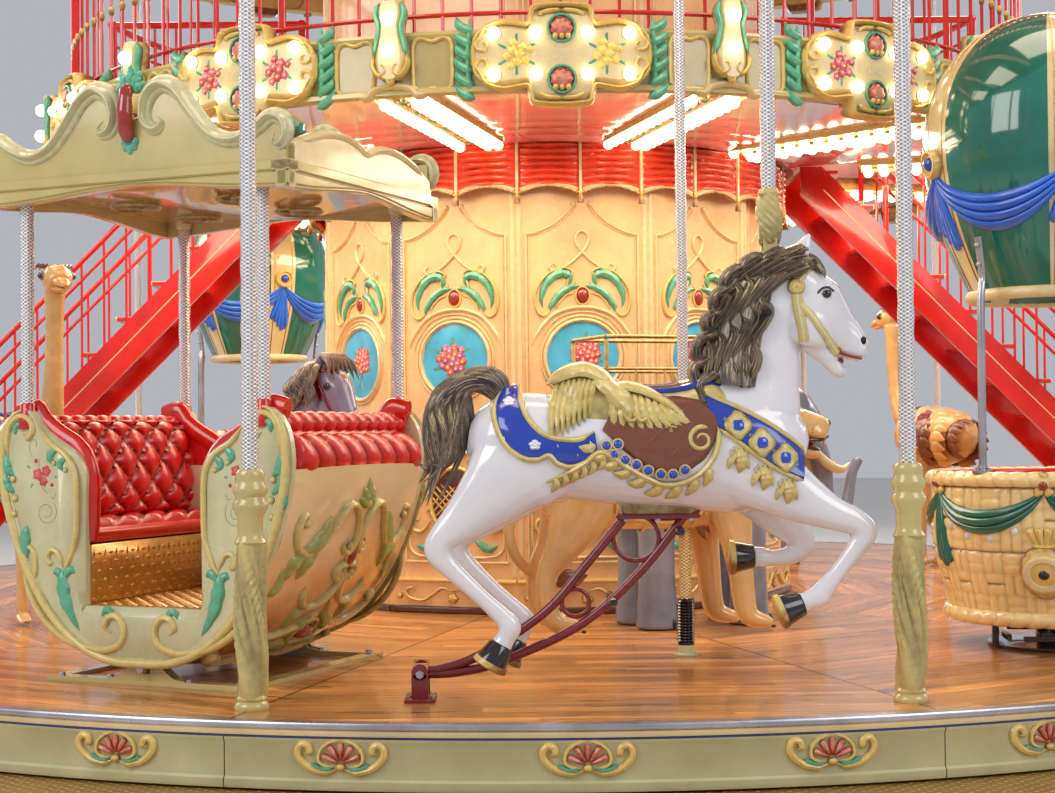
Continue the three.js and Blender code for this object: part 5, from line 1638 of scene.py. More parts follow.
def on_hull(side):
    """Wraps a plate round the hull: x runs along the boat's depth, y up the keel's curve from its middle,
    z out."""
    curve = smooth_path(KEEL, 120)
    arc = np.concatenate([[0], np.cumsum(np.linalg.norm(np.diff(curve, axis=0), axis=1))])
    along = unit(np.gradient(curve, axis=0))

    def place(grid):
        """The point on the keel at that arc, swelled by the bulge, then moved along the normal."""
        x, z, dx, dz = (np.interp(grid[..., 1], arc, column) for column in (*curve.T, *along.T))
        lift = grid[..., 2] + boat_swell(grid[..., 0])
        return np.stack([side * (x + dz * lift), side * grid[..., 0], z - dx * lift], -1)
    return place


def boat_hull_mesh():
    """The shell is a band from keel curve to well edge, carried along the depth and swelled in its
    middle."""
    shape = Shape("boat_shell")
    rows = 91
    outer = smooth_path(whole(KEEL[::-1]), rows)
    knots = np.array([0, 0.1, 0.2, 0.3, 0.7, 0.8, 0.9, 1])
    x = np.array([-0.66, -0.66, -0.306, -0.306, 0.306, 0.306, 0.66, 0.66])
    z = np.array([BOAT_RAIL, BOAT_SEAT - 0.004, BOAT_SEAT - 0.004, BOAT_SILL - 0.004])
    t = np.linspace(0, 1, rows)
    well = np.stack([np.interp(t, knots, x), np.interp(t, knots, np.concatenate([z, z[::-1]]))], -1)
    depth = np.linspace(-BOAT_INSIDE, BOAT_INSIDE, 15)
    swell = boat_swell(depth)
    away = unit(outer - np.array([0, 0.75]))
    skin = outer[:, None] + away[:, None] * swell[None, :, None]
    skin = np.stack([skin[..., 0], depth + 0 * skin[..., 0], skin[..., 1]], -1)
    liner = np.stack([np.repeat(well[:, :1], 2, 1), np.array([BOAT_INSIDE, -BOAT_INSIDE]) + 0 * well[:, :1],
                      np.repeat(well[:, 1:], 2, 1)], -1)
    band = np.concatenate([skin, liner], 1)
    shape.add(capped(band), "boat_side")
    z = np.linspace(BOAT_SILL - 0.01, BOAT_RAIL - 0.005, 14)
    half = np.minimum(0.66, np.interp(z, *np.array(KEEL).T[::-1]) - 0.015)
    wall = np.stack([np.stack([side * half, y + 0 * z, z], -1) for side,
                     y in ((-1, 0.5), (1, 0.5), (1, 0.6), (-1, 0.6))], 1)
    shape.add(capped(wall), "boat_side")

    faces = on_wall(BOAT_FACE, 0, (0, 180))
    edge, door = smooth_path(whole(FACE_EDGE), 121), smooth_path(whole(DOOR_EDGE), 121)
    shape.add(panel(edge, door, 0.026, 121, 9, 0.06, 0.03), "cream_gloss", faces)
    raised = on_wall(BOAT_FACE + 0.024, 0, (0, 180))
    for share, width, rise, finish in ((0.035, 0.021, 0.024, "pale_gilt"),
                                       (0.1, 0.006, 0.006, "olive_carving")):
        line = edge * (1 - share) + door * share
        shape.add_all([moulding(line, width, rise, 140, 10)], finish, raised)
    boat_face_carving(shape, raised)
    for side in (-1, 1):
        boat_side_carving(shape, on_hull(side))
    boat_liner(shape)
    shape.add(tube([(0, y, 0.075) for y in (-0.63, -0.6, 0.6, 0.63)], [0.018, 0.022, 0.022, 0.018], 16),
              "steel")
    return shape.mesh(most=54000)


def boat_face_carving(shape, place):
    """Scrolls, trumpet leaves, small leaves, roses and fine dark spirals on one face."""
    sill = [(0.605, 0.53), (0.6, 0.44), (0.53, 0.3), (0.41, 0.2), (0.28, 0.155), (0.17, 0.15),
            (0.095, 0.185), (0.08, 0.25), (0.115, 0.295), (0.16, 0.29), (0.178, 0.25), (0.15, 0.225)]
    door = [(0.53, 1.12), (0.47, 1.045), (0.38, 0.985), (0.333, 0.9), (0.328, 0.76), (0.335, 0.63),
            (0.37, 0.53), (0.41, 0.47)]
    hook = [(0.4, 0.5), (0.425, 0.56), (0.46, 0.575), (0.483, 0.55), (0.475, 0.52), (0.452, 0.52)]
    corner = [(0.56, 0.42), (0.548, 0.5), (0.556, 0.56), (0.582, 0.585), (0.607, 0.567), (0.603, 0.535),
              (0.58, 0.53)]
    ear = [(0.7, 0.98), (0.705, 1.06), (0.68, 1.13), (0.63, 1.162), (0.578, 1.145), (0.562, 1.1),
           (0.585, 1.068), (0.615, 1.08)]
    for path, width in ((sill, 0.017), (door, 0.014), (hook, 0.014), (corner, 0.013), (ear, 0.015)):
        shape.pair(moulding, path, "pale_gilt", place, width, width * 1.25, 44, 10)
    leaves = (([(0.405, 0.49), (0.4, 0.42), (0.375, 0.33), (0.31, 0.22)], 0.03),
              ([(0.4, 0.45), (0.43, 0.48), (0.455, 0.47)], 0.018),
              ([(0.4, 0.45), (0.365, 0.49), (0.335, 0.475)], 0.018),
              ([(0.597, 0.68), (0.605, 0.6), (0.6, 0.5)], 0.026),
              ([(0.715, 1.0), (0.7, 0.93), (0.665, 0.9)], 0.022),
              ([(0.72, 0.93), (0.705, 0.86), (0.66, 0.82)], 0.022),
              ([(0.722, 0.85), (0.712, 0.78), (0.67, 0.745)], 0.02),
              ([(0.43, 1.02), (0.47, 0.985), (0.45, 0.945)], 0.018),
              ([(0.38, 0.985), (0.415, 0.95), (0.39, 0.915)], 0.016),
              ([(0.13, 0.3), (0.17, 0.325), (0.2, 0.29)], 0.015),
              ([(0.66, 1.08), (0.655, 1.12), (0.61, 1.13)], 0.014))
    for points, width in leaves:
        shape.pair(leaf, points, "gilded_leaf", place, width, width * 0.8, 4)
    for x, y, size in ((0.67, 0.885, 0.017), (0.66, 0.8, 0.017), (0.665, 0.73, 0.017),
                       (0.385, 0.925, 0.013), (0.447, 0.955, 0.013)):
        shape.add_all([dome(s * x, y, size, size, size) for s in (-1, 1)], "pale_gilt", place)
    for side in (-1, 1):
        for x, y, size in ((0.49, 0.92, 0.028), (0.535, 0.905, 0.03), (0.505, 0.875, 0.026),
                           (0.545, 0.965, 0.012), (0.46, 0.86, 0.011)):
            for step, (reach, start) in enumerate(((1.0, 0), (0.72, 25), (0.42, 50))):
                bloom = dome(side * x, y, size * reach, size * reach, 0.004 + 0.003 * step, 5, 0.16, 4, 20,
                             start)
                shape.add(bloom, "petal_red", place)
        stalks = ([(0.52, 0.99), (0.53, 0.94), (0.52, 0.86), (0.47, 0.81)],
                  [(0.47, 0.81), (0.45, 0.8), (0.435, 0.83)],
                  [(0.545, 0.97), (0.575, 1.0), (0.58, 1.04), (0.555, 1.06), (0.54, 1.035), (0.556, 1.02)])
        spiral = round_path(0.49, 0.74, 0.062, 80, 640, 60, 0.22)
        for points in (*stalks, spiral):
            shape.add(moulding(np.asarray(points) * (side, 1), 0.0028, 0.003, 48, 5), "navy_line", place)
        for x, y, dx, dy in ((0.47, 0.955, -0.03, 0.02), (0.56, 0.87, 0.02, -0.03),
                             (0.45, 0.895, -0.025, 0.0), (0.575, 0.93, 0.025, 0.02)):
            shape.add(leaf([(side * x, y), (side * (x + dx / 2), y + dy / 2), (side * (x + dx), y + dy)],
                           0.008, 0.003, 2, 10, 6), "fine_green", place)


def boat_side_carving(shape, place):
    """Arched scrolls about a fan of leaves and two red stones, from the rail down to the keel."""
    scrolls = ([(0.07, 0.92), (0.095, 0.885), (0.06, 0.86), (0.025, 0.89), (0.02, 0.96), (0.06, 1.05),
                (0.13, 1.08), (0.19, 1.04), (0.235, 0.96), (0.29, 0.895), (0.37, 0.865), (0.45, 0.9),
                (0.485, 0.97), (0.475, 1.03), (0.44, 1.035), (0.44, 0.995)],
                [(0.0, 0.79), (0.05, 0.8), (0.085, 0.77), (0.06, 0.735), (0.03, 0.755)],
                [(0.01, 0.79), (0.02, 0.7), (0.08, 0.62), (0.17, 0.6), (0.245, 0.64), (0.26, 0.7)],
                [(0.015, 0.62), (0.08, 0.53), (0.2, 0.46), (0.34, 0.43), (0.46, 0.46), (0.51, 0.53),
                 (0.49, 0.58), (0.455, 0.56)], [(0.0, 0.2), (0.1, 0.25), (0.24, 0.25), (0.38, 0.2),
                                                (0.47, 0.22), (0.49, 0.27), (0.455, 0.285)])
    for points in scrolls:
        shape.pair(moulding, points, "pale_gilt", place, 0.017, 0.026, 60, 10)
    leaves = (([(0.26, 1.03), (0.29, 0.95), (0.36, 0.88), (0.45, 0.87)], 0.034),
              ([(0.31, 0.9), (0.35, 0.83), (0.36, 0.74)], 0.034),
              ([(0.36, 0.88), (0.43, 0.82), (0.45, 0.73)], 0.03),
              ([(0.16, 0.6), (0.22, 0.56), (0.23, 0.47)], 0.026),
              ([(0.5, 0.66), (0.47, 0.72), (0.48, 0.8)], 0.022),
              ([(0.52, 0.6), (0.5, 0.55), (0.515, 0.48)], 0.018),
              ([(0.03, 0.55), (0.12, 0.49), (0.2, 0.4)], 0.03),
              ([(0.03, 0.33), (0.13, 0.36), (0.24, 0.33)], 0.028))
    for points, width in leaves:
        shape.pair(leaf, points, "olive_leaf", place, width, width * 0.9, 3, 36)
    for turn, reach in ((-66, 0.075), (-34, 0.09), (0, 0.115), (34, 0.09), (66, 0.075)):
        dx, dy = reach * math.sin(math.radians(turn)), reach * math.cos(math.radians(turn))
        shape.add(leaf([(0.1 * dx, 1.075), (0.5 * dx, 1.075 + 0.5 * dy), (dx, 1.075 + dy)], 0.02, 0.022, 3),
                  "olive_leaf", place)
    shape.add(dome(0, 1.08, 0.03, 0.024, 0.026), "pale_gilt", place)
    for y, wide, high in ((0.84, 0.03, 0.045), (0.43, 0.07, 0.04)):
        shape.add(dome(0, y, wide, high, 0.03, sides=24), "gem_red", place)
        shape.add(moulding(round_path(0, y, wide * 1.15, 0, 360, 30), 0.008, 0.012, 40, 8, taper=False),
                  "pale_gilt", place)
    for x, y in ((0.44, 1.0), (0.055, 0.76), (0.055, 0.89), (0.465, 0.565), (0.46, 0.275)):
        shape.add_all([dome(s * x, y, 0.02, 0.02, 0.026) for s in (-1, 1)], "pale_gilt", place)


def boat_liner(shape):
    """Chequer plates with small raised lozenges on the floor and on both risers."""
    shape.add(slab(-0.3, 0.3, -0.57, 0.5, BOAT_SILL - 0.004, BOAT_SILL + 0.004), "brass_gloss")
    u, v = np.meshgrid(np.arange(-0.54, 0.5, 0.04), np.arange(0.02, 0.58, 0.04))
    turn = (np.add(*np.indices(u.shape)) % 2).ravel()
    lozenge = np.array([[(0, 0, 0)] * 4, [(0.02, 0, 0), (0, 0.009, 0), (-0.02, 0, 0), (0, -0.009, 0)],
                        [(0.009, 0, 0.0035), (0, 0.004, 0.0035), (-0.009, 0, 0.0035), (0, -0.004, 0.0035)],
                        [(0, 0, 0.0035)] * 4], float)
    both = lozenge, lozenge[..., [1, 0, 2]] * (1, -1, 1)
    floor = np.column_stack([v.ravel() - 0.3, u.ravel(), np.full(u.size, BOAT_SILL + 0.004)])
    wall = np.column_stack([u.ravel(), v.ravel() + BOAT_SILL, 0 * u.ravel()])
    for kind in (0, 1):
        shape.add(at_points(both[kind], floor[turn == kind]), "brass_gloss")
        low = wall[(turn == kind) & (wall[:, 1] < BOAT_SEAT - 0.03)]
        for side in (-1, 1):
            flat = at_points(both[kind], low)
            shape.add(np.stack([side * (0.302 - flat[..., 2]), flat[..., 0], flat[..., 1]], -1),
                      "brass_gloss")
    for side in (-1, 1):
        riser = slab(-0.56, 0.5, BOAT_SILL, BOAT_SEAT - 0.004, 0, 0.004)
        shape.add(np.stack([side * (0.306 - riser[..., 2]), riser[..., 0], riser[..., 1]], -1),
                  "brass_gloss")


def tufts(u, v, across, high):
    """The height of diamond tufting, from 0 at the buttons and folds to 1 between them."""
    a, b = u * across, v * high
    return (np.abs(np.sin(np.pi * (a + b) / 2)) * np.abs(np.sin(np.pi * (a - b) / 2))) ** 0.32


def boat_bench_mesh(side):
    """A bench: tufted back and seat, a twisted bolster outside, a lobed roll on top and thick padded
    edges."""
    shape = Shape("bench")
    rows, columns = 91, 73
    u, v = np.meshgrid(np.linspace(0, 1, rows), np.linspace(0, 1, columns), indexing="ij")
    y = (u - 0.5) * 1.1
    edge = np.clip(np.minimum(np.minimum(u, 1 - u) / 0.03, np.minimum(v, 1 - v) / 0.05), 0, 1) ** 0.5
    line = smooth_path([(0.55, 0.69), (0.535, 0.8), (0.55, 0.95), (0.585, 1.08), (0.62, 1.14)], columns)
    puff = edge * (0.012 + 0.045 * tufts(u, v, 12, 6))
    face = np.stack([line[None, :, 0] - puff * 0.96, y, line[None, :, 1] + puff * 0.25], -1)
    rear = np.stack([np.full(rows, 0.655), (np.linspace(0, 1, rows) - 0.5) * 1.1, np.full(rows, 0.95)],
                    -1)[:, None]
    low = rear + np.array([0, 0, -0.25])
    loop = np.concatenate([face, rear + np.array([0.0, 0, 0.16]), rear, low], 1)
    shape.add(capped(loop), "leather")
    line = np.stack([np.linspace(0.315, 0.56, columns), np.full(columns, 0.668)], -1)
    puff = edge * (0.008 + 0.034 * tufts(u, v, 12, 4))
    face = np.stack([line[None, :, 0] + 0 * puff, y, line[None, :, 1] + puff], -1)
    front = np.stack([np.full(rows, 0.312), (np.linspace(0, 1, rows) - 0.5) * 1.1, np.full(rows, 0.604)],
                     -1)[:, None]
    loop = np.concatenate([face, front + np.array([0.25, 0, 0]), front], 1)
    shape.add(capped(loop), "leather")
    shape.add(tube([(0.325, s, 0.64) for s in np.linspace(-0.56, 0.56, 12)], 0.03, 14), "red_gloss")
    rolls = (((0.705, 0.99), 0.062, 0.085, 8, 0.7, -0.55), ((0.632, 1.125), 0.042, 0.045, 12, 0.3, -0.57))
    for (x, z), wide, high, lobes, skew, start in rolls:
        t = np.linspace(0, 1, 145)[:, None]
        turn = sided(26)[None, :]
        lobe = np.abs(np.sin(np.pi * (lobes * t + skew * np.sin(turn) * 0.35))) ** 0.42
        close = np.sqrt(np.clip(np.minimum(t, 1 - t) / 0.02, 0, 1))
        reach = (0.62 + 0.38 * lobe) * close
        px = x + wide * reach * np.cos(turn) - 0.35 * high * reach * np.sin(turn)
        pz = z + high * reach * np.sin(turn) + 0.2 * wide * reach * np.cos(turn)
        shape.add(np.stack([px, start + 2 * abs(start) * t + 0 * turn, pz], -1), "leather")
    pad = [(0.3, 0.615), (0.288, 0.72), (0.285, 0.84), (0.3, 0.94), (0.355, 1.015), (0.45, 1.07),
           (0.53, 1.125), (0.58, 1.185), (0.66, 1.17)]
    for end in (-0.545, 0.545):
        curve = smooth_path(pad, 60)
        path = np.column_stack([curve[:, 0] + 0.03, np.full(60, end), curve[:, 1] + 0.005])
        shape.add(tube(path, 0.05, 18, up=(0, 1, 0), flat=0.72), "red_gloss")
        wing = panel(np.asarray(pad) + (0.04, 0), [(0.4, 0.62), (0.5, 0.66), (0.6, 0.7), (0.65, 0.78),
                                                   (0.66, 0.86), (0.665, 0.94), (0.67, 1.0), (0.675, 1.08),
                                                   (0.68, 1.15)], 0.016, 50, 9, 0.2, 0.016)
        shape.add(np.stack([wing[..., 0], end + wing[..., 2], wing[..., 1]], -1), "leather")
    lattice = [(a, b) for a in range(1, 12) for b in range(1, 6) if (a + b) % 2 == 0]
    a, b = np.array(lattice).T
    spine = smooth_path([(0.55, 0.69), (0.535, 0.8), (0.55, 0.95), (0.585, 1.08), (0.62, 1.14)], 61)
    at = np.stack([spine[b * 10, 0] - 0.012, (a / 12 - 0.5) * 1.1, spine[b * 10, 1]], -1)
    shape.add(at_points(ball(0.011, 8, 5), at), "pale_gilt")
    if side < 0:
        shape.reflect()
    return shape.mesh(sharp=60, most=20000)


def boat_canopy_mesh():
    """A frame with arched lower edges, a carved pediment on both faces, waved crests on its sides and four
    posts."""
    shape = Shape("boat_canopy")
    at = np.array(SOCKETS)
    post = twisted_pole(0.0285, 1.2, 2.14, 12)
    shape.add(at_points(post, at), "rope_silver")
    socket = lathe([(0, 1.1), (0.04, 1.105), (0.042, 1.16), (0.034, 1.175), (0.034, 1.215), (0.03, 1.22),
                    (0, 1.22)], 20)
    cap = lathe([(0, 2.1), (0.029, 2.1), (0.029, 2.115), (0.036, 2.12), (0.042, 2.135), (0.042, 2.17),
                 (0, 2.17)], 20)
    shape.add(at_points(socket, at), "red_gloss").add(at_points(cap, at), "cream_gloss")
    for half, distance, angles in ((0.79, 0.69, (0, 180)), (0.69, 0.79, (90, 270))):
        x = np.linspace(-half, half, 61)
        arch = 2.085 + 0.05 * np.cos(np.pi * x / half / 2) ** 2 * (1 - 0.35 * np.abs(x / half))
        for low, high, back, front in ((arch, 2.165, -0.06, -0.012), (arch + 0.012, 2.15, -0.05, -0.003),
                                       (2.155, 2.2, -0.08, 0.0)):
            shape.add(section_board(x, low, high, back, front, 0.006), "olive_plain",
                      on_wall(distance, 0, angles))
    shape.add(slab(-0.75, 0.75, -0.65, 0.65, 2.17, 2.2, 0.006), "cream_gloss")
    grid = np.linspace(-1, 1, 31)
    u, v = np.meshgrid(grid, grid, indexing="ij")
    bow = 2.16 - 0.05 * (1 - np.abs(u)) ** 0.8 * (1 - np.abs(v)) ** 0.2 + 0.03 * (1 - v ** 2) * np.abs(u)
    shape.add(np.stack([0.74 * u, 0.64 * v, bow], -1), "tan_gloss", wrap=False, closed=False, flip=True)
    for side in (-1, 1):
        for y in (-0.25, 0.25):
            knot = moulding(round_path(side * 0.3, y, 0.13, 90 * side, 500, 50, 0.25), 0.014, 0.016, 60, 8)
            shape.add(np.stack([knot[..., 0], -knot[..., 1], 2.115 - knot[..., 2]], -1), "pale_gilt")

    faces = on_wall(0.665, 0, (0, 180))
    x = np.linspace(-0.76, 0.76, 153)
    crest = smooth_path([(0.76, 2.36), (0.66, 2.345), (0.55, 2.28), (0.43, 2.3), (0.33, 2.38), (0.26, 2.48),
                         (0.19, 2.53), (0.1, 2.5), (0.05, 2.44), (0, 2.42)], 80)
    high = np.interp(np.abs(x), crest[::-1, 0], crest[::-1, 1])
    shape.add(section_board(x, 2.19, high, -0.03, 0.008, 0.006), "olive_plain", faces)
    scroll = [(0.14, 2.425, 0.7), (0.165, 2.4, 0.8), (0.14, 2.37, 0.9), (0.098, 2.385, 1),
              (0.075, 2.44, 1.1), (0.1, 2.52, 1.25), (0.17, 2.56, 1.3), (0.25, 2.52, 1.2),
              (0.33, 2.42, 1.15), (0.42, 2.325, 1.1), (0.53, 2.295, 1.1), (0.63, 2.335, 1.1),
              (0.7, 2.38, 1.1), (0.76, 2.36, 1), (0.775, 2.3, 0.9), (0.745, 2.26, 0.8), (0.71, 2.275, 0.7),
              (0.715, 2.31, 0.6)]
    for width, rise, finish in ((0.034, 0.03, "olive_carving"), (0.021, 0.043, "cream_gloss"),
                                (0.008, 0.05, "olive_carving")):
        shape.pair(moulding, scroll, finish, faces, width, rise, 90, 10)
    shape.add(tube([(0, 2.33, 0.02), (0, 2.36, 0.035), (0, 2.45, 0.045), (0, 2.54, 0.035), (0, 2.56, 0.02)],
                   [0.024, 0.032, 0.034, 0.03, 0.02], 16), "gem_red", faces)
    for turn, reach in ((-62, 0.09), (-32, 0.11), (0, 0.125), (32, 0.11), (62, 0.09)):
        for base, sign in ((2.535, 1), (2.34, -0.6)):
            dx = reach * math.sin(math.radians(turn)) * abs(sign)
            dy = reach * math.cos(math.radians(turn)) * sign
            shape.add(leaf([(0.2 * dx, base), (0.6 * dx, base + 0.6 * dy), (dx, base + dy)], 0.02, 0.024,
                           3), "acanthus", faces)
    x = np.linspace(-0.62, 0.62, 100)
    wave = (2.27 + 0.075 * np.abs(np.sin(np.pi * (x + 0.62) / 0.62)) ** 0.7
            + 0.05 * np.cos(np.pi * x / 1.24) ** 2)
    shape.add(section_board(x, 2.19, wave, -0.02, 0.015, 0.01), "ivory_gloss", on_wall(0.765, 0, (90, 270)))
    ridge = np.column_stack([x[::3], wave[::3] - 0.02])
    shape.add(moulding(ridge, 0.02, 0.03, 100, 8), "ivory_gloss", on_wall(0.765, 0, (90, 270)))
    return shape.mesh(most=28000)


def boat_skid_mesh():
    """A flat frame with two pivot brackets, whose cheeks fall away from the hub."""
    shape = Shape("boat_skid")
    for y in (-0.56, 0.56):
        shape.add(slab(-0.52, 0.52, y - 0.035, y + 0.035, 0.0003, 0.022), "olive_plain")
        for x in (-0.46, -0.2, 0.2, 0.46):
            shape.add(moved(lathe([(0, 0.02), (0.014, 0.02), (0.014, 0.03), (0.01, 0.034), (0, 0.034)], 6),
                            x, y), "steel")
        for cheek in (-1, 1):
            x = np.array([0.0245, 0.045, 0.075, 0.14, 0.2])
            high = np.array([0.09, 0.092, 0.085, 0.035, 0.024])
            ring = section_board(x, 0.01, high, -0.006, 0.006, 0.003)
            for side in (-0.022, 0.022):
                shape.add(np.stack([cheek * ring[..., 0], y + side + ring[..., 2], ring[..., 1]], -1),
                          "olive_plain")
        shape.add(slab(-0.024, 0.024, y - 0.03, y + 0.03, 0.01, 0.052), "olive_plain")
    for x in (-0.485, 0.485):
        shape.add(slab(x - 0.035, x + 0.035, -0.56, 0.56, 0.0005, 0.02), "olive_plain")
    return shape.mesh()


class CAROUSEL_OT_boats(bpy.types.Operator):
    """Two rocking boats with carved faces, tufted benches, canopies and floor frames"""

    bl_idname = "carousel.boats"
    bl_label = "Boats"

    def execute(self, context):
        """Each mesh is made once in the ride's own axes and copied to both boats."""
        where = (BOATS, BOAT_RING)
        put_rides("boat_#_shell", boat_hull_mesh(), *where, "boat_#", "boat_#_hull", slot="cream_gloss")
        put_rides("boat_#_roof", boat_canopy_mesh(), *where, "boat_#", "boat_#_canopy", slot="cream_gloss")
        put_rides("boat_#_frame", boat_skid_mesh(), *where, "turntable", "boat_#_skid", slot="cream_gloss")
        for side, word in ((-1, "left"), (1, "right")):
            benches = put_rides(f"boat_#_bench_{word}", boat_bench_mesh(side), *where, "boat_#",
                                f"boat_#_seat_{word}", slot="upholstery")
        return {"FINISHED"}


# Balloon baskets, with a doorway that looks out of the ride

BASKET_DOOR = 25
ENVELOPE = [(0, 3.1), (0.12, 3.09), (0.26, 3.045), (0.4, 2.95), (0.51, 2.82), (0.58, 2.67), (0.606, 2.5),
            (0.6, 2.35), (0.575, 2.2), (0.53, 2.05), (0.47, 1.9), (0.405, 1.76), (0.385, 1.72)]


def swag(start, end, z, sag, drop, reach, lift=0.035, folds=3, rows=40):
    """A draped cloth between two angles on a round body: its edges dip as parabolas and its folds are
    ridges between them."""
    t = np.linspace(0, 1, rows)[:, None]
    s = np.linspace(0, 1, 8 * folds + 1)[None, :]
    dip = 4 * t * (1 - t)
    top, low = z - sag * dip ** 0.85, z - 0.025 - (sag + drop) * dip ** 0.75
    height = top * (1 - s) + low * s
    swell = ((0.4 + 0.6 * dip) * (0.3 + 0.7 * np.sqrt(np.sin(np.pi * np.clip(s, 0, 1))))
             * (0.6 + 0.4 * np.abs(np.sin(np.pi * folds * s)) ** 0.6))
    height = np.concatenate([height, height[:, ::-8]], 1)
    swell = np.concatenate([lift * swell, np.full((rows, height.shape[1] - s.size), -0.012)], 1)
    turn = np.radians(start + (end - start) * t)
    radius = reach(height) + swell
    loop = about(radius, turn, height)
    return capped(loop)


def hanging_end(length, lean=0.0):
    """The end of a swag: a folded strip that widens downwards, as three mouldings side by side on a
    plate."""
    return [moulding([(x * 0.4, 0, 0.45), (x + lean * 0.4, -0.45 * length, 0.9),
                      (x * 1.5 + lean, -0.95 * length + abs(x), 1.15),
                      (x * 1.5 + lean, -length + abs(x), 0.8)], 0.019, 0.024, 26, 10, taper=False)
                      for x in (-0.024, 0.0, 0.024)]


def radius_by_height(profile):
    """A function that reads a turned body's radius from its (radius, height) points."""
    profile = np.asarray(profile, float)
    order = np.argsort(profile[:, 1])
    return lambda height: np.interp(height, profile[order, 1], profile[order, 0])


def on_body(profile, angle, height):
    """Lays a plate on a turned body of (radius, height) points, at an angle and a height."""
    body = radius_by_height(profile)

    def place(grid):
        """The radius follows the height; x becomes arc length at the plate's own height."""
        z = height + grid[..., 1]
        turn = math.radians(angle) + grid[..., 0] / body(height)
        reach = body(z) + grid[..., 2]
        return about(reach, turn, z)
    return place


def plait(u, v, blocks, rows):
    """Basket weave from 0 to 1: square blocks, two strips to a block, that turn by a right angle from one
    to the next."""
    a, b = u * blocks, v * rows
    odd = (np.floor(a) + np.floor(b)) % 2
    x, y = a % 1, b % 1
    across = np.where(odd > 0, x, y)
    along = np.where(odd > 0, y, x)
    strip = np.clip(np.sin(np.pi * ((across * 2) % 1)), 0, 1) ** 0.3
    return strip * np.clip(np.sin(np.pi * along), 0, 1) ** 0.22


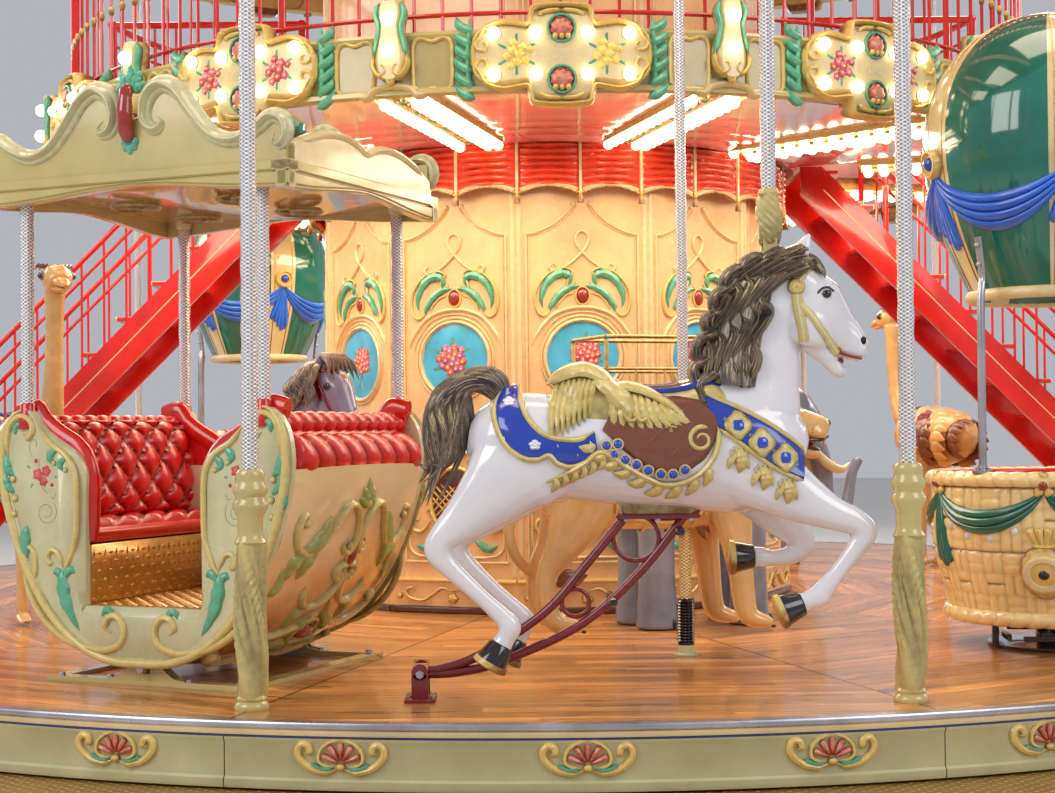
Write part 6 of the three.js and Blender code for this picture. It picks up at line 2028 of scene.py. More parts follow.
def basket_mesh():
    """The wall is a band round the doorway, plaited outside; its rim and foot are rolls with slanting
    grooves."""
    shape = Shape("basket")
    spans = 36
    turns = np.radians(np.linspace(BASKET_DOOR, 360 - BASKET_DOOR, 10 * spans + 1))[:, None]
    z = np.linspace(0.18, 0.79, 57)
    body = smooth_path([(0.505, 0.18), (0.535, 0.28), (0.566, 0.42), (0.583, 0.58), (0.587, 0.7),
                        (0.58, 0.79)], 57)[:, 0]
    weave = plait(turns / (2 * np.pi), (z[None, :] - 0.18) / 0.61, 36, 6)
    outer = np.stack([body[None, :] + 0.012 * weave - 0.006, z[None, :] + 0 * turns], -1)
    phi = np.radians(np.linspace(-50, 170, 15))[None, :]
    groove = 0.034 + 0.007 * np.abs(np.sin(np.pi * (turns / (2 * np.pi) * 44 + phi / 7))) ** 0.4
    roll = np.stack([0.573 + groove * 1.15 * np.cos(phi), 0.822 + groove * np.sin(phi)], -1)
    inner = np.stack([np.array([[0.53, 0.528, 0.5, 0.47]]) + 0 * turns, np.array([[0.8, 0.7, 0.4, 0.19]])
                      + 0 * turns], -1)
    loop = np.concatenate([outer, roll, inner], 1)
    band = about(loop[..., 0], turns, loop[..., 1])
    # crown is the weave's and the grooves' height, which the woven finish turns into painted shade in the
    # gaps
    crown = np.concatenate([weave, 0.4 + 0.6 * (groove - 0.034) / 0.007, np.full(inner.shape[:2], 0.6)], 1)
    crown = np.concatenate([crown[:1], crown, crown[-1:]])
    shape.add(capped(band), "woven", crown=crown)
    turn = np.linspace(0, 2 * np.pi, 300, endpoint=False)[None, :]
    phi = np.linspace(0, 2 * np.pi, 17)[:, None]
    groove = (0.032
              + 0.007 * np.abs(np.sin(np.pi * (turn / (2 * np.pi) * 38
                                               + phi / 6 * np.sin(phi / 2)))) ** 0.4)
    groove[-1] = groove[0]
    reach = 0.502 + groove * 1.1 * np.cos(phi)
    ring = about(reach, turn, 0.168 + groove * np.sin(phi))
    shape.add(ring, "woven", crown=0.4 + 0.6 * (groove - 0.032) / 0.007)
    shape.add(lathe([(0, 0.15), (0.48, 0.15), (0.49, 0.19), (0.3, 0.2), (0, 0.2)], 48), "woven")
    for side in (-1, 1):
        jamb = lathe([(0, 0.19), (0.03, 0.19), (0.03, 0.8), (0.036, 0.82), (0.03, 0.86), (0, 0.865)], 16)
        turned_by = side * BASKET_DOOR
        shape.add(turned(moved(jamb, 0, -0.553, 0), turned_by), "woven", crown=0.7)
    lining = [[0.522 * math.sin(a), -0.522 * math.cos(a), 0.835]
              for a in np.radians(np.linspace(BASKET_DOOR + 3, 357 - BASKET_DOOR, 90))]
    shape.add(tube(lining, 0.019, 12), "red_gloss")

    shape.add(lathe([(0, 0.0004), (0.32, 0.0004), (0.33, 0.006), (0.33, 0.016), (0.14, 0.02), (0.1, 0.03),
                     (0.1, 0.12), (0.3, 0.128), (0.3, 0.148), (0, 0.148)], 40), "black_gloss")
    for turn_by in (45, 135, 225, 315):
        leg = slab(-0.016, 0.016, -0.31, -0.278, 0.01, 0.14)
        rail = slab(-0.2, 0.2, -0.27, -0.245, 0.045, 0.07)
        shape.add_all([turned(leg, turn_by), turned(rail, turn_by)], "black_gloss")

    outline = list(zip(body, z)) + [(0.6, 0.86)]
    reach = radius_by_height(np.column_stack([body, z]))
    for start, end in ((60, 120), (120, 180), (180, 240), (240, 300)):
        shape.add(swag(start, end, 0.785, 0.1, 0.095, reach), "green_gloss")
    shape.add(swag(BASKET_DOOR + 1.5, 60, 0.785, 0.06, 0.08, reach, rows=26), "green_gloss")
    shape.add(swag(300, 358.5 - BASKET_DOOR, 0.785, 0.06, 0.08, reach, rows=26), "green_gloss")
    for angle in (60, 120, 180, 240, 300):
        place = on_body(outline, angle, 0.8)
        for step in range(5):
            turn_by = math.radians(90 + 72 * step)
            x, y = 0.038 * math.cos(turn_by), 0.038 * math.sin(turn_by)
            shape.add(dome(x, y, 0.026, 0.026, 0.026, 3, 0.1, start=90 + 72 * step), "gilded", place)
        shape.add(dome(0, 0, 0.026, 0.026, 0.045, rings=7), "gem_red", place)
        if angle in (120, 240):
            shape.add_all(hanging_end(0.36, 0.035), "green_gloss", on_body(outline, angle, 0.77))
        else:
            bell_ornament(shape, on_body(outline, angle, 0.42))
        for step in (-0.2, -0.08, 0.05, 0.17):
            pearl = on_body(outline, angle + 30 + 180 * step / 0.58 / np.pi, 0.545 + 1.4 * step ** 2)
            if angle < 300:
                shape.add(dome(0, 0, 0.017, 0.02, 0.014), "pearl_gloss", pearl)
    return shape.mesh(most=56000)


def bell_ornament(shape, place):
    """A gilded pouch with a ruffled neck and a ringed porthole."""
    shape.add(dome(0, -0.02, 0.115, 0.13, 0.075, 14, 0.02, 9, 56), "gilded", place)
    ring = round_path(0, -0.03, 0.068, 0, 360, 49)
    shape.add(moulding(ring, 0.03, 0.085, 72, 10, taper=False), "fascia_carving", place)
    shape.add(dome(0, -0.03, 0.045, 0.045, 0.086, sides=24), "black_gloss", place)
    for x in (-0.045, -0.015, 0.015, 0.045):
        shape.add(moulding([(x * 0.5, 0.085, 0.7), (x * 0.8, 0.12, 0.9), (x * 1.3, 0.165, 1.3),
                            (x * 1.5, 0.185, 1.0)], 0.018, 0.03, 18, 8), "gilded", place)
    shape.add(moulding([(-0.05, 0.1), (0, 0.095), (0.05, 0.1)], 0.013, 0.04, 18, 8), "gilded", place)


def envelope_mesh():
    """A turned balloon with coloured gores, a ringed mouth, draped swags with stones, and four bent
    struts."""
    shape = Shape("envelope")
    line = smooth_path(ENVELOPE, 60)
    inside = np.array([(0.36, 1.7), (0.345, 1.73), (0.34, 1.8), (0, 1.83)])
    shape.add(lathe(np.concatenate([line, inside]), 100), "gores")
    mouth = [(0.385 + 0.028 * math.cos(a), 1.712 + 0.03 * math.sin(a))
             for a in np.linspace(0, 2 * np.pi, 16, endpoint=False)]
    shape.add(hoop(mouth, 80), "fascia_carving", crown=0.8)
    shape.add(lathe([(0, 3.11), (0.05, 3.108), (0.075, 3.098), (0.08, 3.08), (0, 3.07)], 32), "gilded")
    reach = radius_by_height(line)
    for k in range(GORES):
        angle = GORE_TURN + k * 360 / GORES
        shape.add(swag(angle, angle + 360 / GORES, 2.31, 0.14, 0.15, reach, 0.05, 4, 56), "ribbon_gloss")
        place = on_body(line, angle, 2.35)
        shape.add(dome(0, 0, 0.072, 0.072, 0.04, sides=32), "gilded", place)
        shape.add(moulding(round_path(0, 0, 0.06, 0, 360, 40), 0.014, 0.05, 48, 10, taper=False), "gilded",
                  place)
        shape.add(dome(0, 0, 0.042, 0.042, 0.062, rings=7, sides=28), "gem_blue", place)
        for lean in (-0.05, 0.02):
            shape.add_all(hanging_end(0.34 + lean, lean), "ribbon_gloss", on_body(line, angle, 2.3))
        for edge in (-0.1, 0.1):
            seam = np.stack([0 * line[4:-1, 0], -line[4:-1, 0], line[4:-1, 1]], -1)
            shape.add(turned(tube(seam, 0.004, 6), angle + edge * 360 / GORES), "gilded")
    for angle in (-90, -32, 32, 90):
        strut = smooth_path([(0.562, 0.84), (0.562, 1.2), (0.56, 1.62), (0.556, 1.7), (0.548, 1.78),
                             (0.566, 1.92), (0.575, 1.97)], 40)
        path = np.stack([0 * strut[:, 0], -strut[:, 0], strut[:, 1]], -1)
        flat = np.where(strut[:, 1] > 1.76, 0.5, 1.0)
        shape.add(turned(tube(path, 0.019, 14, up=(0, 1, 0), flat=flat), angle), "steel")
        foot = lathe([(0, 0.855), (0.05, 0.855), (0.05, 0.868), (0.024, 0.872), (0.022, 0.89), (0, 0.89)],
                     20)
        shape.add(turned(moved(foot, 0, -0.565, 0), angle), "steel")
        for x, y in ((0.034, 0), (-0.034, 0), (0, 0.034), (0, -0.034)):
            nut = lathe([(0, 0.866), (0.009, 0.866), (0.009, 0.88), (0, 0.88)], 6)
            shape.add(turned(moved(nut, x, y - 0.565, 0), angle), "steel")
        for z in (1.84, 1.93):
            bolt = ball(0.012, 8, 5)
            shape.add(turned(moved(bolt, 0, -0.572 - 0.12 * (z - 1.84), z), angle), "steel")
    return shape.mesh(most=34000)


class CAROUSEL_OT_baskets(bpy.types.Operator):
    """Two balloon baskets with their envelopes"""

    bl_idname = "carousel.baskets"
    bl_label = "Balloon baskets"

    def execute(self, context):
        """Each mesh is made once in the ride's own axes and copied to both rides."""
        where = (BALLOONS, BALLOON_RING)
        put_rides("balloon_#_wicker", basket_mesh(), *where, "turntable", "balloon_#_basket", slot="basket")
        put_rides("balloon_#_balloon", envelope_mesh(), *where, "turntable", "balloon_#_envelope",
                  slot="balloon")
        return {"FINISHED"}


# Lions, elephants, grey horses and ostriches. A station is [x, y, z, half width across, half height]

LION_TRUNK = [(-0.72, 0, 0.75, 0.05, 0.07), (-0.68, 0, 0.765, 0.12, 0.13), (-0.57, 0, 0.785, 0.155, 0.165),
              (-0.4, 0, 0.775, 0.15, 0.165), (-0.2, 0, 0.765, 0.148, 0.165), (0.02, 0, 0.785, 0.158, 0.185),
              (0.2, 0, 0.83, 0.165, 0.2), (0.32, 0, 0.93, 0.15, 0.19), (0.42, 0, 1.03, 0.12, 0.14)]
LION_HEAD = [(0.33, 0, 1.12, 0.09, 0.1), (0.4, 0, 1.13, 0.125, 0.14), (0.49, 0, 1.12, 0.115, 0.125),
             (0.56, 0, 1.1, 0.085, 0.085), (0.64, 0, 1.09, 0.068, 0.062), (0.705, 0, 1.08, 0.05, 0.045),
             (0.722, 0, 1.078, 0.03, 0.028)]
LION_JAW = [(0.46, 0, 1.03, 0.07, 0.06), (0.55, 0, 0.985, 0.055, 0.04), (0.64, 0, 0.955, 0.045, 0.03),
            (0.672, 0, 0.955, 0.025, 0.02)]
LION_HIND = [(-0.5, 0.09, 0.78, 0.1, 0.17), (-0.55, 0.11, 0.66, 0.085, 0.14),
             (-0.62, 0.12, 0.53, 0.06, 0.085), (-0.69, 0.12, 0.42, 0.045, 0.055),
             (-0.7, 0.12, 0.32, 0.042, 0.048), (-0.68, 0.12, 0.22, 0.047, 0.05),
             (-0.64, 0.12, 0.18, 0.055, 0.045), (-0.58, 0.12, 0.172, 0.058, 0.038),
             (-0.545, 0.12, 0.165, 0.045, 0.028)]
LION_FORE = [(0.2, 0.09, 0.84, 0.1, 0.15), (0.2, 0.11, 0.68, 0.085, 0.105),
             (0.22, 0.12, 0.53, 0.066, 0.075), (0.24, 0.12, 0.38, 0.056, 0.06),
             (0.25, 0.12, 0.28, 0.054, 0.056), (0.27, 0.12, 0.2, 0.056, 0.05),
             (0.32, 0.12, 0.172, 0.06, 0.04), (0.37, 0.12, 0.165, 0.052, 0.03)]
LION_TAIL = [(-0.7, 0, 0.78), (-0.79, 0, 0.74), (-0.845, 0, 0.64), (-0.835, 0, 0.52), (-0.76, 0.01, 0.42),
             (-0.66, 0.03, 0.38), (-0.585, 0.05, 0.37)]
ELEPHANT_TRUNK = [(-0.56, 0, 0.93, 0.11, 0.14), (-0.5, 0, 0.94, 0.19, 0.22), (-0.4, 0, 0.94, 0.24, 0.265),
                  (-0.2, 0, 0.93, 0.265, 0.29), (0.05, 0, 0.93, 0.275, 0.3), (0.3, 0, 0.95, 0.26, 0.285),
                  (0.45, 0, 0.99, 0.2, 0.22), (0.52, 0, 1.0, 0.14, 0.17)]
ELEPHANT_HEAD = [(0.4, 0, 1.12, 0.13, 0.17), (0.48, 0, 1.14, 0.16, 0.205), (0.57, 0, 1.13, 0.165, 0.205),
                 (0.66, 0, 1.08, 0.13, 0.165), (0.72, 0, 1.03, 0.1, 0.125)]
ELEPHANT_NOSE = [(0.66, 0, 1.06, 0.09, 0.1), (0.755, 0, 0.97, 0.074, 0.078), (0.805, 0, 0.86, 0.062, 0.064),
                 (0.825, 0, 0.73, 0.053, 0.054), (0.85, 0, 0.63, 0.047, 0.048),
                 (0.905, 0, 0.585, 0.042, 0.044), (0.965, 0, 0.63, 0.038, 0.038),
                 (0.99, 0, 0.73, 0.034, 0.034), (1.01, 0, 0.82, 0.031, 0.031), (1.055, 0, 0.9, 0.033, 0.03)]
PONY_TRUNK = [(-0.44, 0, 0.9, 0.07, 0.08), (-0.4, 0, 0.905, 0.13, 0.14), (-0.28, 0, 0.9, 0.165, 0.18),
              (-0.05, 0, 0.88, 0.165, 0.185), (0.15, 0, 0.885, 0.165, 0.19), (0.33, 0, 0.9, 0.155, 0.19),
              (0.43, 0, 0.93, 0.11, 0.14)]
PONY_NECK = [(0.29, 0, 0.97, 0.12, 0.18), (0.4, 0, 1.06, 0.11, 0.17), (0.48, 0, 1.18, 0.092, 0.14),
             (0.53, 0, 1.28, 0.082, 0.115), (0.565, 0, 1.35, 0.072, 0.095)]
PONY_HEAD = [(0.54, 0, 1.385, 0.06, 0.07), (0.59, 0, 1.36, 0.08, 0.1), (0.65, 0, 1.3, 0.085, 0.108),
             (0.7, 0, 1.22, 0.068, 0.085), (0.745, 0, 1.14, 0.054, 0.066), (0.78, 0, 1.075, 0.05, 0.055),
             (0.795, 0, 1.03, 0.04, 0.038), (0.8, 0, 1.01, 0.02, 0.02)]
PONY_LEG = [(0, 0.85, 0.88, 0.085, 0.12), (0, 1, 0.7, 0.062, 0.078), (0, 1, 0.56, 0.046, 0.054),
            (-0.01, 1, 0.48, 0.05, 0.056), (0, 1, 0.36, 0.036, 0.042), (0, 1, 0.2, 0.038, 0.042),
            (0.015, 1, 0.11, 0.045, 0.048), (0.02, 1, 0.08, 0.046, 0.05)]
OSTRICH_BODY = [(-0.45, 0, 1.06, 0.05, 0.07), (-0.38, 0, 1.04, 0.13, 0.15), (-0.24, 0, 1.01, 0.2, 0.21),
                (0.0, 0, 0.99, 0.225, 0.235), (0.15, 0, 1.01, 0.195, 0.21), (0.27, 0, 1.04, 0.13, 0.16)]
OSTRICH_NECK = [(0.2, 0, 1.07, 0.1, 0.12), (0.3, 0, 1.16, 0.078, 0.09), (0.37, 0, 1.3, 0.062, 0.064),
                (0.4, 0, 1.45, 0.053, 0.055), (0.415, 0, 1.62, 0.05, 0.052), (0.425, 0, 1.78, 0.053, 0.055),
                (0.43, 0, 1.88, 0.06, 0.06)]
OSTRICH_HEAD = [(0.38, 0, 1.92, 0.055, 0.055), (0.43, 0, 1.945, 0.08, 0.078), (0.5, 0, 1.94, 0.082, 0.074),
                (0.555, 0, 1.912, 0.06, 0.048)]


def eyes(shape, x, y, z, radius, white="hair"):
    """A dark eye in a rim on both sides of a head."""
    for side in (-1, 1):
        eye = ball(radius, 14, 9)[..., [0, 2, 1]]
        shape.add(moved(eye * (1.5, 0.7, 1.35), x, side * (y - 0.3 * radius), z), white)
        shape.add(moved(eye, x, side * y, z), "black_gloss")


def saddle_cloth(shape, bodies, edge, cloth, fringe=9):
    """A cloth over the back with a hem and hanging tassels, laid on both flanks."""
    low, high = edge
    for side in (-1, 1):
        place = flank(bodies, side)
        shape.add(panel(low, high, 0.012, 40, 12, 0.06), cloth, place)
        shape.add(moulding(low, 0.012, 0.018, 50, 8), "gilded", place)
        path = smooth_path(low, fringe + 2)[1:-1]
        for x, z in path[:, :2]:
            shape.add(moulding([(x, z), (x, z - 0.03), (x, z - 0.055)], 0.009, 0.016, 8, 6), "gilded",
                      place)


def lion_meshes():
    """The lion's skin, and its mane, face, claws, tail tuft, saddle and pole."""
    skin = Shape("lion_skin")
    skin.add_all([limb(LION_TRUNK, 56, 26), limb(LION_HEAD, 36, 22), limb(LION_JAW, 18, 14)], "lion_gloss")
    for side in (-1, 1):
        skin.add(limb(side_of(LION_HIND, side), 50, 18), "lion_gloss")
        skin.add(limb(side_of(LION_FORE, side, 0.0 if side < 0 else -0.09), 50, 18), "lion_gloss")
        skin.add(limb([(0.42, side * 0.1, 1.2, 0.02, 0.03), (0.4, side * 0.125, 1.25, 0.024, 0.042),
                       (0.385, side * 0.13, 1.285, 0.012, 0.02)], 12, 12), "lion_gloss")
        skin.add(limb([(0.6, side * 0.035, 1.07, 0.03, 0.035), (0.66, side * 0.042, 1.05, 0.036, 0.036),
                       (0.7, side * 0.03, 1.045, 0.022, 0.022)], 12, 12), "lion_gloss")
        for x, y in ((-0.55, 0.12), (0.365 if side < 0 else 0.275, 0.12)):
            for toe in (-1, 0, 1):
                skin.add(limb([(x - 0.05, side * y + toe * 0.03, 0.168, 0.02, 0.026),
                               (x, side * y + toe * 0.032, 0.16, 0.022, 0.026),
                               (x + 0.018, side * y + toe * 0.032, 0.15, 0.012, 0.015)], 8, 10),
                               "lion_gloss")
    skin.add(tube(smooth_path(LION_TAIL, 50), 0.026, 14, up=(0, 1, 0)), "lion_gloss")
    body = skin.fused(0.0095)

    fine = Shape("lion_details")
    for ring, (x, lift, reach, drop, count) in enumerate(((0.42, 0.0, 0.1, 0.14, 17),
                                                          (0.34, -0.01, 0.13, 0.2, 19),
                                                          (0.26, -0.05, 0.15, 0.24, 19))):
        for k in range(count):
            turn = math.radians(-165 + 330 * k / (count - 1)) + 0.05 * ring
            out = np.array([0.0, math.sin(turn), math.cos(turn)])
            centre = np.array([x, 0, 1.1 + lift])
            start = centre + out * (reach * 0.75, reach * 0.82, reach * 1.02)
            sag = 0.5 * (1 - math.cos(turn))
            wave = 0.018 * math.sin(2.4 * k + ring)
            back = np.array([-1.0, 0, -0.25 - 0.7 * sag])
            fine.add(lock([start, start + out * 0.05 + back * drop * 0.25, start + out * (0.06 + wave)
                           + back * drop * 0.6, start + out * (0.035 - wave) + back * drop], 0.034, 0.62,
                           16, 8, up=out), "mane_gloss")
    for k in range(9):
        sway = 0.03 * math.sin(2.1 * k)
        start = np.array([0.36 - 0.035 * k, sway, 0.86 - 0.03 * abs(k - 3)])
        fine.add(lock([(0.37, sway * 0.6, 0.99 - 0.01 * k), start + (0.03, 0, 0.02),
                       start + (-0.01, sway * 0.4, -0.1), start + (0.02, 0, -0.17)], 0.032, 0.7, 14, 8),
                       "mane_gloss")
    for k in range(7):
        turn = 2 * math.pi * k / 7
        bush = np.array([0, math.cos(turn), math.sin(turn)]) * 0.024
        fine.add(lock([(-0.64, 0.035, 0.378), np.array((-0.58, 0.05, 0.37)) + bush,
                       np.array((-0.52, 0.062, 0.372)) + bush * 0.9, (-0.46, 0.07, 0.385)], 0.024, 0.8, 16,
                       8), "saddle_brown")
    eyes(fine, 0.53, 0.094, 1.15, 0.016, "saddle_brown")
    nose = ball(0.034, 16, 11) * (0.72, 1.05, 0.62)
    fine.add(moved(nose, 0.712, 0, 1.1), "saddle_brown")
    for side in (-1, 1):
        lip = smooth_path([(0.712, side * 0.02, 1.035), (0.66, side * 0.062, 1.018),
                           (0.58, side * 0.073, 1.02), (0.52, side * 0.082, 1.0),
                           (0.57, side * 0.06, 0.992), (0.63, side * 0.046, 0.978),
                           (0.668, side * 0.014, 0.97)], 30)
        fine.add(tube(lip, 0.0095, 8), "black_gloss")
        for x, z in ((0.705, 0.995), (0.655, 0.985)):
            fine.add(lock([(x - 0.012, side * 0.028, 1.03 if x > 0.7 else 0.968),
                           (x - 0.01, side * 0.028, z)], 0.009, 1.0, 8, 8, up=(1, 0, 0)), "tooth")
        spots = [(0.62 + 0.022 * i, side * (0.069 - 0.006 * i), 1.07 - 0.016 * j) for i in range(3)
                 for j in range(2)]
        fine.add(at_points(ball(0.004, 6, 4), spots), "saddle_brown")
        fine.add(moved(ball(0.028, 10, 7) * (0.6, 0.35, 0.9), 0.385, side * 0.138, 1.255), "saddle_brown")
        for x, y in ((-0.528, 0.12), (0.387 if side < 0 else 0.297, 0.12)):
            claws = [(x, side * y + toe * 0.032, 0.143) for toe in (-1, 0, 1)]
            fine.add(at_points(ball(0.008, 8, 6) * (1.4, 0.7, 1.0), claws), "black_gloss")
    tongue = ball(0.05, 14, 9) * (1.5, 0.75, 0.35)
    fine.add(moved(tongue, 0.585, 0, 0.998), "lip_red")
    fine.add(moved(ball(0.055, 12, 9) * (1.1, 0.9, 0.6), 0.52, 0, 1.012), "lip_red")
    low = [(-0.36, 0.9), (-0.37, 0.78), (-0.33, 0.68), (-0.18, 0.64), (0.0, 0.65), (0.07, 0.73),
           (0.08, 0.84), (0.06, 0.93)]
    high = [(-0.34, 0.915), (-0.25, 0.915), (-0.2, 0.91), (-0.15, 0.91), (-0.1, 0.915), (-0.05, 0.92),
            (0.0, 0.93), (0.04, 0.94)]
    saddle_cloth(fine, [body], (low, high), "crimson_gloss")
    top = smooth_path([(-0.37, 0.95), (-0.33, 1.0), (-0.24, 0.972), (-0.14, 0.962), (-0.04, 0.98),
                       (0.03, 1.02), (0.075, 0.99)], 40)
    seat = np.column_stack([top[:, 0], 0 * top[:, 0], np.full(40, 0.84)])
    fine.add(tube(seat, top[:, 1] - 0.84, 40, up=(0, 1, 0), flat=0.13 / (top[:, 1] - 0.84)), "saddle_brown")
    for side in (-1, 1):
        path = smooth_path([(-0.37, side * 0.015, 0.962), (-0.3, side * 0.08, 0.965),
                            (-0.15, side * 0.115, 0.93), (0.0, side * 0.08, 0.965),
                            (0.07, side * 0.015, 1.0)], 40)
        fine.add(tube(path, 0.012, 8), "gilded")
    for radius, low_z, high_z, finish in ((0.0295, -0.15, 0.1, "steel"), (0.0295, 0.1, 0.7, "rope_gold"),
                                          (0.026, 0.9, 5.1, "rope_silver")):
        fine.add(twisted_pole(radius, low_z, high_z), finish)
    return thinned(body, 29000), fine.mesh(most=18000)


def elephant_meshes():
    """The elephant's skin, and its eyes, tusks, toenails, cloth and railed seat."""
    skin = Shape("elephant_skin")
    skin.add_all([limb(ELEPHANT_TRUNK, 50, 28), limb(ELEPHANT_HEAD, 30, 24), limb(ELEPHANT_NOSE, 60, 18)],
                 "elephant_gloss")
    for x, y in ((-0.3, 0.14), (0.26, 0.13)):
        for side in (-1, 1):
            skin.add(limb([(x, side * y, 0.88, 0.12, 0.14), (x, side * y, 0.6, 0.108, 0.115),
                           (x, side * y, 0.45, 0.1, 0.1), (x, side * y, 0.25, 0.1, 0.102),
                           (x, side * y, 0.09, 0.108, 0.112), (x, side * y, 0.004, 0.116, 0.12)], 30, 20),
                           "elephant_gloss")
    for side in (-1, 1):
        skin.add(limb([(0.41, side * 0.15, 1.14, 0.024, 0.07), (0.45, side * 0.185, 1.13, 0.026, 0.16),
                       (0.5, side * 0.205, 1.11, 0.024, 0.2), (0.56, side * 0.212, 1.09, 0.022, 0.17),
                       (0.6, side * 0.21, 1.08, 0.016, 0.11)], 20, 18), "elephant_gloss")
    skin.add(lock([(-0.53, 0, 1.0), (-0.6, 0, 0.9), (-0.6, 0, 0.75), (-0.58, 0, 0.62)], 0.024, 1.0, 16, 10),
             "elephant_gloss")
    body = skin.fused(0.0125)
    fine = Shape("elephant_details")
    eyes(fine, 0.64, 0.145, 1.14, 0.018, "rubber")
    for side in (-1, 1):
        fine.add(lock([(0.7, side * 0.07, 0.97), (0.79, side * 0.1, 0.87), (0.88, side * 0.1, 0.84),
                       (0.95, side * 0.08, 0.88)], 0.028, 1.0, 20, 12), "tooth")
        for x, y in ((-0.3, 0.14), (0.26, 0.13)):
            turns = np.radians([-60, -30, 0, 30, 60])
            nails = np.column_stack([x + 0.112 * np.cos(turns), side * y + 0.108 * np.sin(turns),
                                     np.full(5, 0.034)])
            fine.add(at_points(ball(0.024, 10, 7) * (0.7, 1.0, 1.2), nails), "black_gloss")
    low = [(-0.42, 1.12), (-0.44, 0.98), (-0.4, 0.84), (-0.25, 0.78), (-0.05, 0.78), (0.1, 0.84),
           (0.13, 0.98), (0.11, 1.12)]
    high = [(-0.4, 1.17), (-0.33, 1.18), (-0.26, 1.18), (-0.2, 1.18), (-0.12, 1.18), (-0.04, 1.18),
            (0.02, 1.18), (0.08, 1.17)]
    saddle_cloth(fine, [body], (low, high), "crimson_gloss", fringe=13)
    for side in (-1, 1):
        place = flank([body], side)
        for k, (x, z) in enumerate(((-0.3, 0.9), (-0.15, 0.88), (0.0, 0.9))):
            blossom(fine, x, z, 0.04, ("gilded", "blanket_blue")[k % 2], place)
    fine.add(slab(-0.629, 0.069, -0.239, 0.239, 1.196, 1.224, 0.008), "gilded")
    for z, radius in ((1.572, 0.0105), (1.4, 0.009)):
        corners = [(-0.62, -0.23), (0.06, -0.23), (0.06, 0.23), (-0.62, 0.23), (-0.62, -0.23)]
        for (x0, y0), (x1, y1) in zip(corners, corners[1:]):
            ends = [(x0 + (x1 - x0) * t, y0 + (y1 - y0) * t, z) for t in (0, 0.5, 1)]
            fine.add(tube(ends, radius, 10), "gilded")
    for x in (-0.62, 0.06):
        for y in (-0.23, 0.23):
            fine.add(tube([(x, y, z) for z in (1.21, 1.4, 1.58)], 0.011, 10, up=(0, 1, 0)), "gilded")
            fine.add(moved(ball(0.0145, 10, 7), x, y, 1.567), "fine_green")
    for side in (-1, 1):
        for x in (-0.45, -0.28, -0.11):
            fine.add(tube([(x, side * 0.23, z) for z in (1.21, 1.3, 1.4)], 0.007, 8, up=(0, 1, 0)),
                     "gilded")
    fine.add(slab(-0.56, 0.0, -0.19, 0.19, 1.224, 1.3, 0.02), "crimson_gloss")
    return thinned(body, 26000), fine.mesh(most=11000)


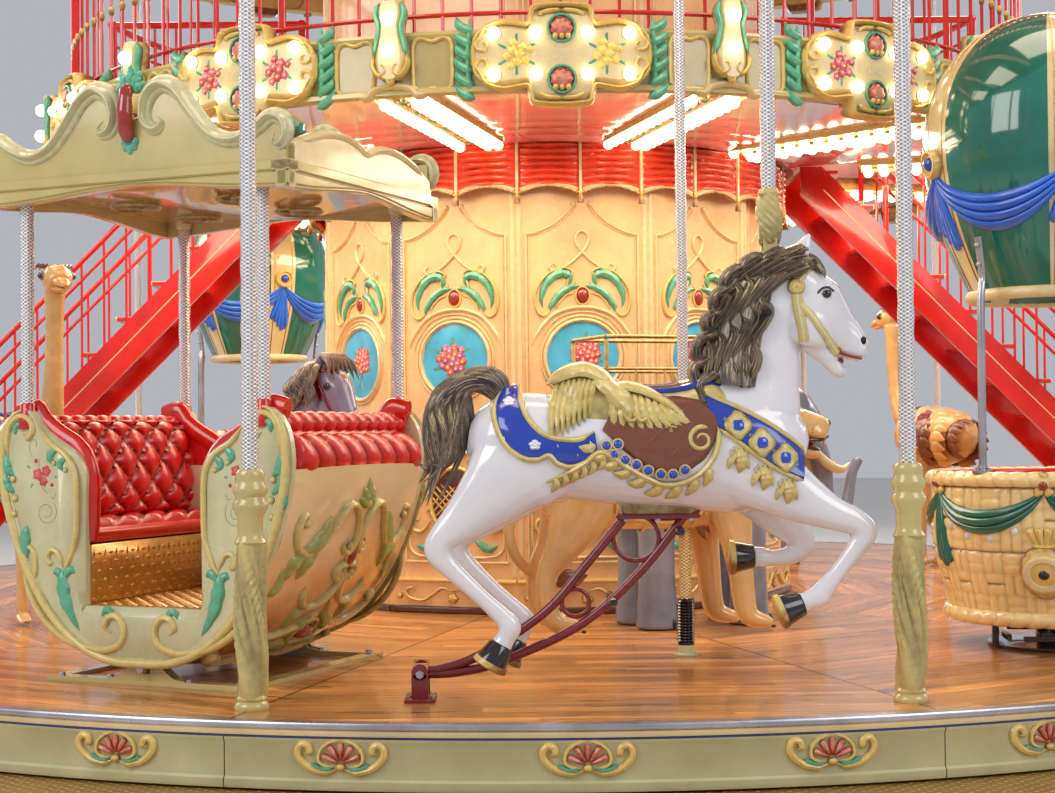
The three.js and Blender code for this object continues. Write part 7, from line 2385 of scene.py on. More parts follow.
def pony_meshes():
    """The grey horse's skin, and its streaked mane, tail, hooves, bridle and cloth."""
    skin = Shape("pony_skin")
    skin.add_all([limb(PONY_TRUNK, 44, 24), limb(PONY_NECK, 30, 22), limb(PONY_HEAD, 34, 20)], "pony_gloss")
    for x, y in ((-0.3, 0.095), (0.29, 0.09)):
        for side in (-1, 1):
            skin.add(limb([(x + a, side * y * b, z, w, h) for a, b, z, w, h in PONY_LEG], 34, 16),
                     "pony_gloss")
    for side in (-1, 1):
        skin.add(limb([(0.57, side * 0.045, 1.41, 0.022, 0.026), (0.585, side * 0.052, 1.45, 0.022, 0.026),
                       (0.6, side * 0.052, 1.49, 0.006, 0.008)], 12, 10), "pony_gloss")
        skin.add(limb([(0.59, side * 0.05, 1.24, 0.02, 0.03), (0.63, side * 0.055, 1.22, 0.03, 0.06),
                       (0.68, side * 0.045, 1.17, 0.02, 0.04)], 12, 12), "pony_gloss")
    body = skin.fused(0.0105)
    fine = Shape("pony_details")
    crest = smooth_path([(0.62, 1.455), (0.56, 1.46), (0.49, 1.42), (0.42, 1.32), (0.35, 1.2), (0.27, 1.1)],
                        16)
    for k, (x, z) in enumerate(crest):
        for side, offset in ((-1, 0.0), (-1, 0.5), (1, 0.25)):
            drop = (0.2 + 0.05 * math.sin(1.7 * k)) * (0.85 + 0.4 * offset)
            wave = 0.02 * math.cos(2.2 * k + 5 * offset)
            start = np.array([x - 0.01, side * 0.012, z - 0.01])
            fine.add(lock([start, start + (-0.02, side * 0.06, -drop * 0.15),
                           start + (-0.03 + wave, side * 0.105, -drop * 0.5),
                           start + (-0.01 - wave, side * 0.12, -drop * 0.8),
                           start + (-0.05, side * 0.12, -drop)], 0.028, 0.6, up=(0, side, 0.2)),
                           "mane_streaked")
    for k in range(7):
        sway = 0.02 * (k - 3)
        fine.add(lock([(0.56, sway * 0.7, 1.455), (0.625, sway, 1.475), (0.69, sway * 1.5, 1.43),
                       (0.715, sway * 1.9, 1.35)], 0.021, 0.6), "mane_streaked")
    for k in range(12):
        turn = 2 * math.pi * k / 12
        spread = (np.array([0.2, 0.6, 1.0, 0.9, 0.4])[:, None]
                  * np.array([0.05 * math.cos(turn), 0.045 * math.sin(turn), 0.02 * math.cos(2 * turn)]))
        path = (np.array([(-0.38, 0, 1.0), (-0.47, 0, 1.0), (-0.54, 0, 0.88), (-0.56, 0, 0.7),
                          (-0.57, 0, 0.55 + 0.03 * (k % 3))]) + spread)
        fine.add(lock(path, 0.03, 0.7, 20, 8), "mane_streaked")
    eyes(fine, 0.665, 0.083, 1.315, 0.017)
    for x, y in ((-0.28, 0.095), (0.31, 0.09)):
        for side in (-1, 1):
            hoof = lathe([(0, 0.0015), (0.062, 0.0015), (0.064, 0.012), (0.05, 0.088), (0, 0.09)], 20)
            fine.add(moved(hoof * (1.02, 0.95, 1), x, side * y, 0), "black_gloss")
            fine.add(moved(lathe([(0, 0.012), (0.0655, 0.012), (0.063, 0.028), (0, 0.028)], 20) * (1.02,
                    0.95, 1), x, side * y, 0), "gilded")
    for side in (-1, 1):
        place = flank([body], side, 0.012)
        for path, wide in (([(0.585, 1.41), (0.6, 1.33), (0.615, 1.24)], 0.012),
                           ([(0.6, 1.4), (0.65, 1.405), (0.69, 1.39)], 0.012),
                           ([(0.6, 1.36), (0.66, 1.24), (0.72, 1.13)], 0.011),
                           ([(0.69, 1.1), (0.74, 1.13), (0.79, 1.15)], 0.012)):
            fine.add(moulding(path, wide, 0.012, 20, 8, taper=False), "crimson_gloss", place)
        blossom(fine, 0.6, 1.385, 0.02, "gilded", place, 5, "gilded", 0.6)
    fine.add(tube(smooth_path([(0.685, 0, 1.405), (0.735, 0, 1.3), (0.785, 0, 1.19)], 20), 0.0125, 8),
             "crimson_gloss")
    star = dome(0, 0, 0.034, 0.034, 0.014, 6, 0.34, 4, 36)[..., [2, 0, 1]]
    fine.add(star + (0.725, 0, 1.345), "gilded")
    low = [(-0.27, 1.02), (-0.28, 0.92), (-0.24, 0.82), (-0.1, 0.79), (0.06, 0.8), (0.13, 0.86),
           (0.15, 0.95), (0.13, 1.03)]
    high = [(-0.25, 1.05), (-0.2, 1.055), (-0.14, 1.055), (-0.08, 1.055), (-0.02, 1.055), (0.03, 1.055),
            (0.07, 1.055), (0.11, 1.05)]
    saddle_cloth(fine, [body], (low, high), "blanket_blue")
    top = smooth_path([(-0.24, 1.06), (-0.2, 1.1), (-0.12, 1.075), (-0.02, 1.068), (0.07, 1.09),
                       (0.12, 1.11), (0.15, 1.07)], 40)
    seat = np.column_stack([top[:, 0], 0 * top[:, 0], np.full(40, 0.97)])
    fine.add(tube(seat, top[:, 1] - 0.97, 36, up=(0, 1, 0), flat=0.13 / (top[:, 1] - 0.97)), "saddle_brown")
    return thinned(body, 23000), fine.mesh(most=17000)


def ostrich_meshes():
    """The ostrich's skin, and its feathers, face, bill, toes and cloth."""
    skin = Shape("ostrich_skin")
    skin.add_all([limb(OSTRICH_BODY, 40, 24), limb(OSTRICH_NECK, 44, 18), limb(OSTRICH_HEAD, 20, 18)],
                 "ostrich_tan")
    for side in (-1, 1):
        skin.add(limb([(0.02, side * 0.09, 0.9, 0.07, 0.09), (-0.01, side * 0.09, 0.74, 0.06, 0.07),
                       (-0.035, side * 0.09, 0.58, 0.04, 0.044), (-0.035, side * 0.09, 0.52, 0.04, 0.044),
                       (-0.01, side * 0.09, 0.4, 0.031, 0.033), (0.01, side * 0.09, 0.2, 0.03, 0.032),
                       (0.01, side * 0.09, 0.05, 0.034, 0.036)], 40, 14), "ostrich_tan")
        for y, reach in ((-0.022, 0.145), (0.024, 0.11)):
            skin.add(limb([(-0.05, side * 0.09, 0.04, 0.025, 0.028),
                           (0.03, side * 0.09 + y * 0.7, 0.036, 0.027, 0.028),
                           (reach, side * 0.09 + y, 0.02, 0.014, 0.014)], 14, 10), "ostrich_tan")
    body = skin.fused(0.0105)
    fine = Shape("ostrich_details")
    upper = limb([(0.52, 0, 1.925, 0.05, 0.035), (0.58, 0, 1.915, 0.046, 0.028),
                  (0.63, 0, 1.9, 0.034, 0.02), (0.66, 0, 1.885, 0.015, 0.01)], 16, 14)
    lower = limb([(0.52, 0, 1.885, 0.044, 0.022), (0.58, 0, 1.873, 0.036, 0.016),
                  (0.635, 0, 1.868, 0.016, 0.008)], 14, 14)
    fine.add(upper, "beak_orange")
    fine.add(lower, "beak_orange")
    fine.add(moved(ball(0.083, 20, 13) * (0.78, 0.98, 0.82), 0.49, 0, 1.925), "beak_orange")
    eyes(fine, 0.475, 0.086, 1.955, 0.02)
    for k in range(9):
        sway = 0.016 * (k - 4)
        fine.add(lock([(0.45, sway, 2.0), (0.43, sway * 1.4, 2.015), (0.4, sway * 1.7, 1.99)], 0.012, 0.7,
                      8, 6), "saddle_brown")
    for row, (x, z, count, size) in enumerate(((0.16, 1.1, 6, 0.05), (0.05, 1.06, 7, 0.055),
                                               (-0.07, 1.03, 7, 0.058), (-0.19, 1.02, 7, 0.058),
                                               (-0.3, 1.03, 6, 0.052))):
        for side in (-1, 1):
            for k in range(count):
                turn = math.radians(12 + 125 * k / (count - 1) + 6 * (row % 2))
                reach = (0.17, 0.215, 0.218, 0.2, 0.15)[row]
                out = np.array([0, side * math.sin(turn), math.cos(turn)])
                start = np.array([x, 0, z - 0.05]) + out * reach * 0.97
                fine.add(lock([start, start + out * 0.014 + (-0.08, 0, -0.01), start + out * 0.004
                               + (-0.17, 0, -0.03)], size, 0.3, 12, 10, up=out),
                               ("feather_brown", "ostrich_tan")[row % 2])
    for k in range(9):
        turn = math.radians(-80 + 20 * k)
        end = np.array([-0.44, 0.1 * math.sin(turn), 1.06 + 0.06 * math.cos(turn)])
        fine.add(lock([(-0.33, 0, 1.05), (-0.38, 0.07 * math.sin(turn), 1.06 + 0.05 * math.cos(turn)), end],
                      0.034, 0.5, 12, 8), "feather_brown")
    low = [(-0.16, 1.14), (-0.17, 1.03), (-0.12, 0.93), (0.0, 0.9), (0.1, 0.94), (0.14, 1.03), (0.13, 1.13)]
    high = [(-0.14, 1.19), (-0.09, 1.2), (-0.04, 1.205), (0.01, 1.205), (0.05, 1.205), (0.08, 1.2),
            (0.11, 1.19)]
    saddle_cloth(fine, [body], (low, high), "crimson_gloss", fringe=7)
    return thinned(body, 20000), fine.mesh(most=13000)


class CAROUSEL_OT_figures(bpy.types.Operator):
    """Lions on jumping poles with their bellows, elephants with a railed seat, grey horses and ostriches"""

    bl_idname = "carousel.figures"
    bl_label = "Figures"

    def execute(self, context):
        """Each kind is made once: limbs fused to a skin, with its details laid on it."""
        for name, meshes, angles, distance, slot in (
                ("lion", lion_meshes(), LIONS, LION_RING, "lion"),
                ("elephant", elephant_meshes(), ELEPHANTS, ELEPHANT_RING, "figure_grey"),
                ("pony", pony_meshes(), PONIES, PONY_RING, "figure_grey"),
                ("ostrich", ostrich_meshes(), OSTRICHES, OSTRICH_RING, "figure_tan")):
            body = "lion_#" if name == "lion" else "turntable"
            put_rides(name + "_skin_#", meshes[0], angles, distance, body, name + "_#", slot=slot)
            put_rides(name + "_dress_#", meshes[1], angles, distance, body, slot=slot)
        bellows = Shape("lion_bellows")
        rows = np.arange(14)
        ribs = np.stack([np.where(np.arange(28) % 2, 0.044, 0.036), 0.066 + np.repeat(rows, 2) * 0.0142
                         + (np.arange(28) % 2) * 0.005], -1)
        profile = np.concatenate([[(0.0305, 0.05), (0.04, 0.05), (0.04, 0.062)], ribs,
                                  [(0.038, 0.262), (0.04, 0.27), (0.0305, 0.27)]])
        bellows.add(hoop(profile, 28), "black_gloss")
        bellows.add(hoop([(0.0305, 0.001), (0.06, 0.001), (0.06, 0.008), (0.042, 0.014), (0.04, 0.0495),
                          (0.0305, 0.0495)], 28), "cream_gloss")
        put_rides("lion_bellows_#", bellows.mesh(), LIONS, LION_RING, "turntable", slot="pearl")
        return {"FINISHED"}


# Mezzanine: ceiling, light ribs, fascia, railings. Then the roof

PLATE_EDGE = [(-0.435, 0.0), (-0.43, 0.05), (-0.4, 0.09), (-0.37, 0.14), (-0.29, 0.168), (-0.21, 0.158),
              (-0.165, 0.155), (-0.15, 0.2), (-0.135, 0.236), (-0.06, 0.246), (0, 0.248)]
STAIR_RIBS = (75, 105, 255, 285)
FASCIA_FOOT = DECK + 2.725
PLATE_HEIGHT = DECK + 2.908
PENDANT_HEIGHT = DECK + 2.955
ROOF_RIBS = 24
ROOF_BAY = 360 / ROOF_RIBS


def on_ceiling(height, angles=0.0):
    """Turns a plate to face down: x runs along the tangent, y out from the axis and z down."""
    def place(grid):
        """Plate y becomes the distance from the axis."""
        return turned(np.stack([grid[..., 0], -grid[..., 1], height - grid[..., 2]], -1), angles)
    return place


def bulbs(shape, places, place, size=1.0):
    """Lamps at points of a plate, each a globe."""
    radius = bpy.context.scene.carousel_sizes.bulb * size
    at = place(np.asarray(places, float)[None]).reshape(-1, 3)
    shape.add(at_points(ball(radius, 10, 7), at), "lamp")


def bouquet(shape, x, y, size, finishes, place, blooms=9, rise=0.008):
    """Blossoms along a sunflower spiral, each two lobed domes, with a wreath of pointed leaves."""
    for k in range(6):
        turn = math.radians(60 * k + 25)
        dx, dy = size * math.cos(turn), size * math.sin(turn)
        points = [(x + 0.55 * dx, y + 0.55 * dy), (x + 0.95 * dx - 0.1 * dy, y + 0.95 * dy + 0.1 * dx),
                  (x + 1.35 * dx, y + 1.3 * dy)]
        shape.add(leaf(points, size * 0.14, rise * 0.5, 2, 8, 5), "fine_green", place)
    for k in range(blooms):
        reach = size * 0.8 * math.sqrt((k + 0.3) / blooms)
        turn = math.radians(137.5 * k)
        at = (x + reach * math.cos(turn), y + reach * math.sin(turn))
        bloom = size * (0.34 - 0.1 * k / blooms)
        shape.add(dome(*at, bloom, bloom, rise * (1.3 - 0.5 * k / blooms), 5, 0.16, 3, 15, 40 * k),
                  finishes[k % len(finishes)], place)
        shape.add(dome(*at, bloom * 0.35, bloom * 0.35, rise * (1.7 - 0.5 * k / blooms), rings=3, sides=6),
                  "petal_yellow", place)


def mirrored_edge(half):
    """An edge from left to right, from its left half."""
    half = np.asarray(half, float)
    return np.concatenate([half, half[-2::-1] * (-1, 1)])


def lamp_plates(shape, lamps, radius, height, angles):
    """Bulb plates wrapped round a ring of boards: a bordered panel with curls, two shells and eight
    lamps."""
    place = on_round(radius, height, angles)
    top = mirrored_edge(PLATE_EDGE)
    shape.add(panel(top, top * (1, -1), 0.045, 121, 9, 0.05, 0.03), "fascia_carving", place)
    loop = np.concatenate([top, top[::-1] * (1, -1)])
    shape.add(moulding(loop * 0.985, 0.016, 0.062, 180, 8, taper=False), "gilded", place)
    lifted = on_round(radius + 0.042, height, angles)
    curls = ([(0.33, 0.135), (0.39, 0.12), (0.425, 0.075), (0.415, 0.03), (0.375, 0.022), (0.365, 0.05),
              (0.385, 0.06)], [(0.115, 0.19), (0.07, 0.21), (0.0, 0.215)])
    for points in curls:
        for flip in (1, -1):
            for side in mirror(np.asarray(points) * (1, flip)):
                shape.add(moulding(side, 0.011, 0.017, 26, 8), "gilded", lifted)
    for flip in (1, -1):
        shape.add(dome(0, 0.125 * flip, 0.062, 0.056, 0.03, 9, 0.07, 5, 36), "red_shell", lifted)
        rim = round_path(0, 0.125 * flip, 0.066, 0, 360, 30)
        shape.add(moulding(rim, 0.009, 0.018, 44, 6, taper=False), "fine_green", lifted)
        for x in (-0.03, 0, 0.03):
            shape.add(dome(x, (0.085 if flip > 0 else -0.165), 0.017, 0.02, 0.032, rings=4, sides=10),
                      "gilded", lifted)
    for side in (1, -1):
        curl = round_path(0.035 * side, -0.005, 0.032, 90, 540 * side, 36, 0.25)
        shape.add(moulding(curl, 0.003, 0.004, 40, 5), "steel", lifted)
        stem = [(0.06 * side, 0.03), (0.1 * side, 0.02), (0.13 * side, -0.01)]
        shape.add(moulding(stem, 0.0025, 0.003, 12, 5), "fine_green", lifted)
    places = [(x, y, 0.055) for x in (-0.326, -0.123, 0.123, 0.326) for y in (-0.1, 0.1)]
    bulbs(lamps, places, on_round(radius, height, angles), 1.25)
    for x, y, _ in places:
        shape.add(lathe([(0, 0), (0.03, 0), (0.034, 0.006), (0.022, 0.012), (0, 0.012)], 14) + (x, y, 0),
                  "gilded", lifted)
    for side in (1, -1):
        x = side * 0.455
        for k, y in enumerate((-0.16, -0.095, -0.03, 0.035, 0.1, 0.165)):
            tip = side * (0.538 - 0.022 * (k % 2))
            points = [(x - side * 0.03, y - 0.045), (x + side * 0.012, y - 0.028), (x + side * 0.05, y),
                      (tip, y + 0.04)]
            shape.add(leaf(points, 0.023, 0.03 + 0.006 * (k % 2), 2, 14, 8), "acanthus", place)
        shape.add(moulding([(side * 0.45, -0.19), (side * 0.457, 0.0), (side * 0.45, 0.19)], 0.016, 0.03,
                           20, 8), "acanthus", place)


def pendants(shape, lamps, radius, height, angles):
    """Lamp holders that hang over the joints: a waisted body with green edges, two lamps and two
    scrolls."""
    place = on_round(radius, height, angles)
    left = [(-0.05, 0.24), (-0.075, 0.19), (-0.06, 0.12), (-0.07, 0.06), (-0.092, -0.02), (-0.088, -0.09),
            (-0.05, -0.14), (0, -0.15)]
    right = np.asarray(left) * (-1, 1)
    shape.add(panel(left, right, 0.062, 50, 11, 0.2, 0.03), "fascia_carving", place)
    lifted = on_round(radius + 0.035, height, angles)
    green = [(0.055, 0.235), (0.075, 0.18), (0.058, 0.11), (0.07, 0.04), (0.09, -0.03)]
    shape.pair(moulding, green, "acanthus", lifted, 0.014, 0.026, 36, 8)
    scroll = [(0.085, -0.02), (0.09, -0.08), (0.055, -0.128), (0.02, -0.11), (0.03, -0.075), (0.05, -0.09)]
    shape.pair(moulding, scroll, "gilded", lifted, 0.013, 0.034, 36, 8)
    shape.add(moulding([(-0.02, -0.13), (0, -0.17), (0.02, -0.13)], 0.012, 0.03, 16, 8), "gilded", lifted)
    bulbs(lamps, [(0, 0.15, 0.075), (0, -0.01, 0.08)], place, 1.35)


def board_borders(shape, radius, height, centres):
    """Raised ogee borders on the boards between plate and pendant."""
    place = on_round(radius, height, centres)
    border = [(-0.095, -0.11), (-0.1, 0.0), (-0.095, 0.1), (-0.055, 0.128), (0.0, 0.11), (0.055, 0.128),
              (0.095, 0.1), (0.1, 0.0), (0.095, -0.11), (0.05, -0.14), (0, -0.12), (-0.05, -0.14),
              (-0.095, -0.11)]
    shape.add(moulding(border, 0.012, 0.018, 70, 8, taper=False), "gilded", place)


class CAROUSEL_OT_mezzanine(bpy.types.Operator):
    """Ceiling cloth, light ribs, the fascia with its lamps, and the railings of the upper storey"""

    bl_idname = "carousel.mezzanine"
    bl_label = "Mezzanine"

    def execute(self, context):
        """Everything repeats by sector; the sectors over the stairs stay open."""
        dress("upper_floor", "ceiling_pink")
        open_sectors = np.array([a for a in EVERY if a not in STAIRS])
        folds = Shape("ceiling_cloth")
        t, s = np.meshgrid(np.linspace(-1, 1, 25), np.linspace(0, 1, 81), indexing="ij")
        reach = 1.66 + 1.36 * s
        turn = np.radians(15 * t) * (1 - 0.09 / reach * 1.6)
        ripple = np.abs(np.sin(np.pi * (7 * s + 0.9 * t ** 2))) ** 0.7
        deep = (0.012 + 0.03 * ripple * np.sqrt(1 - np.abs(t) ** 3 * 0.9) * np.exp(-6 * s)
                + 0.02 * (1 - t ** 2))
        cloth = about(reach, turn, CEILING - deep)
        rim = np.concatenate([cloth, (cloth * (1, 1, 0) + (0, 0, CEILING - 0.001))[:, ::-1]], 1)
        folds.add(capped(rim), "ceiling_pink", around(open_sectors))
        folds.build("turntable", slot="ceiling", most=30000)

        self.ribs()
        boards, lamps = Shape("mezzanine_fascia"), Shape("mezzanine_lamps")
        low = FASCIA_FOOT
        boards.add(hoop([(MEZZANINE + 0.002, low + 0.012), (FASCIA + 0.004, low),
                         (FASCIA + 0.024, low + 0.012), (FASCIA + 0.02, low + 0.034),
                         (FASCIA + 0.002, low + 0.046), (FASCIA, low + 0.27), (FASCIA + 0.014, low + 0.285),
                         (FASCIA + 0.02, low + 0.3), (FASCIA + 0.008, low + 0.318),
                         (MEZZANINE + 0.002, low + 0.318)], RING_SIDES), "olive_plain")
        lamp_plates(boards, lamps, FASCIA, PLATE_HEIGHT, EVERY)
        for k, angle in enumerate(EVERY):
            finishes = (("petal_yellow",), ("petal_red", "petal_pink"))[k % 2]
            for x in (-0.22, 0.22):
                bouquet(boards, x, 0, 0.088, finishes, on_round(FASCIA + 0.043, PLATE_HEIGHT, angle))
        pendants(boards, lamps, FASCIA + 0.01, PENDANT_HEIGHT, EVERY + SECTOR / 2)
        for shift in (-SECTOR / 2 + 3.6, SECTOR / 2 - 3.6):
            board_borders(boards, FASCIA, DECK + 2.885, EVERY + shift)
        lip = [(-0.2, 0.0), (-0.13, -0.015), (-0.09, 0.02), (0, 0.035), (0.09, 0.02), (0.13, -0.015),
               (0.2, 0.0)]
        boards.add(moulding(lip, 0.02, 0.045, 50, 8), "fascia_carving",
                   on_round(FASCIA, DECK + 2.745, EVERY + SECTOR / 2))
        boards.build("turntable", "upper_fascia", slot="cream_gloss", most=96000)
        lamps.build("turntable", slot="cream_gloss")
        self.railings()
        return {"FINISHED"}

    def ribs(self):
        """Each rib is a moulded beam that carries three rows of lamps and a strip of flowers and leaves."""
        ribs, lamps = Shape("mezzanine_ribs"), Shape("rib_lamps")
        full = np.array([a for a in EVERY + SECTOR / 2 if a not in STAIR_RIBS])
        low = CEILING - 0.012
        for angles, start in ((full, 1.62), (np.array(STAIR_RIBS), 2.08)):
            place = on_ceiling(CEILING - 0.006, angles)
            beam = slab(-0.145, 0.145, start, 3.09, 0, 0.032, 0.006)
            ribs.add(beam, "fascia_carving", place, crown=0.8)
            for x in (-0.15, 0.15, 0.02, -0.075):
                rail = [(x, start), (x, 0.5 * (start + 3.09)), (x, 3.09)]
                ribs.add(moulding(rail, 0.009, 0.042, 8, 8, taper=False), "gilded", place)
            steps = np.arange(start + 0.05, 3.08, 0.102)
            bulbs(lamps, [(x, r, 0.05) for x in (-0.115, 0.055, 0.115) for r in steps],
                  on_ceiling(CEILING - 0.006, angles), 1.15)
            for k, r in enumerate(np.arange(start + 0.06, 3.05, 0.12)):
                strip = on_ceiling(CEILING - 0.036, angles)
                ribs.add(dome(-0.028, r, 0.02, 0.02, 0.014, 5, 0.16, 4, 15), ("petal_red", "gilded")[k % 2],
                         strip)
                for side in (-1, 1):
                    points = [(-0.028, r + 0.02), (-0.028 + side * 0.02, r + 0.05),
                              (-0.028 + side * 0.028, r + 0.085)]
                    ribs.add(leaf(points, 0.011, 0.012, 2, 8, 5), ("gilded_leaf", "gilded")[k % 2], strip)
        for inner in (1.6, 3.04):
            ribs.add(hoop([(inner, low - 0.02), (inner + 0.05, low - 0.02), (inner + 0.05, low),
                           (inner, low)], 96), "gilded")
        ribs.build("turntable", "light_ribs", slot="cream_gloss", most=24000)
        lamps.build("turntable", slot="cream_gloss")

    def railings(self):
        """Round rails and thin balusters along both arcs and along the guards beside the stairwells."""
        ring, edge = MEZZANINE - 0.06, STAIR_HALF
        end = math.degrees(math.acos(edge / ring))
        for half, name in ((0, "front"), (180, "back")):
            rails = Shape("railing_" + name)
            turn = np.radians(np.linspace(-end, end, 90))
            for z, radius in ((0.03, 0.018), (0.16, 0.012), (0.84, 0.012), (0.975, 0.024)):
                path = about(ring, turn, np.full(90, UPPER_FLOOR + z))
                rails.add(turned(tube(path, radius, 8), half), "red_gloss")
            angles = np.arange(-29, 30) * SECTOR / 11
            bar = tube([(0, 0, UPPER_FLOOR + z) for z in (0.01, 0.5, 0.96)], 0.0095, 7, up=(0, 1, 0))
            collar = lathe([(0, UPPER_FLOOR + 0.47), (0.012, UPPER_FLOOR + 0.475),
                            (0.018, UPPER_FLOOR + 0.5), (0.012, UPPER_FLOOR + 0.525),
                            (0, UPPER_FLOOR + 0.53)], 8)
            for piece, finish in ((bar, "red_gloss"), (collar, "gilded")):
                rails.add(turned(moved(piece, 0, -ring, 0), half + angles), finish)
            reach = ring * math.sin(math.radians(end))
            for side in (-1, 1):
                for z, radius in ((0.03, 0.018), (0.975, 0.024)):
                    path = [(side * x, -edge, UPPER_FLOOR + z) for x in np.linspace(1.7, reach, 5)]
                    rails.add(turned(tube(path, radius, 8), half), "red_gloss")
                at = np.column_stack([side * np.linspace(1.7, reach, 10), np.full(10, -edge), np.zeros(10)])
                rails.add(turned(at_points(bar, at), half), "red_gloss")
                for x in (1.71, reach):
                    knob = lathe([(0, 0.0), (0.03, 0.0), (0.026, 0.02), (0.026, 0.96), (0.034, 0.98),
                                  (0.026, 1.0), (0, 1.0)], 12)
                    rails.add(turned(moved(knob, side * x, -edge, UPPER_FLOOR), half), "red_gloss")
            rails.build("turntable", "upper_railing_" + name, slot="red_gloss")


class CAROUSEL_OT_roof(bpy.types.Operator):
    """Roof frame, rod guides, rounding boards with lamps, striped cover and crown"""

    bl_idname = "carousel.roof"
    bl_label = "Roof"

    def execute(self, context):
        """The cover's radius follows the frame's profile and sags between 24 ribs."""
        dress("roof_frame", "red_gloss")
        for k in range(1, len(HORSES) + 1):
            dress(f"rod_guide_{k}", "red_gloss")
        low, outer = ROOF_BEAM - 0.26, POST_RING + 0.118
        boards, lamps = Shape("rounding_fascia"), Shape("rounding_lamps")
        boards.add(hoop([(outer - 0.045, low + 0.02), (outer, low), (outer + 0.018, low + 0.016),
                         (outer + 0.004, low + 0.04), (outer, low + 0.3), (outer + 0.016, low + 0.33),
                         (outer + 0.024, low + 0.36), (outer + 0.01, low + 0.378),
                         (outer - 0.045, low + 0.378)], RING_SIDES), "olive_plain")
        half = SECTOR / 2
        lamp_plates(boards, lamps, outer, low + 0.19, np.concatenate([EVERY, EVERY + half]))
        pendants(boards, lamps, outer + 0.006, low + 0.18, np.concatenate([EVERY, EVERY + half]) + half / 2)
        boards.build("turntable", "rounding_boards", slot="cream_gloss", most=76000)
        lamps.build("turntable", slot="cream_gloss")

        sweeps = Shape("sweep_lamps")
        rows = [(x, r, 0.012) for x in (-0.055, 0.055) for r in np.arange(1.7, 4.85, 0.15)]
        bulbs(sweeps, rows, on_ceiling(ROOF_BEAM, EVERY + half), 0.9)
        sweeps.build("turntable", slot="cream_gloss")

        base = ROOF_BEAM + 0.1205
        cover = Shape("roof_sheets")
        line = smooth_path([(POST_RING + 0.172, base + 0.005), (POST_RING + 0.16, base + 0.06),
                            (4.2, base + 0.31), (3.0, base + 0.76), (2.1, base + 1.08), (1.4, base + 1.38),
                            (0.9, base + 1.66), (0.63, base + 1.9)], 60)
        under = line[::-1] - (0, 0.05)
        under[0] = (0.58, base + 1.88)
        under[-1] = (POST_RING - 0.02, base + 0.003)
        profile = np.concatenate([line, under, line[:1]])
        turn = sided(8 * ROOF_RIBS)[None, :]
        sag = np.abs(np.sin(ROOF_RIBS / 2 * (turn + math.radians(ROOF_BAY / 2)))) ** 0.8
        middle = np.clip(np.sin(np.pi * np.linspace(0, 1, 60)), 0, 1)
        share = np.concatenate([middle, middle[::-1], middle[:1]])[:, None]
        z = profile[:, 1:] - 0.05 * share * sag
        cover.add(about(profile[:, :1], turn, z), "roof_stripes", crown=0.5)
        for k in range(ROOF_RIBS):
            angle = math.radians(ROOF_BAY * (k + 0.5))
            rib = np.stack([line[:, 0] * math.sin(angle), -line[:, 0] * math.cos(angle),
                            line[:, 1] + 0.006], -1)
            cover.add(tube(rib, 0.022, 8, flat=0.8), "gilded")
        cover.build("turntable", "roof_cover", slot="roof", most=36000)

        finial = Shape("crown_finial")
        top = base + 1.9
        line = smooth_path([(0, 0.001), (0.66, 0.001), (0.68, 0.03), (0.66, 0.06), (0.6, 0.08),
                            (0.56, 0.12), (0.5, 0.19), (0.42, 0.3), (0.36, 0.42), (0.3, 0.56), (0.2, 0.63),
                            (0.1, 0.66), (0.075, 0.7), (0.11, 0.75), (0.125, 0.81), (0.1, 0.88),
                            (0.05, 0.92), (0.03, 0.95), (0, 0.98)], 90)
        turn = sided(96)[None, :]
        lobe = (1 + 0.06 * (np.abs(np.cos(6 * turn)) ** 0.6 - 0.6)
                * np.exp(-((line[:, 1:] - 0.3) / 0.24) ** 2))
        finial.add(about(line[:, :1] * lobe, turn, top + line[:, 1:]),
                   "roof_stripes", crown=0.5)
        for angle in np.arange(ROOF_RIBS) * ROOF_BAY:
            spray = [(0, 0), (0.0, 0.07), (0.0, 0.15)]
            finial.add(leaf(spray, 0.05, 0.03, 3, 14, 8), "gilded", on_wall(0.655, top + 0.05, angle))
        finial.add(moved(ball(0.085, 20, 11), 0, 0, top + 0.8), "gilded")
        finial.add(hoop([(0.64, top + 0.01), (0.7, top + 0.02), (0.7, top + 0.05), (0.64, top + 0.06)], 96),
                   "gilded")
        finial.build("turntable", "crown", slot="cream_gloss", most=12000)
        return {"FINISHED"}


# The centre drum: panelled faces, round pictures, the plinth's lattice and the red swags under the ceiling


FRAME_CORNER = 2.229
PICTURE_HEIGHT = 1.5
PICTURE_RADIUS = 0.214


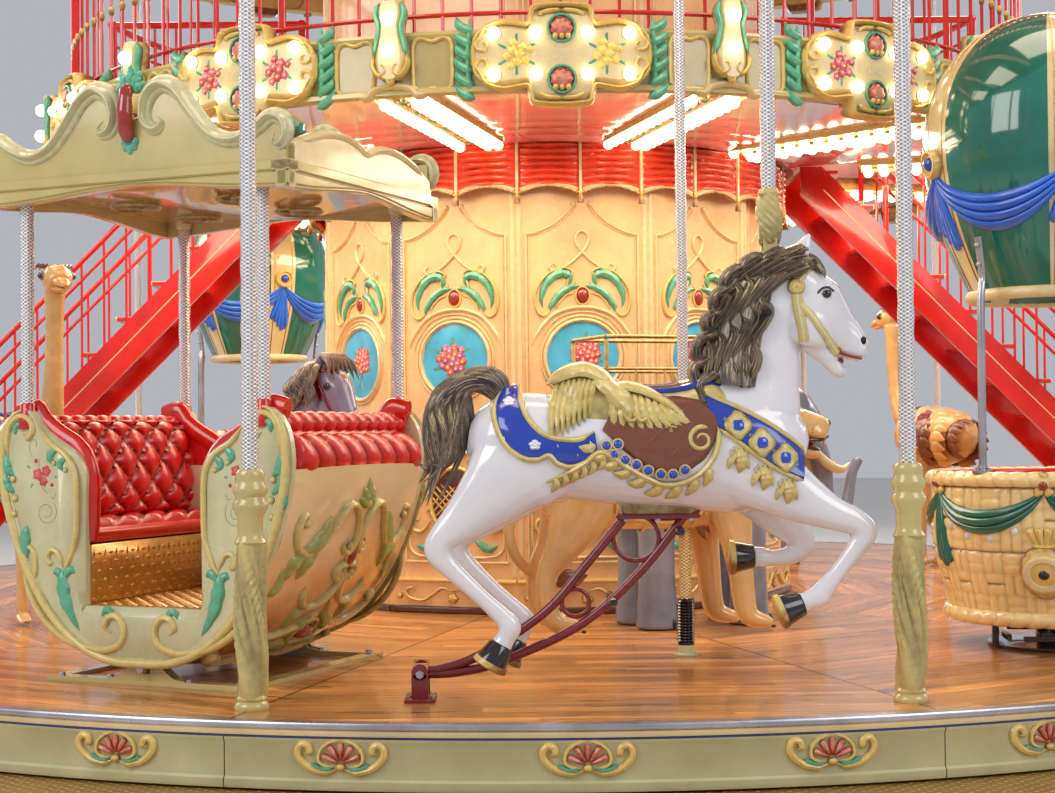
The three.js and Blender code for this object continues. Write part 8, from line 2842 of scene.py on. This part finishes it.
class CAROUSEL_OT_drum(bpy.types.Operator):
    """Carved panels of the centre drum on both storeys, its plinth and its swags"""

    bl_idname = "carousel.drum"
    bl_label = "Centre drum"

    def execute(self, context):
        """Each face is a plate; what it carries is made once and turned to the twelve faces."""
        dress("drum_wall", "apricot_gloss")
        dress("upper_drum", "apricot_gloss")
        dress("drum_plinth", "apricot_gloss")
        faces = EVERY + DRUM_TURN
        lower = Shape("drum_carving")
        self.frames(lower, on_wall(DRUM_FACE, DECK, faces), FRAME_CORNER)
        self.arch(lower, on_wall(DRUM_FACE, DECK, faces), faces, DECK)
        lower.build("turntable", slot="apricot", most=96000)
        plinth = Shape("plinth_carving")
        self.lattice(plinth, on_wall(DRUM_FACE, DECK, faces))
        self.skirting(plinth, on_wall((DRUM_RADIUS + 0.06) * math.cos(math.radians(SECTOR / 2)), DECK,
                                      faces))
        plinth.build("turntable", slot="apricot", most=40000)
        upper = Shape("upper_drum_carving")
        self.frames(upper, on_wall(DRUM_FACE, UPPER_FLOOR - 0.25, faces), FRAME_CORNER)
        self.arch(upper, on_wall(DRUM_FACE, UPPER_FLOOR - 0.25, faces), faces, UPPER_FLOOR - 0.25)
        upper.build("turntable", slot="apricot", most=62000)
        self.swags()
        return {"FINISHED"}

    def frames(self, shape, place, corner):
        """A frame with ogee shoulders, and a fluted strip over each joint between faces."""
        frame_line = [(0.335, 0.3), (0.335, 1.2), (0.335, corner), (0.27, corner + 0.012),
                      (0.17, corner + 0.06), (0.09, corner + 0.13), (0.05, corner + 0.18)]
        for width, rise, inset in ((0.009, 0.014, 0.0), (0.004, 0.008, 0.016)):
            for side in mirror([(x - inset, y - inset * 0.6) for x, y in frame_line]):
                path = np.concatenate([smooth_path(side[:3], 20)[:-1], smooth_path(side[2:], 26)])
                shape.add(tube(np.column_stack([path, 0 * path[:, 0]]), width, 8, flat=rise / width),
                          "apricot_carving", place)
        shape.add(moulding([(-0.335, 0.3), (0, 0.3), (0.335, 0.3)], 0.009, 0.014, 10, 8, taper=False),
                  "apricot_carving", place)
        knobs = [dome(s * 0.05, corner + 0.181, 0.016, 0.016, 0.02, rings=4, sides=12) for s in (-1, 1)]
        shape.add_all(knobs, "apricot_carving", place)
        for x in (-0.375, 0.375):
            strip = [(x, 0.22), (x, 1.3), (x, 2.74)]
            shape.add(moulding(strip, 0.016, 0.01, 8, 10, taper=False), "apricot_carving", place)

    def arch(self, shape, place, faces, level):
        """A round picture in a ring, a double arch over it, feathered leaves, a red stone and a crossed
        teardrop loop."""
        x, y = 0, PICTURE_HEIGHT
        shape.add(dome(x, y, PICTURE_RADIUS, PICTURE_RADIUS, 0.006, rings=4, sides=48), "sky_disc", place)
        for reach, width, rise in ((0.226, 0.013, 0.02), (0.25, 0.007, 0.012)):
            shape.add(moulding(round_path(x, y, reach, 0, 360, 49), width, rise, 90, 8, taper=False),
                      "apricot_carving", place)
        for lift, width, rise in ((0.0, 0.012, 0.018), (-0.028, 0.005, 0.01)):
            over = [(-0.302, 1.575), (-0.27, 1.65), (-0.19, 1.745), (-0.09, 1.79), (0, 1.8), (0.09, 1.79),
                    (0.19, 1.745), (0.27, 1.65), (0.302, 1.575)]
            shape.add(moulding([(a * (1 + lift / 0.3), b + lift) for a, b in over], width, rise, 70, 8),
                      "apricot_carving", place)
        shape.add(dome(0, 1.868, 0.036, 0.046, 0.022, rings=6, sides=24), "gem_red", place)
        stone = np.stack([0.041 * np.cos(sided(24)), 1.868 + 0.052 * np.sin(sided(24))], -1)
        shape.add(moulding(np.concatenate([stone, stone[:1]]), 0.006, 0.014, 50, 7, taper=False), "gilded",
                  place)
        wing = [(0.045, 1.955), (0.055, 1.925), (0.085, 1.93), (0.075, 1.975), (0.11, 2.0), (0.17, 1.985),
                (0.22, 1.93), (0.245, 1.855), (0.235, 1.795)]
        shape.add_all([leaf(side[2:], 0.024, 0.026, 6, 40, 8) for side in mirror(wing)], "gilded_leaf",
                      place)
        outline = [(0.04, 1.95), (0.055, 1.915), (0.09, 1.925), (0.085, 1.965), (0.06, 2.01), (0.12, 2.032),
                   (0.2, 2.0), (0.262, 1.93), (0.285, 1.85), (0.27, 1.775), (0.235, 1.75), (0.2, 1.775),
                   (0.205, 1.81)]
        shape.pair(moulding, outline, "gilded", place, 0.008, 0.018, 60, 8)
        lower = [(0.02, 1.925), (0.08, 1.915), (0.14, 1.875), (0.185, 1.81), (0.195, 1.77)]
        shape.pair(leaf, lower, "gilded_leaf", place, 0.02, 0.024, 5, 30, 8)
        inner = [(0.05, 1.885), (0.1, 1.87), (0.14, 1.83), (0.16, 1.79)]
        shape.pair(moulding, inner, "gilded", place, 0.006, 0.014, 26, 7)
        loop = [(-0.15, 2.03), (-0.17, 2.055), (-0.195, 2.04), (-0.18, 2.015), (-0.14, 2.018),
                (-0.07, 2.06), (-0.005, 2.12), (0.035, 2.18), (0.035, 2.225), (0, 2.25), (-0.035, 2.225),
                (-0.035, 2.18), (0.005, 2.12), (0.07, 2.06), (0.14, 2.018), (0.18, 2.015), (0.195, 2.04),
                (0.17, 2.055), (0.15, 2.03)]
        shape.add(moulding(loop, 0.0095, 0.017, 130, 8), "apricot_carving", place)
        blooms = (("petal_pink", "petal_red"), ("petal_plum", "petal_pink"), ("petal_red", "petal_pink"),
                  ("petal_plum", "petal_red"))
        for k, angle in enumerate(faces):
            spot = on_wall(DRUM_FACE + 0.003, level, angle)
            lean = 0.02 * (1, -1)[k % 2]
            bouquet(shape, lean, 1.535 - 0.015 * (k % 3), 0.098 + 0.01 * (k % 2), blooms[k % 4], spot, 19,
                    0.01)
            for side in (-1, 0, 1):
                stalk = [(lean + side * 0.03, 1.47), (side * 0.015, 1.42), (-side * 0.012, 1.37),
                         (-side * 0.03, 1.34)]
                shape.add(moulding(stalk, 0.003, 0.005, 14, 5), "fine_green", spot)

    def lattice(self, shape, place):
        """Below the picture: a dark oval with a gilded frame, crossed laths and green scrolls."""
        shape.add(dome(0, 0.66, 0.16, 0.19, 0.008, rings=4, sides=40), "dark_panel", place)
        ring = np.stack([0.168 * np.cos(sided(40)), 0.66 + 0.2 * np.sin(sided(40))], -1)
        shape.add(moulding(np.concatenate([ring, ring[:1]]), 0.014, 0.024, 90, 8, taper=False), "gilded",
                  place)
        for k in range(-3, 4):
            for lean in (-1, 1):
                reach = math.sqrt(max(0, 1 - (k * 0.045 / 0.17) ** 2)) * 0.11
                ends = [(k * 0.045 - lean * reach, 0.66 - reach), (k * 0.045, 0.66),
                        (k * 0.045 + lean * reach, 0.66 + reach)]
                shape.add(moulding(ends, 0.006, 0.013, 8, 6), "gilded", place)
        scrolls = ([(0.19, 0.66), (0.25, 0.72), (0.3, 0.67), (0.27, 0.62), (0.235, 0.645)],
                   [(0.17, 0.78), (0.22, 0.86), (0.28, 0.84), (0.27, 0.79), (0.24, 0.8)],
                   [(0.17, 0.54), (0.23, 0.48), (0.29, 0.5), (0.28, 0.55), (0.245, 0.545)],
                   [(0.0, 0.9), (0.06, 0.95), (0.1, 0.92), (0.07, 0.89)])
        for points in scrolls:
            shape.pair(moulding, points, "gilded", place, 0.012, 0.022, 30, 8)
        for points in ([(0.1, 0.9), (0.17, 0.96), (0.24, 0.94)], [(0.12, 0.43), (0.2, 0.38), (0.27, 0.4)]):
            shape.pair(leaf, points, "gilded_leaf", place, 0.022, 0.022, 4)
        border = [(0, 1.14), (0.15, 1.12), (0.28, 1.03), (0.31, 0.9), (0.31, 0.7), (0.31, 0.45),
                  (0.29, 0.36), (0.2, 0.33), (0, 0.33)]
        shape.pair(moulding, border, "apricot_carving", place, 0.01, 0.016, 70, 8, taper=False)

    def skirting(self, shape, place):
        """The plinth's long scrolls between a dark foot and a moulded top."""
        for y, width, finish in ((0.02, 0.022, "dark_panel"), (0.195, 0.014, "gilded")):
            shape.add(moulding([(-0.41, y), (0, y), (0.41, y)], width, 0.018, 8, 8, taper=False), finish,
                      place)
        wave = [(0, 0.13), (0.07, 0.15), (0.13, 0.11), (0.2, 0.075), (0.28, 0.09), (0.31, 0.13),
                (0.27, 0.15), (0.245, 0.125)]
        shape.pair(moulding, wave, "gilded", place, 0.01, 0.02, 44, 8)
        shape.add_all([dome(s * 0.35, 0.1, 0.02, 0.02, 0.02, rings=4, sides=12) for s in (-1, 1)], "gilded",
                      place)
        shape.add(dome(0, 0.09, 0.035, 0.03, 0.02, 5, 0.12), "gilded", place)

    def swags(self):
        """Gathered red cloth: its radius swells in smiling horizontal folds and its lower edge arches
        between tassels."""
        count = bpy.context.scene.carousel_sizes.swags
        shape = Shape("red_swags")
        t, s = np.meshgrid(np.linspace(0, 1, 17), np.linspace(0, 1, 41), indexing="ij")
        step = 2 * np.pi / count
        turn = step * (t - 0.5)
        low = DECK + 2.462 + 0.045 * np.sin(np.pi * t)
        high = CEILING - 0.004
        z = high + (low - high) * s
        fold = np.abs(np.sin(np.pi * (7.5 * s - 0.6 * np.sin(np.pi * t)))) ** 0.75
        belly = np.sin(np.pi * t) ** 0.5
        radius = 1.558 + (0.018 + 0.026 * fold * belly) * np.clip(8 * s, 0.3, 1)
        front = about(radius, turn, z)
        back = about(1.554, turn, z)[:, ::-4]
        loop = np.concatenate([front, back], 1)
        angles = np.arange(count) * 360 / count - 1
        shape.add(capped(loop), "swag_red", around(angles))
        edge = np.linspace(-0.5, 0.5, 23)[1:-1]
        beads = about(1.588, step * edge, DECK + 2.458 + 0.045 * np.cos(np.pi * edge))
        shape.add(at_points(ball(0.009, 6, 5), beads), "gilded", around(angles))
        line = about(1.584, step * edge, DECK + 2.474 + 0.045 * np.cos(np.pi * edge))
        shape.add(tube(line, 0.014, 8), "ivory_gloss", around(angles), crown=0.9)
        posts = angles + 180 / count
        strip = section_board(np.linspace(-0.008, 0.008, 5), 2.46, 2.786, 0, 0.01, 0.004)
        shape.add(strip, "ivory_gloss", on_round(1.592, DECK, posts))
        tassel = lathe([(0, 2.4), (0.02, 2.402), (0.018, 2.43), (0.008, 2.452), (0.014, 2.465),
                        (0.01, 2.478), (0, 2.48)], 10)
        shape.add(turned(moved(tassel, 0, -1.598, DECK), posts), "gilded")
        shape.build("turntable", "valance", slot="crimson", most=48000)


# Stairs


STAIR_STEPS = 13
STAIR_TOP = 1.65
TREAD_HALF = 0.38


class CAROUSEL_OT_stairs(bpy.types.Operator):
    """Two straight flights with red stringers, light-edged treads and close balusters"""

    bl_idname = "carousel.stairs"
    bl_label = "Stairs"

    def execute(self, context):
        """A flight climbs towards the drum at 45 degrees: its height is the foot's distance less its
        own."""
        rise = (UPPER_FLOOR - DECK) / STAIR_STEPS
        foot, top = STAIR_TOP + UPPER_FLOOR - DECK - rise, STAIR_TOP
        flight = Shape("stair_flight")
        for k in range(1, STAIR_STEPS):
            edge = -(foot - (k - 1) * rise)
            tread = slab(-TREAD_HALF, TREAD_HALF, edge - 0.02, edge + rise, k * rise - 0.024, k * rise,
                         0.004)
            flight.add(tread, "red_gloss")
            flight.add(slab(0.002 - TREAD_HALF, TREAD_HALF - 0.002, edge - 0.012, edge + rise - 0.006,
                            k * rise - 0.002, k * rise + 0.003, 0.001), "tread_top")
            flight.add(slab(0.002 - TREAD_HALF, TREAD_HALF - 0.002, edge - 0.0265, edge - 0.019,
                            k * rise - 0.026, k * rise + 0.003, 0.002), "ivory_gloss")
        for side in (-1, 1):
            x = side * TREAD_HALF
            flight.add(self.stringer(x, foot, top), "red_gloss")
            for height, radius, low, high in ((0.9, 0.018, 0.06, 0.56), (0.78, 0.012, 0.06, 0.6),
                                              (0.12, 0.012, 0.06, 0.5)):
                ends = [(x, -foot + low + t * (foot - low - top - high),
                         height + t * (foot - low - top - high)) for t in (0, 0.5, 1)]
                flight.add(tube(ends, radius, 10, up=(1, 0, 0)), "red_gloss")
            spots = np.arange(0.0, foot - 0.06 - top - 0.56, 0.145)
            bar = tube([(0, 0, z) for z in (0.02, 0.45, 0.9)], 0.0085, 7, up=(0, 1, 0))
            flight.add(at_points(bar,
                                 np.column_stack([np.full(len(spots), x), -foot + 0.06 + spots, spots])),
                                 "red_gloss")
            for along in (0.0, foot - 0.06 - top - 0.56):
                newel = lathe([(0, 0.0), (0.019, 0.0), (0.019, 0.9), (0.025, 0.905), (0.02, 0.92),
                               (0, 0.925)], 14)
                flight.add(moved(newel, x, -foot + 0.06 + along, along), "red_gloss")
            seam = [(x + side * 0.021, -foot + 0.1, 0.12),
                    (x + side * 0.021, -0.5 * (foot + top), 0.5 * (foot - top)),
                    (x + side * 0.021, -top - 0.15, foot - top - 0.13)]
            flight.add(tube(seam, 0.004, 6, up=(1, 0, 0)), "ivory_gloss")
        put_rides("stair_#_flight", flight.mesh(), STAIRS, 0, "turntable", "stair_#", slot="red_gloss")
        return {"FINISHED"}

    def stringer(self, x, foot, top):
        """A sloped board with bevelled edges, carried across its own thickness."""
        edge = np.array([(foot + 0.119, 0.003), (foot - 0.159, 0.003), (top + 0.002, foot - 0.161 - top),
                         (top + 0.002, 2.785), (top + 0.14, 2.785)])
        middle = edge.mean(0)
        rings = []
        for shift, inset in ((-0.0195, 0.5), (-0.0195, 0.004), (-0.016, 0.0), (0.016, 0.0), (0.0195, 0.004),
                             (0.0195, 0.5)):
            line = middle + (edge - middle) * (1 - 2 * inset if inset == 0.5 else 1 - inset)
            rings.append(np.column_stack([np.full(5, x + shift), -line[:, 0], line[:, 1]]))
        return np.stack(rings)


# Panel and registration


OPERATORS = (CAROUSEL_OT_stage, CAROUSEL_OT_platform, CAROUSEL_OT_posts, CAROUSEL_OT_horses,
             CAROUSEL_OT_boats, CAROUSEL_OT_baskets, CAROUSEL_OT_figures, CAROUSEL_OT_mezzanine,
             CAROUSEL_OT_roof, CAROUSEL_OT_drum, CAROUSEL_OT_stairs)


class CAROUSEL_PT_panel(bpy.types.Panel):
    """Lists the carousel's pieces, colours and sizes in the sidebar"""

    bl_idname = "CAROUSEL_PT_panel"
    bl_label = "Carousel"
    bl_space_type = "VIEW_3D"
    bl_region_type = "UI"
    bl_category = "Carousel"

    def draw(self, context):
        """One button for each operator, then every property."""
        for operator in OPERATORS:
            self.layout.operator(operator.bl_idname)
        for group in (context.scene.carousel_colours, context.scene.carousel_sizes):
            for name in group.bl_rna.properties.keys():
                if name not in ("rna_type", "name"):
                    self.layout.prop(group, name)


CLASSES = (CarouselColours, CarouselSizes, *OPERATORS, CAROUSEL_PT_panel)


def register():
    """Registers the classes and hangs the property groups on the scene."""
    for made in CLASSES:
        bpy.utils.register_class(made)
    bpy.types.Scene.carousel_colours = PointerProperty(type=CarouselColours)
    bpy.types.Scene.carousel_sizes = PointerProperty(type=CarouselSizes)


def unregister():
    """Takes both away again."""
    del bpy.types.Scene.carousel_sizes
    del bpy.types.Scene.carousel_colours
    for made in reversed(CLASSES):
        bpy.utils.unregister_class(made)


def main():
    """Makes every piece in order."""
    register()
    for operator in OPERATORS:
        getattr(bpy.ops.carousel, operator.bl_idname.split(".")[1])()


if __name__ == "__main__":
    main()
